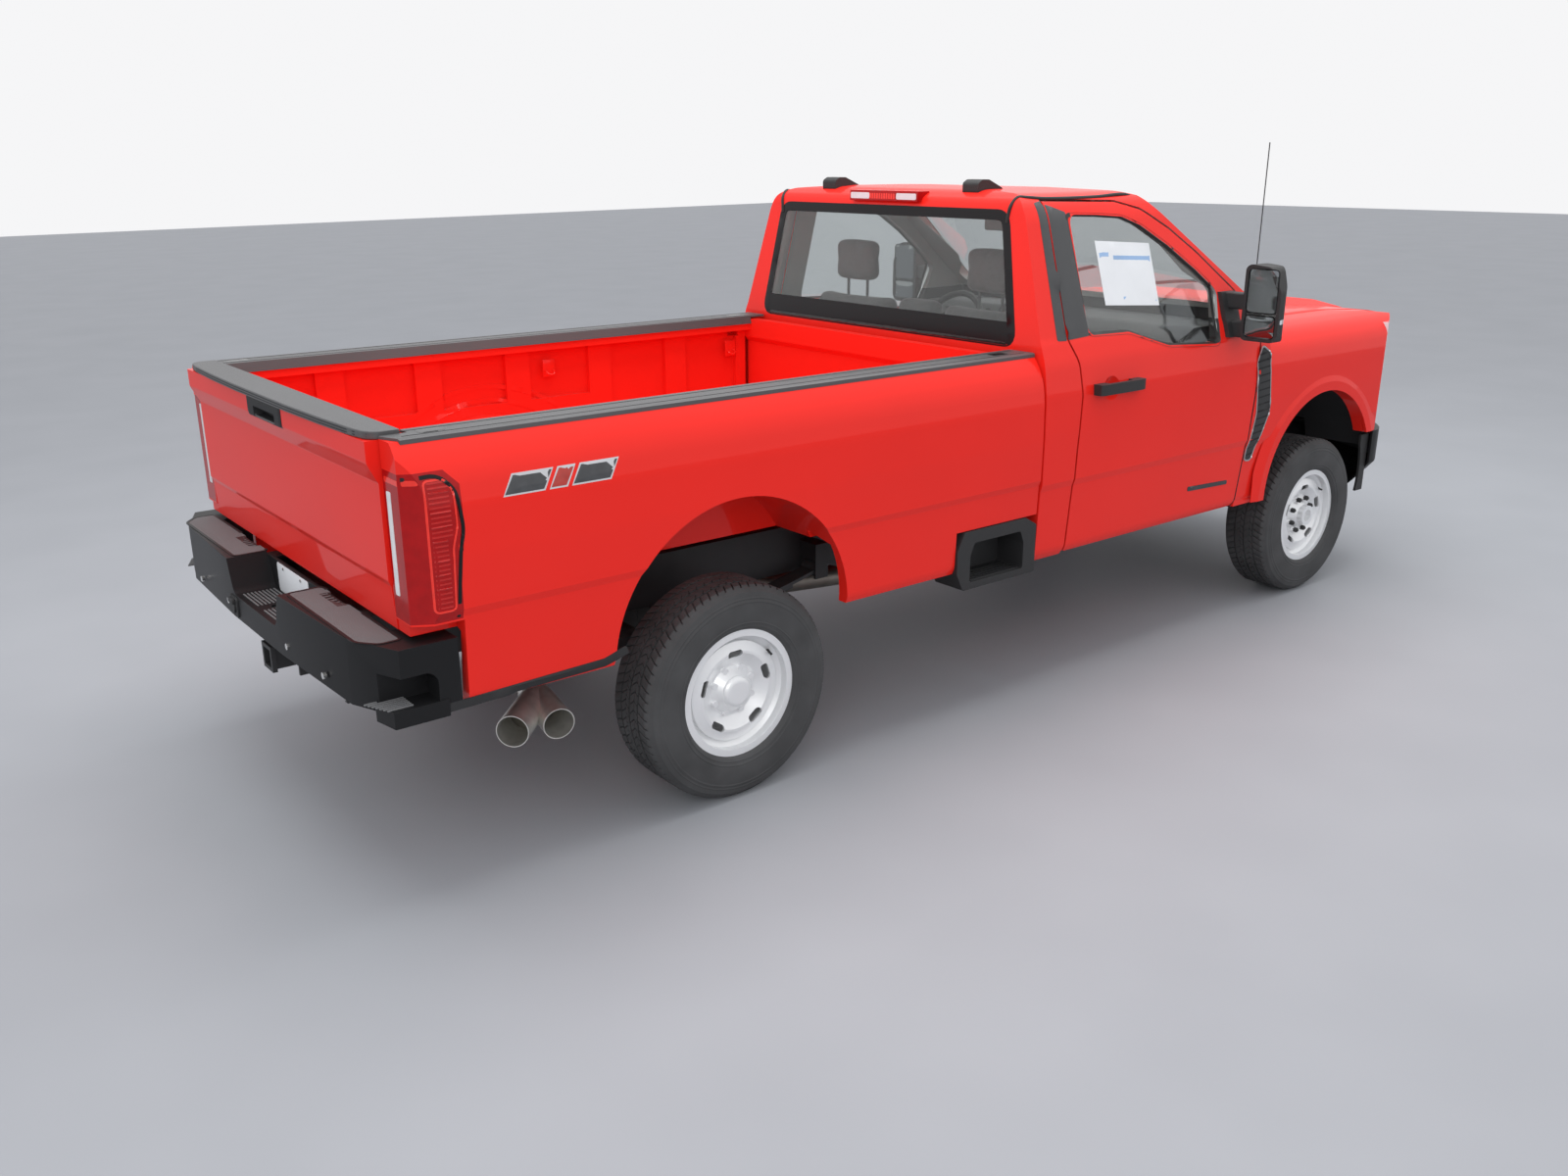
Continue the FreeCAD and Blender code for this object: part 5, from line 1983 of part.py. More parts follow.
def gearbox():
    # Bell housing, gearbox and transfer case in one line behind the engine
    front = ENGINE_REAR_X - SEAT_GAP
    bell = 0.25 * (front - GEARBOX_REAR_X)
    cone = Part.makeCone(GEARBOX_RADIUS_REAR, GEARBOX_RADIUS_FRONT, bell, V(front - bell, 0, GEARBOX_Z),
                         FORWARD)
    barrel = rod(V(GEARBOX_REAR_X, 0, GEARBOX_Z), V(front - bell, 0, GEARBOX_Z), GEARBOX_RADIUS_REAR)
    start = 0.606 * WHEELBASE + CROSSMEMBER_WIDTH / 2 + PANEL_GAP
    transfer = box(start, start + TRANSFER_LENGTH, 0, FRONT_DIFF_Y + FRONT_SHAFT_RADIUS * 2,
                   CAB_UNDERSIDE_Z - PANEL_GAP - TRANSFER_DEPTH,
                   CAB_UNDERSIDE_Z - PANEL_GAP)
    return joined([cone, barrel, transfer])


def sprung_spot(x, y, z):
    turn = math.radians(RAKE_DEGREES)
    rise = z - TYRE_RADIUS
    return V(x * math.cos(turn) + rise * math.sin(turn), y,
             TYRE_RADIUS + rise * math.cos(turn) - x * math.sin(turn))


def shaft(low, high, radius):
    # A propeller shaft with a ball-shaped joint at each end
    return joined([rod(low, high, radius), Part.makeSphere(JOINT_RADIUS, low),
                   Part.makeSphere(JOINT_RADIUS, high)])


def driveshafts():
    # Rear shaft from the gearbox, front shaft from the transfer case
    reach = JOINT_RADIUS + SEAT_GAP
    rear_high = sprung_spot(GEARBOX_REAR_X - reach, 0, GEARBOX_Z)
    rear_low = sprung_spot(DIFF_NECK_LENGTH + reach, 0, TYRE_RADIUS)
    start = 0.606 * WHEELBASE + CROSSMEMBER_WIDTH / 2 + PANEL_GAP + TRANSFER_LENGTH
    front_low = V(WHEELBASE - DIFF_NECK_LENGTH - reach, FRONT_DIFF_Y, TYRE_RADIUS)
    front_high = sprung_spot(start + reach, FRONT_DIFF_Y, CAB_UNDERSIDE_Z - TRANSFER_DEPTH / 2)
    return Part.Compound([shaft(rear_low, rear_high, SHAFT_RADIUS),
                          shaft(front_low, front_high, FRONT_SHAFT_RADIUS)])


def fuel_tank():
    # Moulded tank inside the left rail, between two crossmembers
    y1 = RAIL_OUTER_Y - RAIL_FLANGE - SEAT_GAP
    x1 = TANK_REAR_X + TANK_LENGTH
    return soft_box(TANK_REAR_X, x1, TANK_INNER_Y, y1, TANK_LOW_Z, TANK_LOW_Z + TANK_HEIGHT, TANK_ROUND)


def tail_pipe_end():
    return V(-0.17 * WHEELBASE, -RAIL_OUTER_Y - LEAF_WIDTH - PIPE_RADIUS, TAIL_PIPE_Z)


def exhaust():
    # Pipe, muffler and tail pipe along the right-hand side, arched over the rear axle
    z = MUFFLER_Z
    y = -PIPE_Y
    end = MUFFLER_REAR_X + MUFFLER_LENGTH
    head = rod(V(ENGINE_REAR_X - CAB_WALL, y, z), V(end, y, z), PIPE_RADIUS)
    can = rod(V(MUFFLER_REAR_X, y, z), V(end, y, z), MUFFLER_RADIUS)
    tail = pipe([V(MUFFLER_REAR_X, y, z), V(0.18 * WHEELBASE, y, z + PIPE_RADIUS),
                 V(0.05 * WHEELBASE, y, AXLE_PIPE_Z),
                 V(-0.06 * WHEELBASE, y, AXLE_PIPE_Z), V(-0.15 * WHEELBASE, y - PIPE_RADIUS,
                                                         TAIL_PIPE_Z), tail_pipe_end()],
                PIPE_RADIUS, PIPE_BEND)
    hook_x = 0.42 * WHEELBASE
    half = PIPE_RADIUS / 2
    hook = box(hook_x - half, hook_x + half, y - half, y + half, z + MUFFLER_RADIUS - PIPE_RADIUS,
               RAIL_LOW_Z + RAIL_DEPTH - 0.35 * CROSSMEMBER_HEIGHT - SEAT_GAP)
    return joined([head, can, tail, hook])


def exhaust_tips():
    # Two open chromed tips that fan out from a collar on the tail pipe's end
    end = tail_pipe_end()
    way = (end - V(-0.15 * WHEELBASE, -PIPE_Y - PIPE_RADIUS, TAIL_PIPE_Z)).normalize()
    start = end + way * SEAT_GAP
    fork = start + way * TIP_RADIUS
    collar = rod(start, fork, PIPE_RADIUS * 1.15)
    tips = []
    holes = []
    for share_x, share_z in TIP_AIM_SHARES:
        aim = V(share_x * WHEELBASE, -0.845 * BODY_HALF_WIDTH, share_z * WHEELBASE)
        tips.append(rod(fork, aim, TIP_RADIUS))
        holes.append(rod(fork + (aim - fork) * 0.3, aim + (aim - fork), TIP_RADIUS - TIP_SKIN))
    return joined([collar] + tips).cut(holes)


# Cab interior

def seat(y, width, headrest):
    # One seat: cushion and leaning back on a plinth, joined as on the real frame
    half = width / 2
    z = SEAT_BASE_Z
    front = SEAT_REAR_X + SEAT_BACK_THICK + SEAT_DEPTH
    cushion = soft_box(SEAT_REAR_X + SEAT_BACK_THICK * 0.5, front, y - half, y + half, z, z + SEAT_THICK,
                       SEAT_THICK * 0.3)
    plinth = box(SEAT_REAR_X + SEAT_BACK_THICK, front - SEAT_THICK, y - 0.8 * half, y + 0.8 * half,
                 CAB_FLOOR_Z + SEAT_GAP, z + SEAT_THICK / 2)
    plinth = plinth.cut(tunnel(TUNNEL_SKIN + SEAT_GAP))
    back = soft_box(SEAT_REAR_X, SEAT_REAR_X + SEAT_BACK_THICK, y - half, y + half, z + SEAT_THICK / 2,
                    z + SEAT_THICK / 2 + SEAT_BACK_HEIGHT,
                    SEAT_BACK_THICK * 0.3)
    pieces = [cushion, plinth, back]
    if headrest:
        top = z + SEAT_THICK / 2 + SEAT_BACK_HEIGHT
        middle = SEAT_REAR_X + SEAT_BACK_THICK / 2
        low = top + HEADREST_THICK / 4
        pieces.append(soft_box(middle - HEADREST_THICK / 2, middle + HEADREST_THICK / 2,
                               y - HEADREST_WIDTH / 2, y + HEADREST_WIDTH / 2,
                               low, low + HEADREST_HEIGHT, HEADREST_THICK * 0.35))
        for side in (-1, 1):
            spot = V(middle, y + side * HEADREST_WIDTH / 4, top - SEAT_THICK)
            pieces.append(rod(spot, V(spot.x, spot.y, low + HEADREST_HEIGHT / 2), HEADREST_POST_RADIUS))
    return joined(pieces)


def seats():
    outer = seat(SEAT_Y, SEAT_WIDTH, True)
    return Part.Compound([outer, seat(0, CENTRE_SEAT_WIDTH, False), mirrored(outer)])


def column_line():
    # Middle of the steering wheel and the direction of its column, forward and down
    lean = math.radians(STEERING_LEAN_DEGREES)
    return V(STEERING_X, STEERING_Y, STEERING_Z), V(math.cos(lean), 0, -math.sin(lean))


def dashboard():
    # Moulded dash across the cab with a hooded instrument panel and the steering column
    x0, x1 = DASH_REAR_X, FIREWALL_X - SEAT_GAP
    span = x1 - x0
    rise = DASH_TOP_Z - DASH_LOW_Z
    profile = [(x0, DASH_LOW_Z + 0.45 * rise), (x0 + 0.05 * span, DASH_TOP_Z - 0.15 * rise),
               (x0 + 0.2 * span, DASH_TOP_Z), (x1, DASH_TOP_Z),
               (x1, DASH_LOW_Z), (x0 + 0.4 * span, DASH_LOW_Z), (x0 + 0.1 * span, DASH_LOW_Z + 0.3 * rise)]
    body = plate(profile, "xz", -DASH_HALF_WIDTH, DASH_HALF_WIDTH, SEAT_THICK / 2, (3, 4))
    hub, way = column_line()
    column = rod(hub, hub + way * (x0 + 0.2 * span - STEERING_X), COLUMN_RADIUS * 0.5)
    shroud = rod(hub + way * COLUMN_RADIUS * 2, hub + way * (x0 + 0.3 * span - STEERING_X), COLUMN_RADIUS)
    return joined([body, column, shroud])


def steering_wheel():
    # Rim, hub and three spokes; the hub is bored for the column
    hub, way = column_line()
    ring = Part.makeTorus(STEERING_RADIUS, STEERING_RIM_RADIUS, hub, way)
    boss = rod(hub - way * COLUMN_RADIUS, hub + way * COLUMN_RADIUS, STEERING_HUB_RADIUS)
    spokes = []
    up = way.cross(LEFTWARD).normalize()
    for direction in (LEFTWARD, -LEFTWARD, up):
        if direction is up and up.z > 0:
            direction = -up
        spokes.append(rod(hub, hub + direction * STEERING_RADIUS, STEERING_RIM_RADIUS * 0.8))
    bore = rod(hub - way * COLUMN_RADIUS * 0.4, hub + way * COLUMN_RADIUS * 2,
               COLUMN_RADIUS * 0.5 + RUNNING_CLEARANCE)
    return joined([ring, boss] + spokes).cut(bore)


def fuel_door():
    # Lid let into the left bed side, with a curled knuckle on its front edge's pin
    blank = bed_side_blank().common(fuel_door_zone(0, 0.6 * FUEL_POCKET_DEPTH))
    inside = bed_side_blank()
    inside.translate(V(0, -FUEL_DOOR_THICK, 0))
    lid = blank.cut(inside)
    x, y = fuel_door_axis()
    half = FUEL_DOOR_HEIGHT / 2
    knuckle_tube = rod(V(x, y, FUEL_DOOR_Z - half * 0.8), V(x, y, FUEL_DOOR_Z + half * 0.8),
                       FUEL_PIN_RADIUS * 2)
    bore = rod(V(x, y, FUEL_DOOR_Z - half), V(x, y, FUEL_DOOR_Z + half),
               FUEL_PIN_RADIUS + RUNNING_CLEARANCE)
    return joined([lid, knuckle_tube]).cut(bore)


def fuel_door_axis():
    x = FUEL_DOOR_X + FUEL_DOOR_WIDTH / 2 - 3 * FUEL_PIN_RADIUS
    return x, BODY_HALF_WIDTH - FUEL_DOOR_THICK - 1.5 * FUEL_PIN_RADIUS


def fuel_pocket():
    return fuel_door_zone(PANEL_GAP, FUEL_POCKET_DEPTH)


def fuel_pin():
    x, y = fuel_door_axis()
    half = FUEL_DOOR_HEIGHT / 2 + 2 * PANEL_GAP
    return rod(V(x, y, FUEL_DOOR_Z - half), V(x, y, FUEL_DOOR_Z + half), FUEL_PIN_RADIUS)


NODES = {}


def add(name, *shapes):
    solids = [solid for shape in shapes for solid in shape.Solids]
    NODES[name] = solids[0] if len(solids) == 1 else Part.Compound(solids)


def pair(name, shape):
    # A left-hand piece and its mirror image, as two nodes
    add(name + "_left", sprung(shape))
    add(name + "_right", sprung(mirrored(shape)))


def running_gear():
    towers = coil_tower()
    add("frame", joined([sprung(frame()), towers, mirrored(towers)]))
    add("rear_axle", sprung(rear_axle()))
    add("front_axle", front_axle())
    left = knuckle()
    add("knuckle_left", left)
    add("knuckle_right", mirrored(left))
    leaves, dampers = leaf_pack(), rear_damper()
    front = [coil(), front_damper()]
    add("springs", sprung(both(leaves)), both(front[0]))
    add("dampers", sprung(both(dampers)), both(front[1]))
    rubber = tyre()
    for end, x, track in (("front", WHEELBASE, FRONT_TRACK), ("rear", 0, REAR_TRACK)):
        disc = wheel(end == "front")
        for name, side in (("left", 1), ("right", -1)):
            add("tyre_%s_%s" % (end, name), placed_wheel(rubber, x, track, side))
            add("rim_%s_%s" % (end, name), placed_wheel(disc, x, track, side))
    add("engine", sprung(engine()))
    add("gearbox", sprung(gearbox()))
    add("driveshafts", driveshafts())
    add("fuel_tank", sprung(fuel_tank()))
    add("exhaust", sprung(exhaust()))
    add("exhaust_tips", sprung(exhaust_tips()))


def load_bed():
    side = bed_side()
    left = joined([side.cut(fuel_pocket()), fuel_pin()])
    add("bed_side_left", sprung(left))
    add("bed_side_right", sprung(mirrored(side)))
    add("fuel_door", sprung(fuel_door()))
    add("bed_floor", sprung(bed_floor()))
    add("bed_front", sprung(bed_front()))
    add("rail_caps", sprung(rail_caps()))
    add("box_steps", sprung(both(box_step())))
    add("tailgate", sprung(tailgate()))
    add("tailgate_trim", sprung(tailgate_cap()), sprung(tailgate_handle()))
    add("tail_lamps", sprung(both(tail_lamp())))
    add("rear_bumper", sprung(rear_bumper_whole()))
    add("hitch_receiver", sprung(hitch()))


def cab_and_doors():
    add("cab", sprung(cab()))
    add("rear_window", sprung(backlight()))
    add("windscreen", sprung(windscreen()))
    pair("door", door())
    pair("door_glass", Part.Compound([door_glass(), mirror_pane()]))
    pair("door_fittings", Part.Compound([door_handle(), mirror_head()]))
    add("roof_lamp", sprung(roof_lamp()))
    add("roof_humps", sprung(both(roof_hump())))
    add("seats", sprung(seats()))
    add("dashboard", sprung(dashboard()))
    add("steering_wheel", sprung(steering_wheel()))


def front_end():
    wing = fender()
    pair("fender", wing)
    add("fender_liners", sprung(both(liner(wing))))
    add("hood", sprung(hood()))
    add("cowl", sprung(cowl()))
    add("grille", sprung(grille()))
    add("headlamps", sprung(both(headlamp())))
    add("radiator", sprung(front_support()))
    add("front_bumper", sprung(front_bumper()))
    add("air_dam", sprung(air_dam()))
    add("antenna", sprung(antenna()))


def main():
    running_gear()
    load_bed()
    cab_and_doors()
    front_end()
    whole = Part.Compound(list(NODES.values())).BoundBox
    shift = -(whole.XMin + whole.XMax) / 2
    print("shift x %.4f, size %.1f x %.1f x %.1f, lowest %.3f" % (shift, whole.XLength, whole.YLength,
                                                                   whole.ZLength, whole.ZMin))
    for name, shape in NODES.items():
        shape.translate(V(shift, 0, 0))
        print(name, len(shape.Solids), shape.isValid(), round(shape.Volume / 1e6, 2))
        shape.exportStep("parts/%s.step" % name)


main()
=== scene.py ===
# %% [markdown]
# A pickup truck, dressed around its solids. The solids give every piece its size and place, in metres, with
# +X forward, +Y to the truck's left and +Z up. This file gives them their finishes and adds the pieces that
# are too fine for solids: tread, lamps, seals, seats and small fittings.

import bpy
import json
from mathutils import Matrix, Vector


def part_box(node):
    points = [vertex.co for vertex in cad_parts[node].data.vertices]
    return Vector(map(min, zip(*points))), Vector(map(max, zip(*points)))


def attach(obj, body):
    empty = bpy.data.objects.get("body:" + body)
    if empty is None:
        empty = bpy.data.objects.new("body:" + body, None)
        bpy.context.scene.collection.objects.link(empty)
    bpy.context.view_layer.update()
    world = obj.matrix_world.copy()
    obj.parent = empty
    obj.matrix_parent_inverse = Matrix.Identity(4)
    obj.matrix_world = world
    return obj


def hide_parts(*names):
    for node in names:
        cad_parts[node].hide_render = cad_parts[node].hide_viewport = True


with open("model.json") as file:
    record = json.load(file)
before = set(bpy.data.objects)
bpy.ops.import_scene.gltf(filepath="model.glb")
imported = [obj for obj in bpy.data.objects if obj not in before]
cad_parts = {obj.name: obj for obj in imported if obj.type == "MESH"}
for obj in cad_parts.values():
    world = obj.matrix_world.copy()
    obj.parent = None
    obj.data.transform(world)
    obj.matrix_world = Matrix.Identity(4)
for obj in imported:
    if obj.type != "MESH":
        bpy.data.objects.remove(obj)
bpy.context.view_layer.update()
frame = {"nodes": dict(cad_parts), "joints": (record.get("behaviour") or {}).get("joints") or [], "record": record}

import json
import math

import bmesh
import bpy
from mathutils import Matrix, Vector
from mathutils.bvhtree import BVHTree

# %% [markdown]
# The camera stands behind the truck, to its right and above its rails. It could be placed by eye, but a
# lens and a place worked out from the wheels, the ground and the bed rail fit all of the truck.

# %% Camera
SENSOR_MM = 36.0
LENS_MM = 30.19
EYE = (-4.1438, -4.3848, 2.2098)
AZIMUTH = math.radians(-38.415)
ELEVATION = math.radians(18.576)
ROLL = math.radians(-0.674)


def make_camera():
    level = math.cos(ELEVATION)
    ahead = Vector((-math.sin(AZIMUTH) * level, math.cos(AZIMUTH) * level, -math.sin(ELEVATION)))
    right = ahead.cross(Vector((0, 0, 1))).normalized()
    up = right.cross(ahead)
    tilted_right = math.cos(ROLL) * right + math.sin(ROLL) * up
    tilted_up = -math.sin(ROLL) * right + math.cos(ROLL) * up
    turn = Matrix((tilted_right, tilted_up, -ahead)).transposed().to_4x4()
    data = bpy.data.cameras.new("camera")
    data.sensor_width = SENSOR_MM
    data.lens = LENS_MM
    camera = bpy.data.objects.new("camera", data)
    bpy.context.scene.collection.objects.link(camera)
    camera.matrix_world = Matrix.Translation(EYE) @ turn
    bpy.context.scene.camera = camera
    return camera


camera = make_camera()
print("camera at", [round(v, 3) for v in camera.matrix_world.translation])

# %% [markdown]
# A shader is a small net of nodes. Each one could be made and wired line by line, but one helper that takes
# the values and the feeding sockets together keeps every recipe short enough to read.

# %% Shader nodes
def feed(tree, node, sockets):
    for key, value in sockets.items():
        if isinstance(value, bpy.types.NodeSocket):
            tree.links.new(value, node.inputs[key])
        else:
            node.inputs[key].default_value = value


def add_node(tree, kind, sockets=None, **settings):
    node = tree.nodes.new("ShaderNode" + kind)
    for name, value in settings.items():
        setattr(node, name, value)
    feed(tree, node, sockets or {})
    return node


print("helpers ready for", bpy.app.version_string)

# %% [markdown]
# The studio is a pale floor and a pale room. Two large soft lamps draw long clean highlights on paint, as
# light tubes do. The room looks white to the camera and to reflections without pouring white light on the
# truck.

# %% Studio
FLOOR_HALF = 40.0
FLOOR_TONES = ((0.33, 0.34, 0.36, 1), (0.38, 0.39, 0.41, 1))
FLOOR_CLOUD = 1.3
ROOM_LIGHT = (0.93, 0.95, 1.0, 1)
ROOM_STRENGTH = 0.95
ROOM_SEEN = (0.92, 0.92, 0.93, 1)
LAMP_TARGET = Vector((0, 0, 0.8))
LAMPS = (((0.0, 0.0, 6.0), (9.0, 4.5), 330.0), ((-5.5, -6.0, 4.0), (4.0, 3.0), 90.0))


def make_world():
    world = bpy.data.worlds.new("studio")
    bpy.context.scene.world = world
    world.use_nodes = True
    tree = world.node_tree
    tree.nodes.clear()
    ray = add_node(tree, "LightPath").outputs
    seen = add_node(tree, "Math", {0: ray["Is Camera Ray"], 1: ray["Is Glossy Ray"]}, operation="MAXIMUM")
    seen_too = add_node(tree, "Math", {0: seen.outputs[0], 1: ray["Is Transmission Ray"]},
                        operation="MAXIMUM")
    lit = add_node(tree, "Background", {"Color": ROOM_LIGHT, "Strength": ROOM_STRENGTH})
    shown = add_node(tree, "Background", {"Color": ROOM_SEEN})
    mix = add_node(tree, "MixShader", {"Fac": seen_too.outputs[0], 1: lit.outputs[0], 2: shown.outputs[0]})
    add_node(tree, "OutputWorld", {"Surface": mix.outputs[0]})


def make_lamps():
    for number, (place, size, power) in enumerate(LAMPS):
        data = bpy.data.lights.new("soft_lamp_%d" % number, "AREA")
        data.shape = "RECTANGLE"
        data.size, data.size_y = size
        data.energy = power
        lamp = bpy.data.objects.new(data.name, data)
        bpy.context.scene.collection.objects.link(lamp)
        turn = (Vector(place) - LAMP_TARGET).to_track_quat("Z", "Y").to_matrix().to_4x4()
        lamp.matrix_world = Matrix.Translation(place) @ turn


def make_floor():
    mesh = bpy.data.meshes.new("floor")
    bm = bmesh.new()
    bmesh.ops.create_grid(bm, x_segments=1, y_segments=1, size=FLOOR_HALF)
    bm.to_mesh(mesh)
    bm.free()
    floor = bpy.data.objects.new("floor", mesh)
    bpy.context.scene.collection.objects.link(floor)
    material = bpy.data.materials.new("pale_floor")
    material.use_nodes = True
    tree = material.node_tree
    place = add_node(tree, "TexCoord")
    noise = add_node(tree, "TexNoise", {"Vector": place.outputs["Object"], "Scale": FLOOR_CLOUD})
    ramp = add_node(tree, "ValToRGB", {"Fac": noise.outputs["Fac"]})
    for element, tone in zip(ramp.color_ramp.elements, FLOOR_TONES):
        element.color = tone
    feed(tree, tree.nodes["Principled BSDF"],
         {"Roughness": 0.55, "Specular IOR Level": 0.2, "Base Color": ramp.outputs["Color"]})
    mesh.materials.append(material)


make_world()
make_lamps()
make_floor()
bpy.context.scene.view_settings.view_transform = "Standard"
print("lamps:", len(LAMPS))

# %% [markdown]
# The cab and its doors are one solid each, painted outside and trimmed inside. They could be cut in two,
# but faces that look toward the middle of the cab can be told apart in the finish: pale above the belt
# line, dark below it.

# %% Cab lining
CAB_MIDDLE = (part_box("cab")[0][0] + 0.75, 0.0, 1.35)
INWARD = -0.15
BELT_Z = 1.46
TRIM_DARK = (0.055, 0.055, 0.058, 1)
TRIM_PALE = (0.40, 0.40, 0.39, 1)
TRIM_ROUGH = 0.85


def line_inside(tree, shader, colour, rough):
    place = add_node(tree, "TexCoord").outputs
    away = add_node(tree, "VectorMath", {0: place["Object"], 1: CAB_MIDDLE}, operation="SUBTRACT")
    facing = add_node(tree, "VectorMath", {0: away.outputs[0], 1: place["Normal"]}, operation="DOT_PRODUCT")
    inner = add_node(tree, "Math", {0: facing.outputs["Value"], 1: INWARD}, operation="LESS_THAN").outputs[0]
    parts = add_node(tree, "SeparateXYZ", {0: place["Object"]})
    high = add_node(tree, "Math", {0: parts.outputs["Z"], 1: BELT_Z}, operation="GREATER_THAN")
    trim = add_node(tree, "Mix", {0: high.outputs[0], 6: TRIM_DARK, 7: TRIM_PALE}, data_type="RGBA")
    mixed = add_node(tree, "Mix", {0: inner, 6: colour, 7: trim.outputs[2]}, data_type="RGBA")
    dull = add_node(tree, "Mix", {0: inner, 2: rough, 3: TRIM_ROUGH})
    feed(tree, shader, {"Base Color": mixed.outputs[2], "Roughness": dull.outputs[0]})


print("cab middle:", [round(v, 3) for v in CAB_MIDDLE])

# %% [markdown]
# Every finish is one small recipe: a base colour that drifts a little over the surface, a roughness that
# drifts with it, and a fine grain as bump. Flat colours could stand in, but real paint, cast iron and
# moulded plastic never have one even tone.

# %% A finish
COAT_ROUGH = 0.03
DRIFT_STOPS = (0.3, 0.7)
GRAIN_HEIGHT = 0.001


def finish(name, colour, rough, metal=0.0, drift=0.06, patches=2.0, grain=0.0, grains=300.0, coat=0.0,
           specular=0.5, wear=0.1, sheen=0.0, clear=0.0, cells=False, lined=False):
    material = bpy.data.materials.new(name)
    material.use_nodes = True
    tree = material.node_tree
    shader = tree.nodes["Principled BSDF"]
    place = add_node(tree, "TexCoord").outputs["Object"]
    slow = add_node(tree, "TexNoise", {"Vector": place, "Scale": patches, "Detail": 4.0}).outputs["Fac"]
    ramp = add_node(tree, "ValToRGB", {"Fac": slow})
    for element, stop, sign in zip(ramp.color_ramp.elements, DRIFT_STOPS, (-1, 1)):
        element.position = stop
        element.color = [min(c * (1 + sign * drift), 1.0) for c in colour] + [1]
    tint = ramp.outputs["Color"]
    span = add_node(tree, "MapRange", {"Value": slow, "To Min": rough * (1 - wear),
                                       "To Max": min(rough * (1 + wear), 1.0)}).outputs["Result"]
    feed(tree, shader, {"Metallic": metal, "Coat Weight": coat, "Coat Roughness": COAT_ROUGH,
                        "Specular IOR Level": specular, "Sheen Weight": sheen, "Transmission Weight": clear,
                        "Base Color": tint, "Roughness": span})
    if grain:
        kind, height = ("TexVoronoi", "Distance") if cells else ("TexNoise", "Fac")
        fine = add_node(tree, kind, {"Vector": place, "Scale": grains})
        bump = add_node(tree, "Bump",
                        {"Strength": grain, "Distance": GRAIN_HEIGHT, "Height": fine.outputs[height]})
        feed(tree, shader, {"Normal": bump.outputs["Normal"]})
    if lined:
        line_inside(tree, shader, tint, span)
    return material


print("drift stops:", DRIFT_STOPS)

# %% [markdown]
# The finishes of the truck: solid red paint, black and grey plastics, bare and cast metals, rubber, cloth,
# glass and lamp lenses. They could share a few materials, but a plastic cap and a plastic bumper age and
# shine differently.

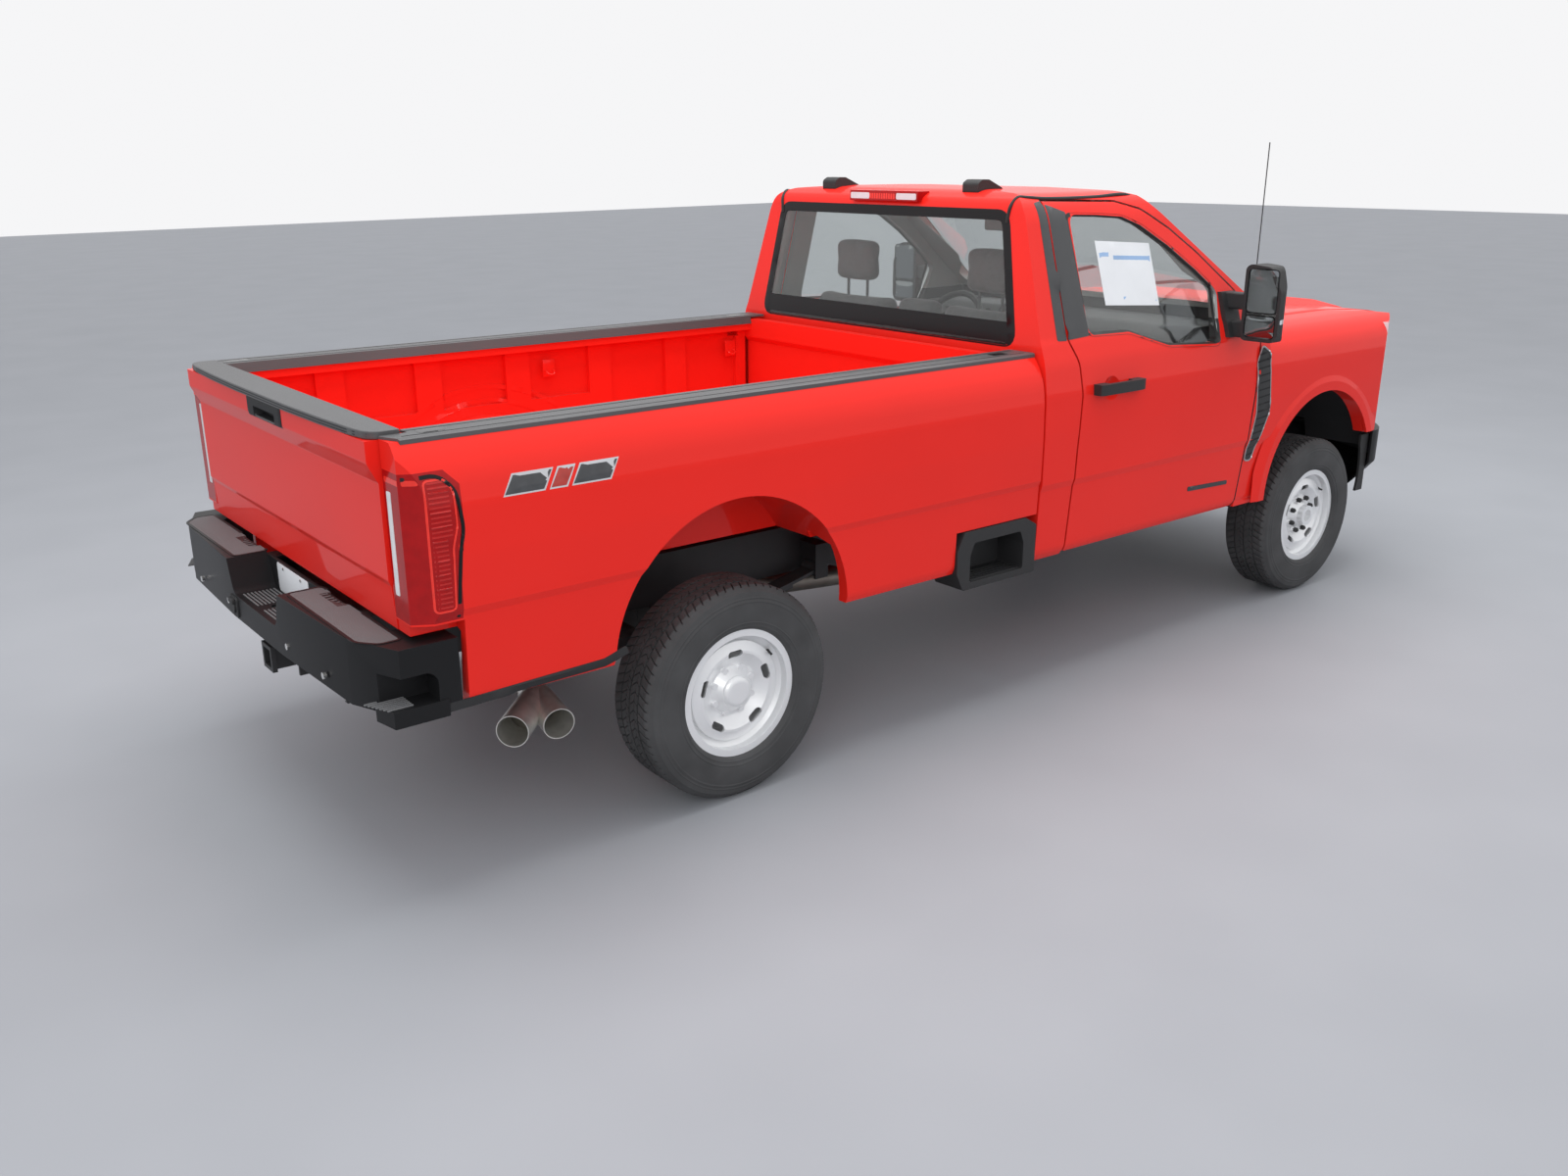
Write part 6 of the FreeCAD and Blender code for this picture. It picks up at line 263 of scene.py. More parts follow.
# %% Finishes
PAINT = (0.86, 0.020, 0.012)
PAINT_COAT = dict(drift=0.03, patches=1.2, coat=0.4, specular=0.08, grain=0.012, grains=260.0)
RECIPES = {
    "red_paint": (PAINT, 0.42, PAINT_COAT),
    "cab_paint": (PAINT, 0.42, dict(PAINT_COAT, lined=True)),
    "frame_black": ((0.018, 0.018, 0.019), 0.5, dict(drift=0.25, patches=6.0, grain=0.15, grains=120.0)),
    "bumper_black": ((0.014, 0.014, 0.015), 0.42, dict(drift=0.1, grain=0.05, grains=900.0, specular=0.15)),
    "axle_black": ((0.035, 0.034, 0.033), 0.75, dict(drift=0.3, patches=9.0, grain=0.4, grains=180.0)),
    "spring_steel": ((0.05, 0.05, 0.052), 0.55, dict(metal=0.4, drift=0.25, patches=12.0, grain=0.15)),
    "engine_grey": ((0.16, 0.16, 0.165), 0.7, dict(metal=0.3, drift=0.15, grain=0.4)),
    "gearbox_grey": ((0.36, 0.36, 0.37), 0.5, dict(metal=0.8, drift=0.12, grain=0.3, grains=150.0)),
    "exhaust_steel": ((0.28, 0.25, 0.22), 0.42, dict(metal=0.9, drift=0.25, patches=7.0, grain=0.1)),
    "chrome": ((0.78, 0.77, 0.75), 0.07, dict(metal=1.0, drift=0.05, patches=20.0, wear=0.5)),
    "wheel_silver": ((0.88, 0.885, 0.89), 0.36,
                     dict(metal=0.45, drift=0.04, grain=0.05, grains=900.0, coat=0.3)),
    "tyre_rubber": ((0.052, 0.052, 0.053), 0.74,
                    dict(drift=0.25, patches=7.0, grain=0.2, grains=500.0, wear=0.12)),
    "black_plastic": ((0.019, 0.019, 0.020), 0.6, dict(drift=0.12, grain=0.35, grains=1400.0, cells=True)),
    "grey_plastic": ((0.10, 0.10, 0.105), 0.62, dict(drift=0.1, grain=0.3, grains=1200.0, cells=True)),
    "grey_fabric": ((0.115, 0.115, 0.12), 0.95,
                    dict(drift=0.15, patches=60.0, grain=0.8, grains=900.0, sheen=0.3)),
    "tinted_glass": ((0.94, 0.97, 0.955), 0.012, dict(drift=0.02, clear=1.0, specular=0.2, wear=0.4)),
    "lamp_red": ((0.38, 0.003, 0.004), 0.18, dict(drift=0.1, patches=30.0, coat=0.2, specular=0.2)),
    "lamp_amber": ((0.75, 0.25, 0.01), 0.15, dict(drift=0.1, patches=30.0, coat=1.0)),
    "lamp_clear": ((0.72, 0.74, 0.76), 0.12, dict(drift=0.05, patches=30.0, coat=1.0)),
    "radiator_metal": ((0.16, 0.16, 0.165), 0.5, dict(metal=0.8, drift=0.2, patches=20.0, grain=0.3)),
    "mirror_glass": ((0.22, 0.23, 0.24), 0.04, dict(metal=1.0, drift=0.03)),
    # Dark grey, lighter than the black plastics: partly the caps' own plastic, partly painted sheen of the light
    # from above
    "cap_plastic_and_sheen": ((0.075, 0.075, 0.077), 0.45, dict(drift=0.1, grain=0.25, grains=1400.0, cells=True,
                                                      specular=0.6)),
    "pillar_plastic": ((0.055, 0.056, 0.058), 0.5, dict(drift=0.08, grain=0.3, grains=1400.0, cells=True)),
    "tip_steel": ((0.66, 0.65, 0.61), 0.32, dict(metal=0.75, drift=0.12, patches=25.0, wear=0.3)),
    # Dark brown-black disc colour: painted shade deep inside the tail pipes
    "pipe_depth_shade": ((0.09, 0.08, 0.062), 0.8, dict(drift=0.3, patches=30.0, grain=0.4)),
    "seal_rubber": ((0.012, 0.012, 0.012), 0.5, dict(drift=0.1, grain=0.1, grains=700.0)),
    "gloss_black": ((0.008, 0.008, 0.009), 0.16, dict(drift=0.05, specular=0.25)),
    # Pale grey: partly the textured plastic, partly painted sky reflection on its top faces
    "tread_plastic_and_sky_sheen": ((0.15, 0.15, 0.152), 0.75, dict(drift=0.1, grain=0.7, grains=420.0, cells=True)),
    "satin_metal": ((0.50, 0.50, 0.51), 0.3, dict(metal=1.0, drift=0.05, grain=0.03)),
    "dark_chrome": ((0.10, 0.10, 0.105), 0.2, dict(metal=1.0, drift=0.1)),
    "graphic_dark": ((0.045, 0.047, 0.050), 0.4, dict(drift=0.25, patches=25.0, coat=0.5)),
    "graphic_silver": ((0.55, 0.55, 0.56), 0.35, dict(drift=0.05, coat=0.5)),
    "graphic_red": ((0.42, 0.03, 0.02), 0.35, dict(drift=0.2, patches=25.0, coat=0.5)),
    "lamp_rib": ((0.50, 0.012, 0.010), 0.2, dict(drift=0.08, patches=40.0, coat=0.4, specular=0.3)),
    # Bright red: the high lamp's cells, and also painted highlights on the rear lamps' rims and tops
    "lamp_cells_and_highlights": ((0.85, 0.035, 0.022), 0.2, dict(drift=0.08, patches=40.0, coat=0.4, specular=0.3)),
    "lamp_white": ((0.80, 0.80, 0.80), 0.2, dict(drift=0.06, patches=40.0, coat=1.0)),
    "pale_sheet": ((0.78, 0.79, 0.80), 0.55, dict(drift=0.03, patches=8.0)),
    "pale_blue": ((0.30, 0.45, 0.68), 0.55, dict(drift=0.05, patches=8.0)),
    "pale_lining": ((0.42, 0.42, 0.41), 0.85, dict(drift=0.05, grain=0.3, grains=700.0)),
}
FINISH = {name: finish(name, colour, rough, **rest) for name, (colour, rough, rest) in RECIPES.items()}
NODE_LOOKS = {part["node"]: part["material_slot"] for part in frame["record"]["subparts"]}
# Rail caps and tailgate top get the cap finish, its grey partly painted sheen
NODE_LOOKS.update(cab="cab_paint", door_left="cab_paint", door_right="cab_paint", rail_caps="cap_plastic_and_sheen",
                  tailgate_trim="cap_plastic_and_sheen", exhaust_tips="tip_steel")
for node, solid in frame["nodes"].items():
    solid.data.materials.clear()
    solid.data.materials.append(FINISH[NODE_LOOKS[node]])
print("finishes:", len(FINISH), "solids dressed:", len(NODE_LOOKS))

# %% [markdown]
# Small pieces are laid out flat, in the body's own level frame: x from the rear axle, z from the ground.
# The body sits nose down by its rake, so each one is tipped with it. They could be placed straight in the
# truck's frame, but then every outline would have to be read off at a slant.

# %% Outlines
WHEEL_RADIUS = 0.394
RAKE = math.radians(0.64)
AXLE_X = next(joint["pos_m"][0] for joint in frame["joints"] if joint["name"] == "spin_rear_right")
BODY = (Matrix.Translation((AXLE_X, 0, WHEEL_RADIUS)) @ Matrix.Rotation(RAKE, 4, "Y")
        @ Matrix.Translation((0, 0, -WHEEL_RADIUS)))
SIDES = (("right", -1), ("left", 1))
ACROSS = {"right": "left", "left": "right"}


def tipped(*points):
    # Points read off the tipped body, in the body's own level frame
    return [(x - RAKE * (z - WHEEL_RADIUS), z + RAKE * x) for x, z in points]


def mirrored(points, sign):
    return [(sign * a, b) for a, b in points]


def rectangle(a0, b0, a1, b1):
    return [(a0, b0), (a1, b0), (a1, b1), (a0, b1)]


def oval(a, b, wide, high, count):
    turns = [math.tau * k / count for k in range(count)]
    return [(a + wide * math.cos(turn), b + high * math.sin(turn)) for turn in turns]


def rounded(loop, radius, steps=5):
    points = []
    for number, corner in enumerate(loop):
        corner = Vector(corner)
        before = Vector(loop[number - 1]) - corner
        after = Vector(loop[(number + 1) % len(loop)]) - corner
        reach = min(radius, 0.45 * before.length, 0.45 * after.length)
        start, end = corner + before.normalized() * reach, corner + after.normalized() * reach
        for step in range(steps + 1):
            t = step / steps
            points.append(start * (1 - t) ** 2 + corner * 2 * t * (1 - t) + end * t * t)
    return points


def rounded_path(points, radius=0.03):
    # The same rounding for an open path: its two ends stay
    closed = rounded([points[0]] + list(points) + [points[-1]], radius)
    return [closed[k] for k in range(len(closed)) if k == 0 or (closed[k] - closed[k - 1]).length > 1e-5]


def strip(path, width, closed=False):
    # The flat quads of a band of one width along a path
    count = len(path)
    sides = []
    for number in range(count):
        here = Vector(path[number])
        ahead = Vector(path[(number + 1) % count]) if closed or number < count - 1 else here
        behind = Vector(path[number - 1]) if closed or number else here
        way = (ahead - behind).normalized()
        turn = Vector((-way.y, way.x)) * width / 2
        sides.append((here + turn, here - turn))
    pairs = [(sides[n], sides[(n + 1) % count]) for n in range(count if closed else count - 1)]
    return [[one[0], two[0], two[1], one[1]] for one, two in pairs]


def border(loop, radius, width):
    return strip(rounded(loop, radius), width, True)


def curve_through(points, parts):
    # A smooth line through the points, a few parts to each span
    line = []
    for number in range(len(points) - 1):
        four = [Vector(points[max(0, min(len(points) - 1, number + k))]) for k in (-1, 0, 1, 2)]
        for part in range(parts):
            t = part / parts
            line.append(0.5 * (2 * four[1] + (four[2] - four[0]) * t
                               + (2 * four[0] - 5 * four[1] + 4 * four[2] - four[3]) * t ** 2
                               + (3 * four[1] - four[0] - 3 * four[2] + four[3]) * t ** 3))
    line.append(Vector(points[-1]))
    return line


print("body stands at", [round(v, 3) for v in BODY.translation])

# %% [markdown]
# Trim follows the panel under it. It could be modelled in place by hand, but a flat outline dropped on the
# skin by rays follows the panel's crown exactly and stays a true thin piece: its border lies lower than its
# middle, and a short wall runs down into the panel.

# %% Laying pieces on a skin
REACH = 6.0
VIEWS = {"right": ((0, -1, 0), 0, 2), "left": ((0, 1, 0), 0, 2), "rear": ((-1, 0, 0), 1, 2),
         "front": ((1, 0, 0), 1, 2), "top": ((0, 0, 1), 0, 1)}
BORDER_SHARE = 0.35
STEEPEST = 0.35
SINK = 0.0015
SKINS = {}


def piece(name, bm, look, body="chassis", place=BODY, sharp=35.0, outward=None):
    bmesh.ops.recalc_face_normals(bm, faces=bm.faces[:])
    if outward is not None and sum(f.normal.dot(outward) * f.calc_area() for f in bm.faces) < 0:
        bmesh.ops.reverse_faces(bm, faces=bm.faces[:])
    for face in bm.faces:
        face.smooth = True
    for edge in bm.edges:
        if len(edge.link_faces) == 2 and edge.calc_face_angle(0.0) > math.radians(sharp):
            edge.smooth = False
    bm.transform(place)
    mesh = bpy.data.meshes.new(name)
    bm.to_mesh(mesh)
    bm.free()
    mesh.materials.append(FINISH[look])
    thing = bpy.data.objects.new(name, mesh)
    bpy.context.scene.collection.objects.link(thing)
    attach(thing, body)
    return thing


def skin(nodes):
    if nodes not in SKINS:
        bpy.context.view_layer.update()
        corners, faces = [], []
        for node in nodes:
            solid = frame["nodes"][node]
            first = len(corners)
            corners += [solid.matrix_world @ v.co for v in solid.data.vertices]
            faces += [[first + i for i in f.vertices] for f in solid.data.polygons]
        SKINS[nodes] = BVHTree.FromPolygons(corners, faces)
    return SKINS[nodes]


def landing(node, start, way):
    # Where a ray lands on the skin of a node, in the body's own frame
    hit = skin((node,)).ray_cast(BODY @ Vector(start), Vector(way))[0]
    return None if hit is None else BODY.inverted() @ hit


def outline_mesh(loops, axes, edge, step):
    # The flat loops as one mesh, with an inset border and cuts at every step
    bm = bmesh.new()
    for loop in loops:
        corners = []
        for a, b in loop:
            spot = [0.0, 0.0, 0.0]
            spot[axes[0]], spot[axes[1]] = a, b
            corners.append(bm.verts.new(spot))
        bm.faces.new(corners)
    bmesh.ops.remove_doubles(bm, verts=bm.verts[:], dist=1e-5)
    if edge:
        bmesh.ops.inset_region(bm, faces=bm.faces[:], thickness=edge, use_even_offset=True)
    for axis in axes:
        low = min(v.co[axis] for v in bm.verts)
        high = max(v.co[axis] for v in bm.verts)
        normal = [0.0, 0.0, 0.0]
        normal[axis] = 1.0
        for number in range(1, int((high - low) / step) + 1):
            spot = [0.0, 0.0, 0.0]
            spot[axis] = low + number * step
            bmesh.ops.bisect_plane(bm, geom=bm.verts[:] + bm.edges[:] + bm.faces[:], plane_co=spot,
                                   plane_no=normal, dist=1e-5)
    return bm


def draped(name, look, loops, view, nodes, body="chassis", soft=0.0, thick=0.002, edge=0.0012, step=0.03,
           start=REACH):
    # Flat loops, their corners rounded by soft, dropped on the skin of the nodes as one thin piece
    if soft:
        loops = [rounded(loop, soft) for loop in loops]
    tree = skin(nodes)
    outward = Vector(VIEWS[view][0])
    bm = outline_mesh(loops, VIEWS[view][1:], edge, step)
    landed, missed = {}, []
    turn = BODY.to_3x3()
    back = BODY.inverted()
    for v in bm.verts:
        hit, normal, _, _ = tree.ray_cast(BODY @ (v.co + outward * start), turn @ -outward)
        if hit is None:
            missed.append(v)
        else:
            landed[v] = (back @ hit, abs(normal.dot(turn @ outward)))
    for v in missed:
        near = min(landed, key=lambda other: (other.co - v.co).length)
        spot = v.co.copy()
        spot += outward * (landed[near][0] - spot).dot(outward)
        landed[v] = (spot, landed[near][1])
    for v, (spot, facing) in landed.items():
        lift = thick * (BORDER_SHARE if v.is_boundary else 1.0)
        v.co = spot + outward * lift / max(facing, STEEPEST)
    rim = [e for e in bm.edges if e.is_boundary]
    made = bmesh.ops.extrude_edge_only(bm, edges=rim)["geom"]
    bmesh.ops.translate(bm, verts=[g for g in made if isinstance(g, bmesh.types.BMVert)],
                        vec=-outward * (thick * BORDER_SHARE + SINK))
    bmesh.ops.triangulate(bm, faces=[f for f in bm.faces if len(f.verts) > 4])
    return piece(name, bm, look, body, outward=outward)


print("views:", sorted(VIEWS))

# %% [markdown]
# Thicker pieces are built from a few shapes: a bevelled box, a rod, a bent bar, a slab cut to an outline
# and a turned profile. Each could be drawn point by point, but a bmesh operator or a simple sweep gives the
# same shape.

# %% Thick shapes
def add_box(bm, one, other, bevel=0.0, segments=2, turn=None):
    low, high = Vector(map(min, one, other)), Vector(map(max, one, other))
    corners = bmesh.ops.create_cube(bm, size=1.0)["verts"]
    bmesh.ops.scale(bm, vec=high - low, verts=corners)
    if bevel:
        edges = list({e for v in corners for e in v.link_edges})
        made = bmesh.ops.bevel(bm, geom=edges, offset=bevel, segments=segments, profile=0.5, affect="EDGES")
        corners = list({v for f in made["faces"] for v in f.verts} | {v for v in corners if v.is_valid})
    if turn is not None:
        bmesh.ops.rotate(bm, verts=corners, cent=(0, 0, 0), matrix=turn)
    bmesh.ops.translate(bm, vec=(low + high) / 2, verts=corners)


def add_rod(bm, start, end, radius, tip=None, sides=16):
    start, end = Vector(start), Vector(end)
    way = end - start
    place = Matrix.Translation((start + end) / 2) @ way.to_track_quat("Z", "Y").to_matrix().to_4x4()
    bmesh.ops.create_cone(bm, cap_ends=True, segments=sides, radius1=radius,
                          radius2=radius if tip is None else tip, depth=way.length, matrix=place)


def join_rings(bm, rings, closed):
    count = len(rings[0])
    for number in range(len(rings) if closed else len(rings) - 1):
        one, two = rings[number], rings[(number + 1) % len(rings)]
        for k in range(count):
            bm.faces.new((one[k], one[(k + 1) % count], two[(k + 1) % count], two[k]))
    if not closed:
        bm.faces.new(rings[0])
        bm.faces.new(rings[-1])


def add_bent(bm, path, radius, sides=10):
    # A round bar along a path
    rings = []
    path = [Vector(p) for p in path]
    lean = None
    for number, here in enumerate(path):
        ahead = path[min(number + 1, len(path) - 1)]
        behind = path[max(number - 1, 0)]
        way = (ahead - behind).normalized()
        if lean is None:
            lean = way.orthogonal()
        lean = (lean - way * lean.dot(way)).normalized()
        across = way.cross(lean)
        rings.append([bm.verts.new(here + radius * (math.cos(a) * lean + math.sin(a) * across))
                      for a in (math.tau * k / sides for k in range(sides))])
    join_rings(bm, rings, False)


def add_slab(bm, loop, axis, low, high, bevel=0.0):
    # A flat outline made thick along one axis
    a_axis, b_axis, level_axis = {"x": (1, 2, 0), "y": (0, 2, 1)}[axis]
    rings = []
    for level in (low, high):
        ring = []
        for a, b in loop:
            spot = [0.0, 0.0, 0.0]
            spot[a_axis], spot[b_axis], spot[level_axis] = a, b, level
            ring.append(bm.verts.new(spot))
        rings.append(ring)
    count = len(loop)
    caps = [bm.faces.new(rings[0]), bm.faces.new(rings[1])]
    for k in range(count):
        n = (k + 1) % count
        bm.faces.new((rings[0][k], rings[0][n], rings[1][n], rings[1][k]))
    if bevel:
        edges = list({e for cap in caps for e in cap.edges})
        bmesh.ops.bevel(bm, geom=edges, offset=bevel, segments=2, profile=0.5, affect="EDGES")


def add_turned(bm, profile, sides):
    # A closed profile of (along, radius) points turned about the y axis
    turns = [math.tau * k / sides for k in range(sides)]
    rings = [[bm.verts.new((radius * math.cos(a), along, radius * math.sin(a))) for a in turns]
             for along, radius in profile]
    join_rings(bm, rings, True)


print("shapes:", [shape.__name__ for shape in (add_box, add_rod, add_bent, add_slab, add_turned)])

# %% [markdown]
# The tyres are all-season truck tyres: four rows of small blocks with narrow slanted slots, and shoulder
# blocks that run over the edge. The tread could be a bump pattern, but it shows in profile against the
# floor, so each block is made once as a short bevelled wedge and repeated round the carcass. The carcass
# keeps the solid's own section.

# %% Tyre carcass
TYRE_HALF = 0.124
TYRE_LIP = 0.2343
TYRE_BEAD = (0.0967, 0.2163)
TYRE_SIDE_SHARES = [(0.835, 0.0), (0.930, 0.060), (0.985, 0.200), (1.0, 0.400), (0.985, 0.620),
                    (0.930, 0.850)]
TREAD_HALF = 0.100
TREAD_DEPTH = 0.009
SIDE_RINGS = (0.2485, 0.262, 0.338, 0.349)
RING_HALF = 0.0022
RING_HEIGHT = 0.0016


def tyre_side():
    span = WHEEL_RADIUS - TYRE_LIP
    side = curve_through([(u * TYRE_HALF, TYRE_LIP + v * span) for u, v in TYRE_SIDE_SHARES], 12)
    line = [Vector(TYRE_BEAD), Vector((TYRE_BEAD[0], TYRE_LIP))]
    for spot in side:
        raised = any(abs(spot.y - ring) < RING_HALF for ring in SIDE_RINGS)
        line.append(spot + Vector((RING_HEIGHT if raised else 0.0, 0.0)))
    return line + [Vector((TREAD_HALF, WHEEL_RADIUS - TREAD_DEPTH))]


print("side points:", len(tyre_side()))

# %% Tread
PITCHES = 74
BLOCK_DEPTH = 0.011
BLOCK_EDGE = 0.0012
CENTRE_ROWS = ((-0.0455, -0.0045), (0.0045, 0.0455))
CENTRE_GAP = (0.006, 0.0045)
CENTRE_SHARE, SHOULDER_SHARE = 0.86, 0.84
CENTRE_LEAN, SHOULDER_LEAN = 2.1, 1.2
SHOULDER = [(0.0545, 0.0003), (0.078, 0.0012), (0.091, 0.0022), (0.1005, 0.0085), (0.1075, 0.0165)]
SHOULDER_TIP = [(0.1135, 0.027)]
WHEELS = [(end, side) for end in ("front", "rear") for side in ("left", "right")]


def add_block(bm, line, start, span, lean):
    # One tread block: a section line of (along, radius) swept through a short arc, with its border let down
    grid = []
    for share, drop in ((0.0, BLOCK_EDGE), (0.06, 0.0), (0.94, 0.0), (1.0, BLOCK_EDGE)):
        ring = []
        for number, (along, radius) in enumerate(line):
            low = BLOCK_EDGE if number in (0, len(line) - 1) else 0.0
            angle = start + share * span + lean * along
            r = radius - max(drop, low)
            ring.append(bm.verts.new((r * math.sin(angle), along, r * math.cos(angle))))
        grid.append(ring)
    for one, two in zip(grid, grid[1:]):
        for k in range(len(line) - 1):
            bm.faces.new((one[k], one[k + 1], two[k + 1], two[k]))
    rim = grid[0] + [ring[-1] for ring in grid[1:-1]] + grid[-1][::-1] + [ring[0] for ring in grid[-2:0:-1]]
    feet = []
    for v in rim:
        inward = 1 - BLOCK_DEPTH / math.hypot(v.co.x, v.co.z)
        feet.append(bm.verts.new((v.co.x * inward, v.co.y * 0.995, v.co.z * inward)))
    for k in range(len(rim)):
        n = (k + 1) % len(rim)
        bm.faces.new((rim[k], rim[n], feet[n], feet[k]))


def make_tyre(node, body):
    low, high = (Vector(c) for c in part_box(node))
    bm = bmesh.new()
    side = tyre_side()
    add_turned(bm, side + [Vector((-v.x, v.y)) for v in reversed(side)], 144)
    pitch = math.tau / PITCHES
    crown = WHEEL_RADIUS
    for number in range(PITCHES):
        start = number * pitch
        for inner, outer in CENTRE_ROWS:
            middle = (inner + outer) / 2
            add_block(bm, [(inner, crown), (middle - CENTRE_GAP[0], crown)], start, pitch * CENTRE_SHARE,
                      CENTRE_LEAN)
            add_block(bm, [(middle - CENTRE_GAP[1], crown), (outer, crown)], start + pitch * 0.5,
                      pitch * CENTRE_SHARE, -CENTRE_LEAN)
        shoulder = SHOULDER + (SHOULDER_TIP if number % 2 else [])
        for sign in (-1, 1):
            line = [(sign * along, crown - drop) for along, drop in shoulder]
            add_block(bm, line, start + (0.25 if sign > 0 else 0.0) * pitch, pitch * SHOULDER_SHARE,
                      -SHOULDER_LEAN * sign)
    place = Matrix.Translation((low + high) / 2)
    thing = piece(node + "_tread", bm, "tyre_rubber", body, place=place, sharp=28)
    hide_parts(node)
    return thing


for end, side in WHEELS:
    tyre = make_tyre("tyre_%s_%s" % (end, side), "wheel_%s_%s" % (end, side))
print("tyre faces:", len(tyre.data.polygons))

# %% [markdown]
# A valve sits on each steel wheel and a ring of nuts on the front ones, where no cap hides them. They could
# be left to the disc's own steps, but they catch the light as small bright points, so they are short
# six-sided pieces.

# %% Wheel fittings
NUT_COUNT = 8
NUT_CIRCLE = 0.085
NUT_RADIUS = 0.0125
NUT_HEIGHT, NUT_CROWN, NUT_SEAT = 0.016, 0.006, 0.002
VALVE_CIRCLE, VALVE_ANGLE = 0.192, 0.6
VALVE_RADII = (0.0075, 0.005, 0.0045)


def wheel_fittings(end, side):
    node = "rim_%s_%s" % (end, side)
    low, high = (Vector(c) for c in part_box(node))
    centre = (low + high) / 2
    out = Vector((0, 1 if side == "left" else -1, 0))
    tree = skin((node,))
    bm = bmesh.new()
    for number in range(NUT_COUNT if end == "front" else 0):
        angle = math.tau * (number + 0.5) / NUT_COUNT
        spot = centre + NUT_CIRCLE * Vector((math.cos(angle), 0, math.sin(angle)))
        hit = tree.ray_cast(spot + out, -out)[0]
        top = hit + out * NUT_HEIGHT
        add_rod(bm, hit - out * NUT_SEAT, top, NUT_RADIUS, sides=6)
        add_rod(bm, top, top + out * NUT_CROWN, NUT_RADIUS * 0.8, NUT_RADIUS * 0.45, sides=12)
    spot = centre + VALVE_CIRCLE * Vector((math.cos(VALVE_ANGLE), 0, math.sin(VALVE_ANGLE)))
    hit = tree.ray_cast(spot + out, -out)[0]
    stem = out * 0.03 + Vector((-0.006, 0, -0.004))
    add_rod(bm, hit - out * NUT_SEAT, hit + stem * 0.45, VALVE_RADII[0], VALVE_RADII[1])
    add_rod(bm, hit + stem * 0.4, hit + stem, VALVE_RADII[2])
    piece("wheel_nuts_%s_%s" % (end, side), bm, "frame_black", "wheel_%s_%s" % (end, side),
          place=Matrix.Identity(4))


for end, side in WHEELS:
    wheel_fittings(end, side)
print("wheel fittings:", len(WHEELS))

# %% [markdown]
# The cab holds a split bench: two shaped outer seats with headrests and a narrow middle seat, in woven
# cloth over foam. Crowned boxes could do, but foam under cloth bulges between its seams. Each cushion
# starts a little small, is blown up as cloth for a moment and stopped short, and then gets its sewn
# channels.

# %% Cushions
PUFF_FRAMES = 20
PUFF_CAP = 0.024
CLOTH_PRESSURE = 4.0
CLOTH_QUALITY, CLOTH_MASS = 4, 0.3
SEAM_FACING = 0.3


def foam_blank(low, high, shrink, corner, cell):
    bm = bmesh.new()
    add_box(bm, Vector(low) + Vector((shrink,) * 3), Vector(high) - Vector((shrink,) * 3), corner, segments=4)
    mesh = bpy.data.meshes.new("foam")
    bm.to_mesh(mesh)
    bm.free()
    blank = bpy.data.objects.new("foam", mesh)
    bpy.context.scene.collection.objects.link(blank)
    remesh = blank.modifiers.new("even_cells", "REMESH")
    remesh.mode = "VOXEL"
    remesh.voxel_size = cell
    bpy.context.view_layer.update()
    even = bpy.data.meshes.new_from_object(blank.evaluated_get(bpy.context.evaluated_depsgraph_get()))
    blank.modifiers.clear()
    blank.data = even
    return blank


def blow_up(blank, cap):
    # Lets the cloth swell for a moment, and stops each point after a set distance
    rest = [v.co.copy() for v in blank.data.vertices]
    cloth = blank.modifiers.new("swell", "CLOTH")
    cloth.settings.quality = CLOTH_QUALITY
    cloth.settings.mass = CLOTH_MASS
    cloth.settings.use_pressure = True
    cloth.settings.uniform_pressure_force = CLOTH_PRESSURE
    cloth.settings.effector_weights.gravity = 0.0
    cloth.point_cache.frame_start = 1
    cloth.point_cache.frame_end = PUFF_FRAMES
    scene = bpy.context.scene
    for number in range(1, PUFF_FRAMES + 1):
        scene.frame_set(number)
    swollen = blank.evaluated_get(bpy.context.evaluated_depsgraph_get()).to_mesh()
    moved = [v.co.copy() for v in swollen.vertices]
    blank.modifiers.clear()
    scene.frame_set(1)
    for v, start, end in zip(blank.data.vertices, rest, moved):
        way = end - start
        v.co = start + way * min(1.0, cap / max(way.length, 1e-6))


def sew(points, axis, places, along, depth, width):
    # Sewn channels: points near each place are drawn in along one axis, on the face that looks that way
    for v in points:
        for place in places:
            if v.normal[along] > SEAM_FACING:
                v.co[along] -= depth * math.exp(-((v.co[axis] - place) / width) ** 2)


def pad(thing):
    smooth = thing.modifiers.new("one_more", "SUBSURF")
    smooth.levels = smooth.render_levels = 1


def cushion(name, low, high, cell=0.0125, shrink=0.016, corner=0.036, cap=PUFF_CAP, sews=()):
    blank = foam_blank(low, high, shrink, corner, cell)
    blow_up(blank, cap)
    bm = bmesh.new()
    bm.from_mesh(blank.data)
    bm.normal_update()
    for seams in sews:
        sew(bm.verts, *seams)
    bpy.data.objects.remove(blank)
    thing = piece(name, bm, "grey_fabric", sharp=180)
    pad(thing)
    return thing


def mirrored_copy(thing, name):
    mesh = thing.data.copy()
    mesh.transform(Matrix.Scale(-1, 4, (0, 1, 0)))
    mesh.flip_normals()
    twin = bpy.data.objects.new(name, mesh)
    bpy.context.scene.collection.objects.link(twin)
    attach(twin, "chassis")
    pad(twin)


print("puff:", PUFF_FRAMES, "frames, at most", PUFF_CAP, "m")

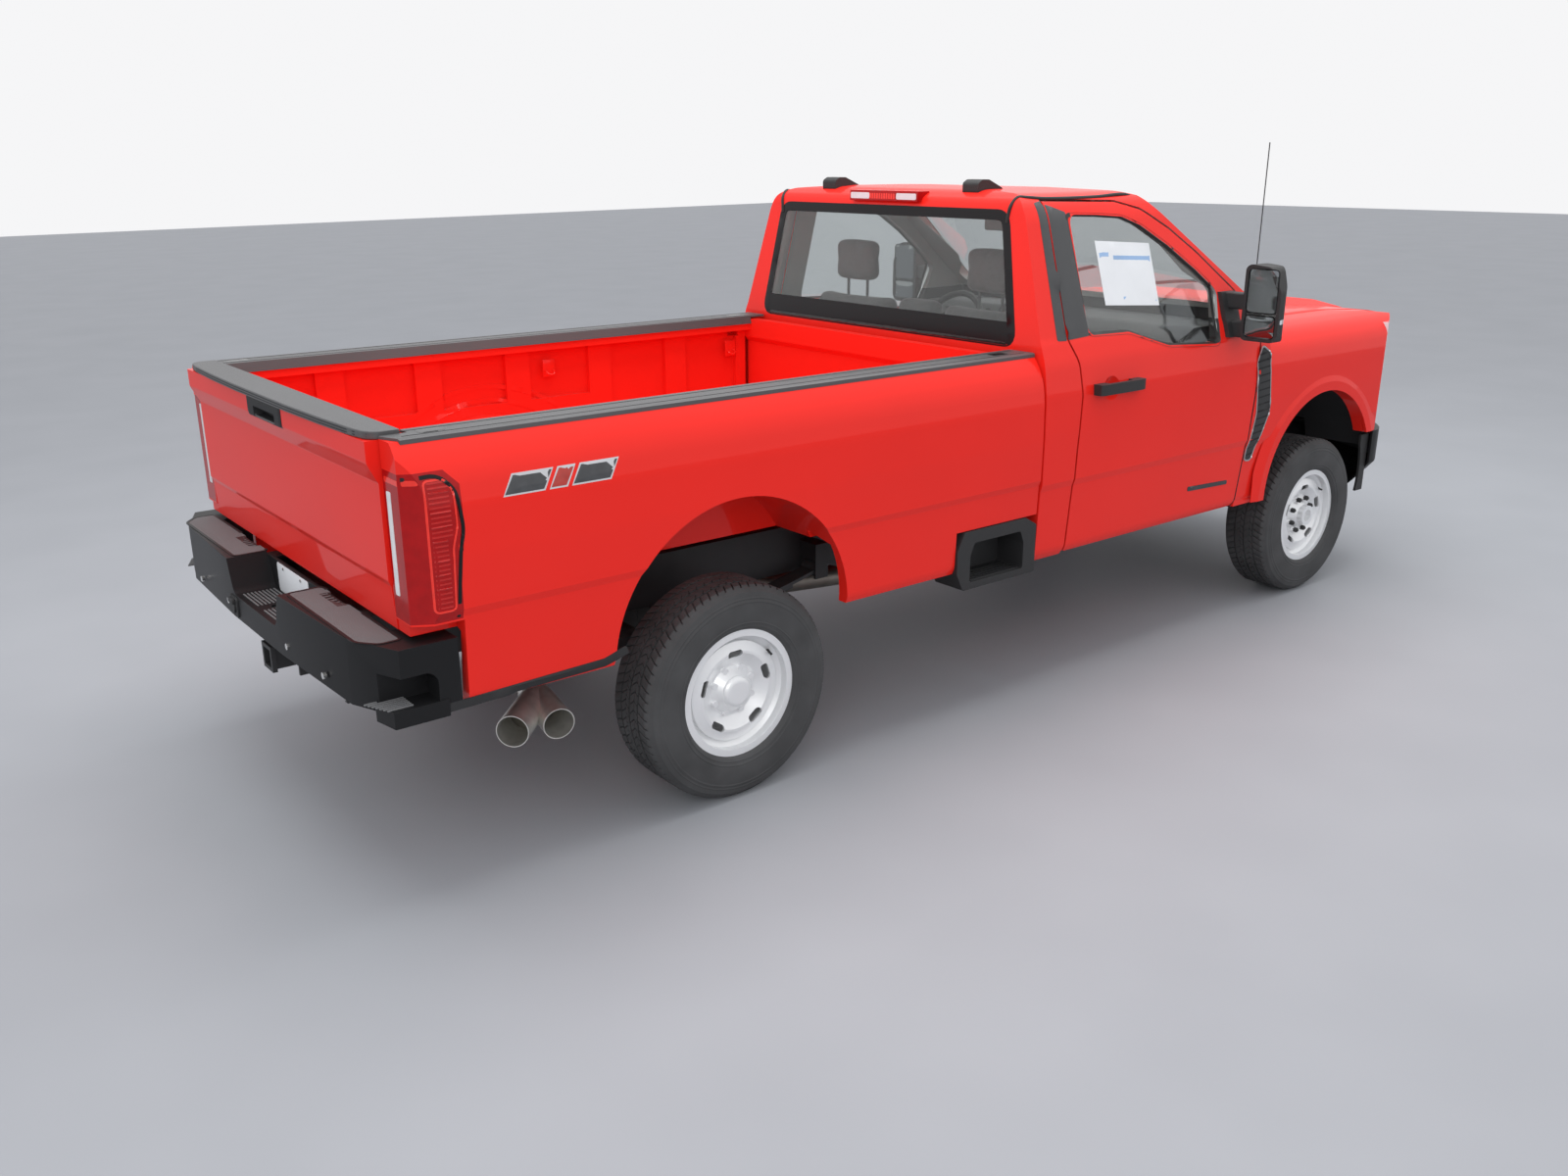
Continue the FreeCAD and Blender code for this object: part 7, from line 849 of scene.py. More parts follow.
# %% Seats
SEAT_Y = 0.430
SEAT_HALF = 0.280
SEAT_BACK_X = (1.700, 1.830)
CUSHION_X = (1.770, 2.350)
CUSHION_Z = (0.900, 1.030)
BACK_Z = (0.965, 1.585)
HEADREST_X = (1.712, 1.818)
HEADREST_Z = (1.6125, 1.8125)
HEADREST_HALF = 0.135
MIDDLE_HALF = 0.132
MIDDLE_CAP = 0.018
SIDE_SEAMS = (SEAT_Y - 0.15, SEAT_Y + 0.15)
BASE_SEAMS = (0, (1.99, 2.10, 2.21), 2, 0.008, 0.008)
BACK_SEAMS = (2, (1.18, 1.29, 1.40), 0, 0.008, 0.008)
SIDE_DEPTH, SIDE_WIDTH = 0.014, 0.009
SHIELD = [(1.76, 0.885), (2.30, 0.885), (2.30, 0.945), (1.93, 0.965), (1.76, 1.05)]
PLINTH_X = (1.84, 2.215)


def corners_of(x, y, z):
    return tuple(zip(x, y, z))


def bench():
    y = (SEAT_Y - SEAT_HALF, SEAT_Y + SEAT_HALF)
    y_head = (SEAT_Y - HEADREST_HALF, SEAT_Y + HEADREST_HALF)
    y_middle = (-MIDDLE_HALF, MIDDLE_HALF)
    base = cushion("seat_base_left", *corners_of(CUSHION_X, y, CUSHION_Z),
                   sews=((1, SIDE_SEAMS, 2, SIDE_DEPTH, SIDE_WIDTH), BASE_SEAMS))
    back = cushion("seat_back_left", *corners_of(SEAT_BACK_X, y, BACK_Z),
                   sews=((1, SIDE_SEAMS, 0, SIDE_DEPTH, SIDE_WIDTH), BACK_SEAMS))
    rest = cushion("headrest_left", *corners_of(HEADREST_X, y_head, HEADREST_Z), cell=0.009, shrink=0.010,
                   corner=0.034, cap=0.014)
    middle = cushion("seat_base_middle", *corners_of(CUSHION_X, y_middle, CUSHION_Z), cap=MIDDLE_CAP,
                     sews=(BASE_SEAMS,))
    middle_back = cushion("seat_back_middle", *corners_of(SEAT_BACK_X, y_middle, BACK_Z), cap=MIDDLE_CAP,
                          sews=(BACK_SEAMS,))
    for thing, name in ((base, "seat_base_right"), (back, "seat_back_right"), (rest, "headrest_right")):
        mirrored_copy(thing, name)
    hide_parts("seats")
    return [base, back, rest, middle, middle_back]


def seat_frames():
    # Plinths, side shields and headrest posts
    bm = bmesh.new()
    for side in (-1, 1):
        y = side * SEAT_Y
        add_box(bm, (PLINTH_X[0], y - 0.222, 0.762), (PLINTH_X[1], y + 0.222, 0.905), 0.012)
        for post in (-0.0675, 0.0675):
            add_rod(bm, (1.765, y + post, 1.54), (1.765, y + post, 1.66), 0.007)
        add_slab(bm, rounded(SHIELD, 0.03), "y", y + side * (SEAT_HALF - 0.012),
                 y + side * (SEAT_HALF + 0.004), 0.003)
    add_box(bm, (PLINTH_X[0], -0.105, 0.80), (PLINTH_X[1], 0.105, 0.905), 0.01)
    piece("seat_frames", bm, "grey_plastic")


cushions = bench()
seat_frames()
print("cushion faces:", [len(thing.data.polygons) for thing in cushions])

# %% [markdown]
# Black trim frames the doors: a grained plastic cover on each side of the door's rear seam and a rubber
# seal round the window. Painting them on would leave flat colour, so both are thin pieces dropped on the
# panels.

# %% Door and window trim
CAB_STRIP = tipped((1.604, 1.463), (1.628, 1.985), (1.677, 1.992), (1.6605, 1.460))
DOOR_STRIP = tipped((1.668, 1.462), (1.685, 1.980), (1.790, 1.946), (1.802, 1.467))
WINDOW = tipped((1.797, 1.471), (1.786, 1.936), (1.975, 1.928), (2.142, 1.915), (2.256, 1.876),
                (2.425, 1.784), (2.595, 1.672), (2.690, 1.600), (2.672, 1.352), (2.308, 1.382),
                (2.129, 1.437), (2.059, 1.459))
SEAL_WIDTH = 0.016


def door_trim(side):
    door = "door_" + side
    draped("pillar_cover_" + side, "pillar_plastic", [CAB_STRIP], side, ("cab",), soft=0.008, thick=0.003)
    draped("door_cover_" + side, "pillar_plastic", [DOOR_STRIP], side, (door,), door, soft=0.008, thick=0.003)
    draped("window_seal_" + side, "seal_rubber", border(WINDOW, 0.03, SEAL_WIDTH), side,
           (door, "door_glass_" + side), door, thick=0.003, edge=0.002, step=0.06)


for side, sign in SIDES:
    door_trim(side)
print("window outline points:", len(WINDOW))

# %% [markdown]
# A slim bright bar sits low on each door, a tall louvred vent behind each front arch and a striped graphic
# at the back of each bed side. The vent could be a dark patch, but it is deep and barred, so it gets a rim,
# a dark bed and slanted bars.

# %% Vents, door bars and side graphics
VENT = tipped((2.990, 1.318), (3.062, 1.278), (3.094, 1.000), (2.989, 0.778), (2.936, 0.784), (2.985, 1.000),
              (2.960, 1.250))
VENT_BARS = 15
VENT_NARROWEST = 0.02
DOOR_BAR = tipped((2.514, 0.704), (2.823, 0.688), (2.823, 0.708), (2.514, 0.726))
GRAPHIC_LOW, GRAPHIC_HIGH = tipped((-0.866, 1.2585), (-0.488, 1.330))
GRAPHIC_LEAN = 0.45
GRAPHIC_BLOCKS = ((0.0, 0.40, "graphic_dark"), (0.40, 0.60, "graphic_red"), (0.60, 1.0, "graphic_dark"))
GRAPHIC_INSET = ((0.006, 0.005), (-0.004, 0.005), (-0.006, -0.005), (0.004, -0.005))


def inside_span(loop, level):
    # Where a horizontal line enters and leaves an outline
    hits = []
    for one, two in zip(loop, loop[1:] + loop[:1]):
        if (one[1] - level) * (two[1] - level) < 0:
            hits.append(one[0] + (two[0] - one[0]) * (level - one[1]) / (two[1] - one[1]))
    return (min(hits), max(hits)) if len(hits) > 1 else None


def vent(side):
    nodes = ("fender_" + side,)
    loop = [tuple(p) for p in rounded(VENT, 0.02)]
    draped("vent_bed_" + side, "frame_black", [loop], side, nodes, thick=0.0015)
    draped("vent_rim_" + side, "satin_metal", strip(loop, 0.007, True), side, nodes, thick=0.006, edge=0.002)
    low, high = min(p[1] for p in loop), max(p[1] for p in loop)
    bars = []
    for number in range(VENT_BARS):
        level = low + (high - low) * (number + 0.9) / (VENT_BARS + 0.8)
        span = inside_span(loop, level)
        if span and span[1] - span[0] > VENT_NARROWEST:
            a, b = span[0] + 0.003, span[1] - 0.003
            bars.append([(a, level - 0.008), (b, level), (b, level + 0.007), (a, level - 0.001)])
    draped("vent_bars_" + side, "bumper_black", bars, side, nodes, thick=0.005, edge=0.0)


def side_graphic(side):
    # Three leaning blocks, red between dark ones, each with a pale edge
    x0, z0 = GRAPHIC_LOW
    x1, z1 = GRAPHIC_HIGH
    nodes = ("bed_side_" + side,)
    skew = GRAPHIC_LEAN * (z1 - z0)
    top = z1 - 0.012
    for number, (a, b, look) in enumerate(GRAPHIC_BLOCKS):
        start, end = x0 + a * (x1 - x0) + 0.004, x0 + b * (x1 - x0) - 0.010
        outer = [(start, z0), (end, z0), (end + skew, top), (start + skew, top)]
        inner = [(x + dx, z + dz) for (x, z), (dx, dz) in zip(outer, GRAPHIC_INSET)]
        draped("graphic_edge_%d_%s" % (number, side), "graphic_silver", [outer], side, nodes, thick=0.0006,
               edge=0.0)
        draped("graphic_%d_%s" % (number, side), look, [inner], side, nodes, thick=0.0012, edge=0.0)


for side, sign in SIDES:
    vent(side)
    door = "door_" + side
    draped("badge_bar_" + side, "dark_chrome", [DOOR_BAR], side, (door,), door, soft=0.009, thick=0.004,
           edge=0.002)
    side_graphic(side)
print("vent outline points:", len(VENT))

# %% [markdown]
# The rear lamps wrap the corners: a red lens with ribs on its outer half, a pale reversing strip near the
# tailgate and a black edge. A bright red rim round the lens and a bright strip along its top are painted
# highlights. One red block would read as a toy, so the lens parts are laid over the solid lens.

# %% Rear lamps
LAMP_EDGE = tipped((-1.150, 1.350), (-1.052, 1.353), (-1.004, 1.306), (-0.993, 1.188), (-1.008, 1.134),
                   (-1.022, 1.019), (-1.030, 0.930))
LAMP_HIGHLIGHT_RIM = [(-1.107, 0.945), (-1.107, 1.328), (-1.045, 1.328), (-1.022, 1.29), (-1.020, 1.19),
              (-1.038, 1.13), (-1.045, 0.945)]
LAMP_RIBS = 27
RIB_LOW, RIB_HIGH, RIB_HEIGHT = 0.955, 1.318, 0.0055
RIB_REAR, RIB_FRONT_LOW, RIB_FRONT_HIGH, RIB_STEP_Z = -1.098, -1.053, -1.036, 1.16
REVERSING = rectangle(0.878, 0.985, 0.906, 1.292)
TOP_HIGHLIGHT = [(0.870, 1.318), (0.990, 1.318), (0.985, 1.334), (0.870, 1.334)]


def rear_lamp(side, sign):
    lens = ("tail_lamps",)
    draped("lamp_edge_" + side, "gloss_black", strip(rounded_path(LAMP_EDGE), 0.011), side,
           ("tail_lamps", "bed_side_" + side), thick=0.004, edge=0.002, step=0.05)
    ribs = []
    for number in range(LAMP_RIBS):
        level = RIB_LOW + (RIB_HIGH - RIB_LOW) * number / (LAMP_RIBS - 1)
        front = RIB_FRONT_LOW if level < RIB_STEP_Z else RIB_FRONT_HIGH
        ribs.append(rectangle(RIB_REAR, level, front, level + RIB_HEIGHT))
    draped("lamp_ribs_" + side, "lamp_rib", ribs, side, lens, thick=0.0035, edge=0.0, step=0.02)
    # A bright red rim round the lens: painted highlight
    draped("lamp_highlight_rim_" + side, "lamp_cells_and_highlights", border(LAMP_HIGHLIGHT_RIM, 0.014, 0.006), side, lens, thick=0.004,
           edge=0.0015)
    draped("lamp_white_" + side, "lamp_white", [mirrored(REVERSING, sign)], "rear", lens, soft=0.006,
           thick=0.004, edge=0.002)
    # A bright strip along the top of the lens: painted highlight
    draped("lamp_top_highlight_" + side, "lamp_cells_and_highlights", [mirrored(TOP_HIGHLIGHT, sign)], "rear", lens, soft=0.006, thick=0.003,
           edge=0.001)


for side, sign in SIDES:
    rear_lamp(side, sign)
print("lamp ribs:", LAMP_RIBS)

# %% [markdown]
# The high lamp over the rear window has a red middle and two clear ends. The rear window has a black
# printed border that hides its glue, and a rubber bead lies in the joint between roof and side, turned down
# at the back. They could be painted on, but each stands a little proud and catches its own light.

# %% Roof and rear window
HIGH_LAMP = (2.000, 2.036, 0.208, 0.085)
HIGH_CELLS, CELL_PITCH, CELL_START, CELL_WIDTH = 11, 0.015, -0.075, 0.011
GLASS_Y, GLASS_LOW, GLASS_TOP, GLASS_TOP_Y = 0.802, 1.470, 1.958, 0.702
PRINT_WIDTH = 0.042
PRINT_FOOT = 1.548
BEAD_REAR = ((0.712, 1.900), (0.716, 1.935), (0.722, 1.965))
BEAD_TOP = ((1.540, 0.730), (1.580, 0.742), (1.660, 0.752), (1.800, 0.755), (2.000, 0.752), (2.200, 0.742),
            (2.330, 0.730))
BEAD_RADIUS = 0.008


def roof_details():
    low, high, outer, inner = HIGH_LAMP
    for side, sign in SIDES:
        clear = mirrored([(inner, low + 0.004), (outer, low + 0.004), (outer, high - 0.006),
                          (inner, high - 0.006)], sign)
        draped("high_lamp_clear_" + side, "lamp_clear", [clear], "rear", ("roof_lamp",), soft=0.008)
    cells = []
    for k in range(HIGH_CELLS):
        start = CELL_START + CELL_PITCH * k
        cells.append(rectangle(start, low + 0.005, start + CELL_WIDTH, high - 0.008))
    draped("high_lamp_cells", "lamp_cells_and_highlights", cells, "rear", ("roof_lamp",), thick=0.0015, edge=0.0)
    pane = [(-GLASS_Y, GLASS_LOW), (GLASS_Y, GLASS_LOW), (GLASS_TOP_Y, GLASS_TOP), (-GLASS_TOP_Y, GLASS_TOP)]
    glass = ("rear_window", "cab")
    draped("window_print", "gloss_black", border(pane, 0.045, PRINT_WIDTH), "rear", glass, thick=0.0012,
           edge=0.0, step=0.05)
    foot = [(-GLASS_Y + 0.01, GLASS_LOW), (GLASS_Y - 0.01, GLASS_LOW), (GLASS_Y - 0.028, PRINT_FOOT),
            (-GLASS_Y + 0.028, PRINT_FOOT)]
    draped("window_print_foot", "gloss_black", [foot], "rear", glass, thick=0.0010, edge=0.0, step=0.05)


def roof_bead(side, sign):
    line = [landing("cab", (-1, sign * y, z), (1, 0, 0)) for y, z in BEAD_REAR]
    line += [landing("cab", (x, sign * y, 4), (0, 0, -1)) for x, y in BEAD_TOP]
    bm = bmesh.new()
    add_bent(bm, curve_through([spot for spot in line if spot is not None], 5), BEAD_RADIUS)
    piece("roof_moulding_" + side, bm, "seal_rubber")


roof_details()
for side, sign in SIDES:
    roof_bead(side, sign)
print("roof bead points:", len(BEAD_REAR) + len(BEAD_TOP))

# %% [markdown]
# The step bumper is moulded black plastic over steel: two treaded pads with a raised rim, a lower middle
# step, a plate bay and a ribbed foot in each corner. Plain flat tops would look unfinished, so the pads and
# ribs are real thin pieces dropped on the solid. Their pale grey is partly the textured plastic and partly
# painted sky reflection.

# %% Bumper pads and feet
PAD = ((-1.292, 0.268), (-1.292, 0.840), (-1.245, 0.900), (-1.175, 0.900), (-1.175, 0.268))
PAD_RIBS = 22
PAD_RIB_Y = (0.29, 0.83)
FOOT_RIBS = 7
FOOT_Y, FOOT_PITCH, FOOT_RIB = 0.880, 0.014, 0.006
FOOT_X, FOOT_Z = (-1.300, -1.185), (0.671, 0.677)


def bumper_pads(side, sign):
    nodes = ("rear_bumper",)
    loop = [(x, sign * y) for x, y in PAD]
    # The pads' pale grey is partly painted sky reflection
    draped("bumper_pad_" + side, "tread_plastic_and_sky_sheen", [loop], "top", nodes, soft=0.02, edge=0.0015, step=0.08)
    draped("bumper_pad_rim_" + side, "bumper_black", border(loop, 0.02, 0.010), "top", nodes, thick=0.006,
           edge=0.002, step=0.15)
    ribs = []
    for number in range(PAD_RIBS):
        y = PAD_RIB_Y[0] + (PAD_RIB_Y[1] - PAD_RIB_Y[0]) * number / (PAD_RIBS - 1)
        ribs += [rectangle(-1.278, sign * y, -1.238, sign * y + 0.008),
                 rectangle(-1.228, sign * y + 0.012, -1.188, sign * y + 0.020)]
    draped("bumper_pad_ribs_" + side, "tread_plastic_and_sky_sheen", ribs, "top", nodes, thick=0.0036, edge=0.0, step=0.2)


def bumper_feet(side, sign):
    bm = bmesh.new()
    for number in range(FOOT_RIBS):
        y = sign * (FOOT_Y + FOOT_PITCH * number)
        add_box(bm, (FOOT_X[0] + FOOT_RIB * number, y, FOOT_Z[0]),
                (FOOT_X[1], y + sign * FOOT_RIB, FOOT_Z[1]), 0.0015, 1)
    # These ribs' pale grey is partly painted sky reflection
    piece("bumper_foot_ribs_" + side, bm, "tread_plastic_and_sky_sheen")


for side, sign in SIDES:
    bumper_pads(side, sign)
    bumper_feet(side, sign)
print("pad ribs:", 2 * PAD_RIBS)

# %% [markdown]
# In the middle of the bumper are a ribbed step, a blank number plate with its two screws, the bumper's
# bolts and a round towing socket under a hinged lid. Each is a plain shape of its own, as it is on the real
# truck.

# %% Bumper middle
STEP_RIBS, STEP_X, STEP_PITCH = 9, -1.300, 0.013
STEP_Z = (0.7335, 0.7375)
PLATE_HALF, PLATE_LOW, PLATE_TOP = 0.1525, 0.738, 0.842
PLATE_X = (-1.1835, -1.1815)
SCREW_Y, SCREW_RADIUS, BOLT_RADIUS = 0.085, 0.006, 0.011
SOCKET_Y, SOCKET_Z, SOCKET_RADIUS = 0.225, 0.690, 0.026
BUMPER_BOLTS = ((0.30, 0.690), (0.62, 0.690))


def bumper_middle():
    bm = bmesh.new()
    for number in range(STEP_RIBS):
        x = STEP_X + STEP_PITCH * number
        for low, high in ((-0.19, -0.03), (0.03, 0.19)):
            add_box(bm, (x, low, STEP_Z[0]), (x + 0.006, high, STEP_Z[1]), 0.0012, 1)
    # The step ribs' pale grey is partly painted sky reflection
    piece("bumper_step_ribs", bm, "tread_plastic_and_sky_sheen")
    bm = bmesh.new()
    plate = rectangle(-PLATE_HALF, PLATE_LOW, PLATE_HALF, PLATE_TOP)
    add_slab(bm, rounded(plate, 0.012), "x", *PLATE_X, 0.0005)
    piece("number_plate", bm, "pale_sheet")
    bm = bmesh.new()
    for y in (-SCREW_Y, SCREW_Y):
        add_rod(bm, (-1.1865, y, PLATE_TOP - 0.012), (-1.180, y, PLATE_TOP - 0.012), SCREW_RADIUS, sides=6)
    for side, sign in SIDES:
        for y, z in BUMPER_BOLTS:
            add_rod(bm, (-1.3225, sign * y, z), (-1.312, sign * y, z), BOLT_RADIUS)
    piece("plate_screws", bm, "chrome")


def tow_socket():
    bm = bmesh.new()
    y, z = SOCKET_Y, SOCKET_Z
    flange = rectangle(y - 0.042, z - 0.036, y + 0.042, z + 0.036)
    add_slab(bm, rounded(flange, 0.012), "x", -1.3262, -1.316, 0.002)
    add_rod(bm, (-1.332, y, z), (-1.318, y, z), SOCKET_RADIUS, sides=28)
    add_box(bm, (-1.337, y - SOCKET_RADIUS, z + 0.012), (-1.324, y + SOCKET_RADIUS, z + 0.030), 0.003)
    piece("tow_socket", bm, "black_plastic")


bumper_middle()
tow_socket()
print("step ribs:", 2 * STEP_RIBS)

# %% [markdown]
# Inside the box there are tie-down loops on plates, round-headed floor bolts, and slots and beads in the
# rail caps. They could be drawn as bump, but they stand up from the metal and throw small shadows, so they
# are real pieces.

# %% Load box
TIE_X = (-0.98, 0.30, 1.30)
TIE_Z, TIE_Y = 1.290, 0.8465
TIE_PLATE = (0.030, 0.005, 0.038)
TIE_ARCH = (0.020, 0.022, 0.018)
TIE_BAR = 0.0042
FLOOR_BOLTS = ((-0.95, 0.50), (-0.95, 0.12), (0.35, 0.50), (0.35, 0.12), (1.25, 0.50), (1.25, 0.12))
BOLT_FOOT, BOLT_HEAD = 0.014, 0.010
RAIL_SLOTS = (-1.020, 1.340)
RAIL_BEADS = (0.832, 0.902)


def tie_down(bm, x, sign):
    y = sign * TIE_Y
    half_x, deep, half_z = TIE_PLATE
    add_box(bm, (x - half_x, y, TIE_Z - half_z), (x + half_x, y - sign * deep, TIE_Z + half_z), 0.002)
    wide, out, high = TIE_ARCH
    arch = []
    for a in (math.pi * k / 12 for k in range(13)):
        stand = 0.004 + out * abs(math.sin(a)) ** 0.6
        arch.append((x + wide * math.cos(a), y - sign * stand, TIE_Z - 0.008 - high * math.sin(a)))
    add_bent(bm, arch, TIE_BAR, sides=8)


def box_fittings():
    bm = bmesh.new()
    for side, sign in SIDES:
        for x in TIE_X:
            tie_down(bm, x, sign)
    piece("tie_downs", bm, "red_paint")
    bm = bmesh.new()
    for x, y in FLOOR_BOLTS:
        for sign in (-1, 1):
            top = landing("bed_floor", (x, sign * y, 3), (0, 0, -1))
            add_rod(bm, top - Vector((0, 0, 0.002)), top + Vector((0, 0, 0.0055)), BOLT_FOOT, BOLT_HEAD,
                    sides=20)
    piece("box_bolts", bm, "spring_steel")
    caps = ("rail_caps",)
    for side, sign in SIDES:
        slots = [rectangle(x - 0.040, sign * 0.845, x + 0.040, sign * 0.889) for x in RAIL_SLOTS]
        draped("stake_pockets_" + side, "gloss_black", slots, "top", caps, soft=0.008, thick=0.0012,
               edge=0.001)
        beads = [rectangle(-1.12, sign * a, 1.45, sign * (a + 0.004)) for a in RAIL_BEADS]
        draped("rail_beads_" + side, "bumper_black", beads, "top", caps, thick=0.0022, edge=0.001, step=0.3)


box_fittings()
print("tie-downs:", 2 * len(TIE_X))

# %% [markdown]
# Each tail pipe tip is dark deep inside, where shade falls. Its wall could be given a second finish, but a
# thin dark disc set well back in the mouth paints that shade and leaves the bright lip alone.

# %% Tail pipe mouths
TIP_AIMS = ((-0.823713, 0.4442295), (-0.6564525, 0.424446))
TIP_Y = -0.849225
TIP_FORK = (-0.625, -0.645, 0.440)
TIP_RADIUS = 0.0505
SHADE_DEEP, SHADE_FRONT = 0.150, 0.142


def depth_shade_discs():
    bm = bmesh.new()
    for x, z in TIP_AIMS:
        aim = Vector((x, TIP_Y, z))
        way = (aim - Vector(TIP_FORK)).normalized()
        add_rod(bm, aim - way * SHADE_DEEP, aim - way * SHADE_FRONT, TIP_RADIUS, sides=32)
    # A dark disc deep in each mouth: painted shade
    piece("tip_depth_shade", bm, "pipe_depth_shade")


depth_shade_discs()
print("tips:", len(TIP_AIMS))

# %% [markdown]
# Pressed ridges run round each wheelhouse, on the wall that faces the box. Bump could draw them, but they
# catch the light at this angle, so they are raised bands.

# %% Wheelhouse ridges
ARC_RADII = (0.555, 0.615)
ARC_X, ARC_Z = -0.020, 0.620
ARC_ANGLES = [math.radians(24 + 4.4 * k) for k in range(31)]


def wheelhouse_arcs(side):
    for number, radius in enumerate(ARC_RADII):
        path = [(ARC_X + radius * math.cos(a), ARC_Z + radius * math.sin(a)) for a in ARC_ANGLES]
        draped("wheelhouse_ridge_%d_%s" % (number, side), "red_paint", strip(path, 0.020), ACROSS[side],
               ("bed_side_" + side,), thick=0.005, edge=0.007, step=0.2, start=0.0)


for side, sign in SIDES:
    wheelhouse_arcs(side)
print("ridges:", 2 * len(ARC_RADII))

# %% [markdown]
# The tailgate's handle sits in a dark bezel under the top moulding, and the lower bedsides carry a black
# guard against stones. They could be cut into the solids, but thin pieces laid on them keep the panels' own
# crown.

# %% Tailgate and bedside guards
HANDLE = rectangle(-0.163, 1.364, 0.163, 1.430)
GUARD = tipped((-1.128, 0.640), (-1.128, 0.668), (-0.552, 0.676), (-0.470, 0.700), (-0.460, 0.672),
               (-0.545, 0.644))
GATE_BEADS = [rectangle(-0.83, z, 0.83, z + 0.003) for z in (1.4385, 1.4465)]
GATE = (("tailgate_trim",), "tailgate")
draped("handle_paddle", "bumper_black", [HANDLE], "rear", *GATE, soft=0.012, thick=0.003, edge=0.002,
       step=0.012)
draped("cap_beads", "bumper_black", GATE_BEADS, "rear", *GATE, thick=0.0014, edge=0.0, step=0.06)
for side, sign in SIDES:
    draped("bedside_guard_" + side, "black_plastic", [GUARD], side, ("bed_side_" + side,), soft=0.006,
           thick=0.004, edge=0.002)
print("guards:", len(SIDES))

# %% [markdown]
# The cab is seen through tinted glass: a dash with a blank screen, air vents and a hooded cluster, door
# cards with armrests, a mirror and visors under a pale lining. Modelling every switch would be wasted
# behind the glass, so the large shapes are made and the small ones are grouped.

# %% Dash
DASH_VENTS = ((-0.74, 1.330), (-0.18, 1.330), (0.18, 1.330), (0.74, 1.330))
DASH_VENT_HALF = (0.062, 0.033)
SCREEN = rectangle(-0.115, 1.165, 0.115, 1.300)
KEY_ROWS, KEY_PITCH = (1.142, 1.118), 0.034
CLUSTER = [(2.545, 1.425), (2.575, 1.462), (2.69, 1.470), (2.78, 1.438), (2.555, 1.415)]
CLUSTER_HALF = 0.19


def dash_details():
    nodes = ("dashboard",)
    draped("screen", "gloss_black", [SCREEN], "rear", nodes, soft=0.012, thick=0.006, edge=0.003)
    rims, fins = [], []
    for y, z in DASH_VENTS:
        half_y, half_z = DASH_VENT_HALF
        rims += border(rectangle(y - half_y, z - half_z, y + half_y, z + half_z), 0.012, 0.006)
        fins += [rectangle(y - 0.055, z - 0.026 + 0.012 * k, y + 0.055, z - 0.021 + 0.012 * k)
                 for k in range(5)]
    draped("dash_vent_rims", "satin_metal", rims, "rear", nodes, thick=0.006, edge=0.001)
    draped("dash_vent_fins", "gloss_black", fins, "rear", nodes, thick=0.004, edge=0.0)
    keys = []
    for z in KEY_ROWS:
        keys += [rectangle(-0.10 + KEY_PITCH * k, z, -0.075 + KEY_PITCH * k, z + 0.012) for k in range(6)]
    draped("dash_keys", "grey_plastic", keys, "rear", nodes, soft=0.003, thick=0.004, edge=0.001)
    bm = bmesh.new()
    add_slab(bm, rounded(CLUSTER, 0.015), "y", SEAT_Y - CLUSTER_HALF, SEAT_Y + CLUSTER_HALF, 0.012)
    piece("cluster_hood", bm, "grey_plastic")


dash_details()
print("dash vents:", len(DASH_VENTS))

# %% Cab fittings
VISOR_Y, VISOR_HALF, VISOR_TILT = 0.36, 0.16, math.radians(12)
LEVER = [(2.44, SEAT_Y - 0.05, 1.33), (2.455, SEAT_Y - 0.15, 1.40), (2.45, SEAT_Y - 0.19, 1.43)]
LEVER_END = (2.445, SEAT_Y - 0.22, 1.445)
CARD = ((1.78, 0.98), (2.64, 0.98), (2.64, 1.300), (1.80, 1.375))
ARM = ((1.80, 1.130), (2.34, 1.130), (2.44, 1.180), (2.44, 1.205), (1.80, 1.205))
ARM_Y, ARM_DEPTH = 0.842, 0.055


def cab_fittings():
    bm = bmesh.new()
    for sign in (-1, 1):
        y = sign * VISOR_Y
        add_box(bm, (2.235, y - VISOR_HALF, 1.945), (2.375, y + VISOR_HALF, 1.957), 0.005,
                turn=Matrix.Rotation(VISOR_TILT, 3, "Y"))
    add_box(bm, (2.300, -0.130, 1.842), (2.325, 0.130, 1.905), 0.010)
    add_rod(bm, (2.320, 0, 1.890), (2.385, 0, 1.940), 0.008)
    piece("visors_and_mirror", bm, "pale_lining")
    bm = bmesh.new()
    add_bent(bm, LEVER, 0.008)
    add_rod(bm, LEVER[-1], LEVER_END, 0.013)
    piece("gear_lever", bm, "bumper_black")


def door_card(side, sign):
    door = "door_" + side
    draped("door_card_" + side, "grey_plastic", [CARD], ACROSS[side], (door,), door, soft=0.05, thick=0.006,
           edge=0.004, step=0.1, start=-0.02)
    bm = bmesh.new()
    wall, front = sign * ARM_Y, sign * (ARM_Y - ARM_DEPTH)
    add_slab(bm, rounded(ARM, 0.02), "y", min(wall, front), max(wall, front), 0.012)
    piece("door_arm_" + side, bm, "grey_plastic", door)


cab_fittings()
for side, sign in SIDES:
    door_card(side, sign)
print("door cards:", len(SIDES))

# %% [markdown]
# A pale sheet hangs inside the right door's window, with two plain blue bands. It could be a patch in the
# glass's finish, but then it would be tinted too, so it is a thin piece just over the pane.

# %% Window sheet
SHEET = tipped((1.955, 1.572), (2.310, 1.545), (2.310, 1.800), (1.955, 1.827))
BAND_INSET, BAND_FOOT_INSET = 0.01, 0.12


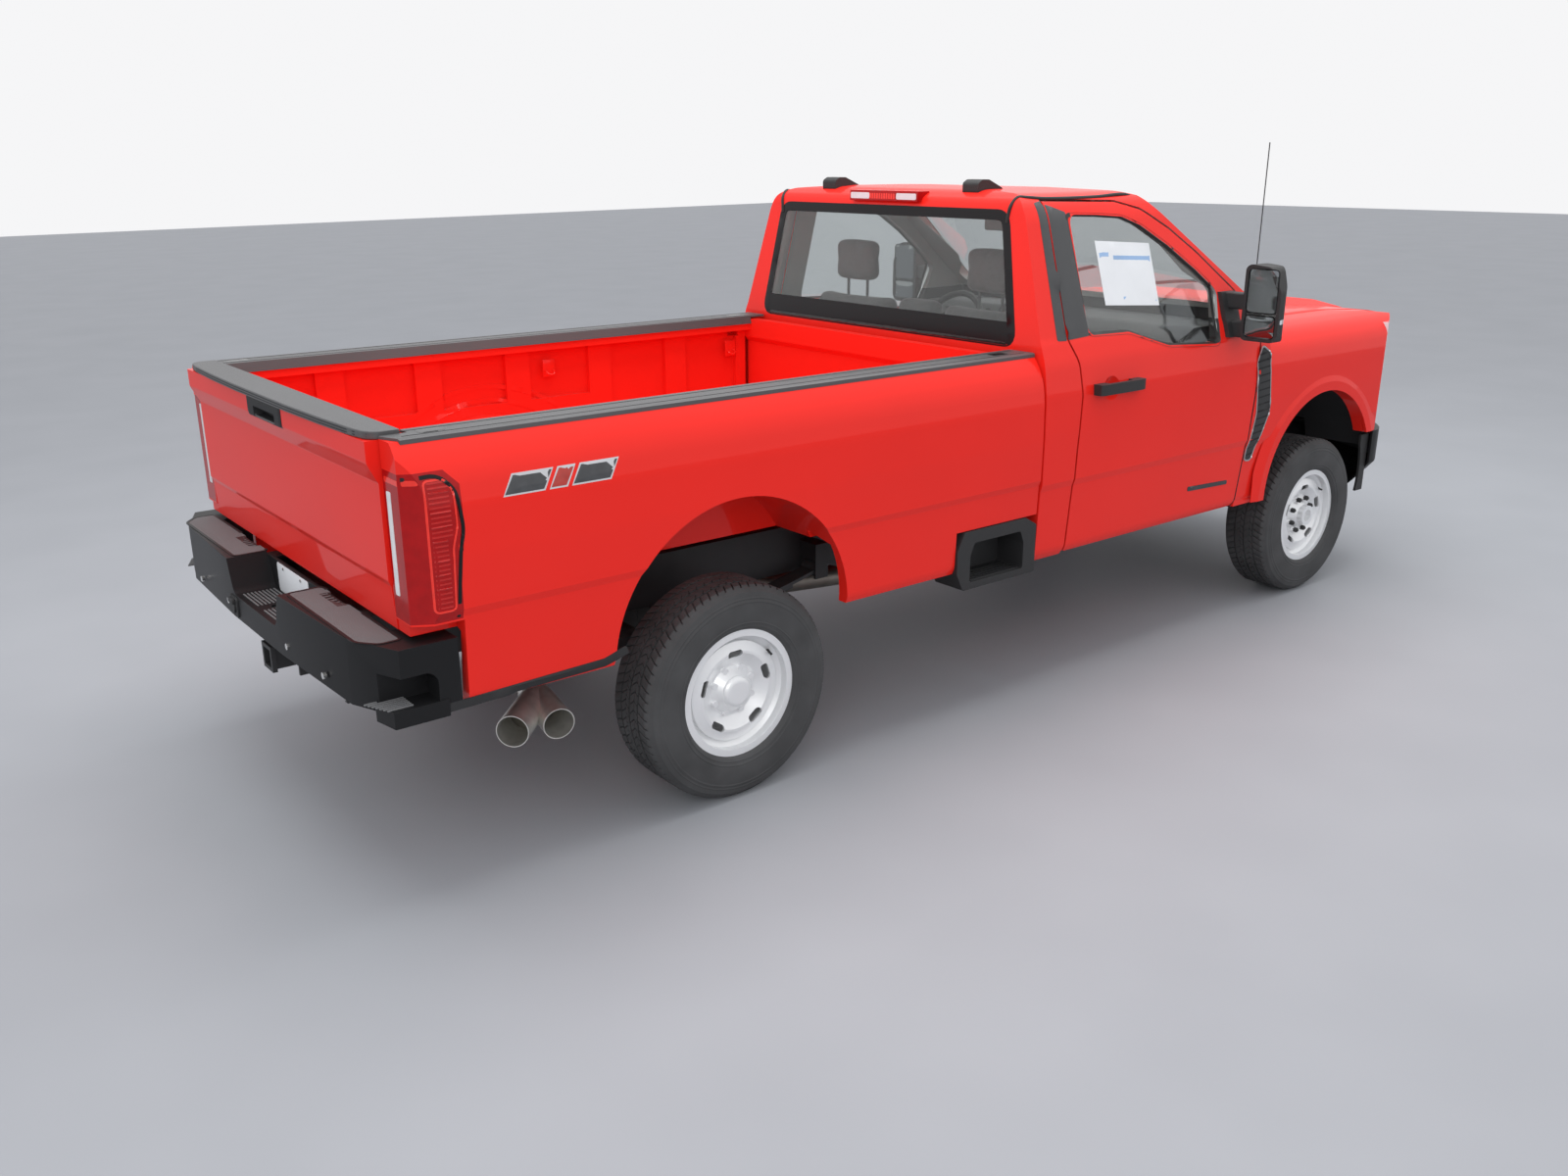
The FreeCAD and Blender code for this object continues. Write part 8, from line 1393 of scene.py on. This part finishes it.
def window_sheet():
    x0, z0 = SHEET[0]
    x1, z1 = SHEET[2]
    left, right, low = x0 + BAND_INSET, x1 - BAND_INSET, x0 + BAND_FOOT_INSET
    pane = (("door_glass_right",), "door_right")
    draped("window_sheet", "pale_sheet", [SHEET], "right", *pane, thick=0.0006, edge=0.0)
    band = [(left, z1 - 0.048), (right, z1 - 0.078), (right, z1 - 0.050), (left, z1 - 0.020)]
    foot = [(low, z0 + 0.010), (right, z0 - 0.004), (right, z0 + 0.014), (low, z0 + 0.028)]
    draped("window_sheet_bands", "pale_blue", [band, foot], "right", *pane, thick=0.001, edge=0.0)


window_sheet()
print("sheet corners:", len(SHEET))

# %% [markdown]
# Each towing mirror has a tall flat pane with a small wide-angle pane under it, and a clear marker lamp on
# its outer edge. The heads could stay solid blocks, but the split pane and the lamp are what one sees of
# them.

# %% Mirrors
PANE_Y = (1.052, 1.198)
PANE_LOW, PANE_SPLIT, PANE_TOP, PANE_GAP = 1.418, 1.518, 1.711, 0.006
PANES = ((PANE_SPLIT + PANE_GAP, PANE_TOP), (PANE_LOW, PANE_SPLIT - PANE_GAP))
PANE_START = -2.4
MARKER = [(2.742, 1.480), (2.800, 1.486), (2.800, 1.506), (2.742, 1.500)]


def mirror_details(side, sign):
    door, fittings = "door_" + side, "door_fittings_" + side
    nodes = ("door_glass_" + side, fittings)
    for number, (low, high) in enumerate(PANES):
        loop = mirrored(rectangle(PANE_Y[0], low, PANE_Y[1], high), sign)
        draped("mirror_pane_%d_%s" % (number, side), "mirror_glass", [loop], "rear", nodes, door, soft=0.02,
               thick=0.0025, edge=0.0015, start=PANE_START)
        draped("mirror_pane_rim_%d_%s" % (number, side), "gloss_black", border(loop, 0.02, 0.005), "rear",
               nodes, door, thick=0.005, edge=0.001, start=PANE_START)
    draped("mirror_marker_" + side, "lamp_clear", [MARKER], side, (fittings,), door, soft=0.006, thick=0.003,
           edge=0.001)


for side, sign in SIDES:
    mirror_details(side, sign)
print("mirror panes:", 2 * len(SIDES))

# %% [markdown]
# The grille is a barred frame over a fine mesh of six-sided holes. The mesh could be a pattern in a finish,
# but light falls through real holes, so each hole is a small ring with a short wall.

# %% Grille mesh
GRILLE_Y, GRILLE_LOW, GRILLE_TOP = 0.600, 0.865, 1.295
GRILLE_DEPTH = 0.018
MESH_CELL = 0.034
MESH_RING, MESH_HOLE = (0.47 * MESH_CELL, 0.40 * MESH_CELL), (0.33 * MESH_CELL, 0.28 * MESH_CELL)
MESH_WALL = 0.010


def grille_mesh():
    bm = bmesh.new()
    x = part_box("grille")[0][0] - AXLE_X + GRILLE_DEPTH
    for row in range(int((GRILLE_TOP - GRILLE_LOW) / MESH_CELL)):
        for column in range(int(2 * GRILLE_Y / MESH_CELL)):
            y = -GRILLE_Y + (column + 0.5 + 0.5 * (row % 2)) * MESH_CELL
            z = GRILLE_LOW + (row + 0.5) * MESH_CELL
            hole = oval(y, z, *MESH_HOLE, 6)
            outer = [bm.verts.new((x, *p)) for p in oval(y, z, *MESH_RING, 6)]
            inner = [bm.verts.new((x, *p)) for p in hole]
            deep = [bm.verts.new((x - MESH_WALL, *p)) for p in hole]
            for k in range(6):
                n = (k + 1) % 6
                bm.faces.new((outer[k], outer[n], inner[n], inner[k]))
                bm.faces.new((inner[k], inner[n], deep[n], deep[k]))
    return piece("grille_mesh", bm, "bumper_black", outward=Vector((1, 0, 0)))


print("mesh faces:", len(grille_mesh().data.polygons))

# %% [markdown]
# Moulded and pressed pieces have eased edges, and a thin bright line runs along each one. The finish could
# fake it, but a bevel on a merged copy of the solid gives a true edge. The copy takes the solid's place.

# %% Eased edges
EASED = (("rear_bumper", 0.007), ("front_bumper", 0.005), ("box_steps", 0.006), ("roof_humps", 0.004),
         ("rail_caps", 0.003), ("tailgate_trim", 0.004), ("door_fittings_left", 0.003),
         ("door_fittings_right", 0.003), ("roof_lamp", 0.003), ("dashboard", 0.006))
FLAT_ANGLE, EASE_ANGLE = math.radians(1.0), math.radians(32)


def eased_copy(node, width):
    solid = frame["nodes"][node]
    bm = bmesh.new()
    bm.from_mesh(solid.data)
    bm.transform(solid.matrix_world)
    bmesh.ops.remove_doubles(bm, verts=bm.verts[:], dist=2e-5)
    bmesh.ops.dissolve_limit(bm, angle_limit=FLAT_ANGLE, verts=bm.verts[:], edges=bm.edges[:],
                             delimit={"NORMAL"})
    body = next(name for name, nodes in frame["record"]["behaviour"]["bodies"].items() if node in nodes)
    thing = piece(node + "_eased", bm, NODE_LOOKS[node], body, place=Matrix.Identity(4), sharp=40)
    ease = thing.modifiers.new("eased_edges", "BEVEL")
    ease.width = width
    ease.segments = 2
    ease.limit_method = "ANGLE"
    ease.angle_limit = EASE_ANGLE
    ease.harden_normals = False
    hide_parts(node)


for node, width in EASED:
    eased_copy(node, width)
print("eased copies:", len(EASED))

# %% [markdown]
# The front faces away from the camera, so it has what such trucks share: lamps with a bright C-shaped edge
# and lens cells, round lamps and tow hooks in the bumper, and two wipers. Thin rings laid on the lens are
# enough to make a plain block read as a lamp.

# %% Front lamps
LAMP_C = [(0.660, 1.300), (0.930, 1.330), (0.955, 1.120), (0.930, 0.860), (0.680, 0.845)]
EYE_Y, EYE_LEVELS = 0.795, (1.215, 1.000)
EYE_BED, EYE_LENS = (0.088, 0.062), 0.040
AMBER = [(0.700, 0.862), (0.900, 0.880), (0.905, 0.915), (0.700, 0.900)]


def front_lamps(side, sign):
    nodes = ("headlamps",)
    bow = strip(rounded_path(mirrored(LAMP_C, sign), 0.05), 0.022)
    draped("lamp_bow_" + side, "lamp_white", bow, "front", nodes, thick=0.004, edge=0.003)
    for number, z in enumerate(EYE_LEVELS):
        tail = "_%d_%s" % (number, side)
        ring = oval(sign * EYE_Y, z, *EYE_BED, 32)
        lens = oval(sign * EYE_Y, z, EYE_LENS, EYE_LENS, 28)
        draped("lamp_bed" + tail, "gloss_black", [ring], "front", nodes)
        draped("lamp_ring" + tail, "chrome", strip(ring, 0.008, True), "front", nodes, thick=0.006,
               edge=0.002)
        draped("lamp_eye" + tail, "lamp_clear", [lens], "front", nodes, thick=0.008, edge=0.006, step=0.012)
    draped("lamp_turn_" + side, "lamp_amber", [mirrored(AMBER, sign)], "front", nodes, soft=0.008,
           thick=0.003)


for side, sign in SIDES:
    front_lamps(side, sign)
print("front lamps:", len(SIDES))

# %% Front bumper and wipers
HOOK_Y, HOOK_Z, HOOK_BAR = 0.360, 0.610, 0.010
HOOK_PATH = ((-0.03, 0.030), (0.035, 0.030), (0.055, 0.0), (0.035, -0.030), (-0.03, -0.030))
FOG_Y, FOG_Z, FOG_RADIUS = 0.780, 0.640, 0.045
WIPER_LINES = (((3.10, 0.55), (2.93, -0.02)), ((3.10, -0.05), (2.93, -0.62)))
WIPER_LIFT, WIPER_ARM, WIPER_BLADE = 0.016, 0.006, 0.0045


def front_bumper():
    bm = bmesh.new()
    for side, sign in SIDES:
        seat = landing("front_bumper", (6, sign * HOOK_Y, HOOK_Z), (-1, 0, 0))
        add_bent(bm, [seat + Vector((x, 0, z)) for x, z in HOOK_PATH], HOOK_BAR, sides=12)
    piece("tow_hooks", bm, "frame_black")
    nodes = ("front_bumper",)
    for side, sign in SIDES:
        ring = oval(sign * FOG_Y, FOG_Z, FOG_RADIUS, FOG_RADIUS, 28)
        draped("fog_lamp_" + side, "lamp_clear", [ring], "front", nodes, thick=0.003)
        draped("fog_rim_" + side, "bumper_black", strip(ring, 0.010, True), "front", nodes, thick=0.008,
               edge=0.003)


def wipers():
    glass = skin(("windscreen",))
    back = BODY.inverted()
    bm = bmesh.new()
    for start, end in WIPER_LINES:
        line = []
        for share in (0.0, 0.25, 0.5, 0.75, 1.0):
            x, y = (a + (b - a) * share for a, b in zip(start, end))
            hit, normal, _, _ = glass.ray_cast(BODY @ Vector((x, y, 3)), Vector((0, 0, -1)))
            if hit is not None:
                line.append(back @ (hit + abs(normal.z) / normal.z * normal * WIPER_LIFT))
        add_bent(bm, line, WIPER_ARM, sides=8)
        add_bent(bm, [p + Vector((0.02, 0, -0.006)) for p in line[1:]], WIPER_BLADE, sides=6)
    piece("wipers", bm, "bumper_black")


front_bumper()
wipers()
print("wipers:", len(WIPER_LINES))
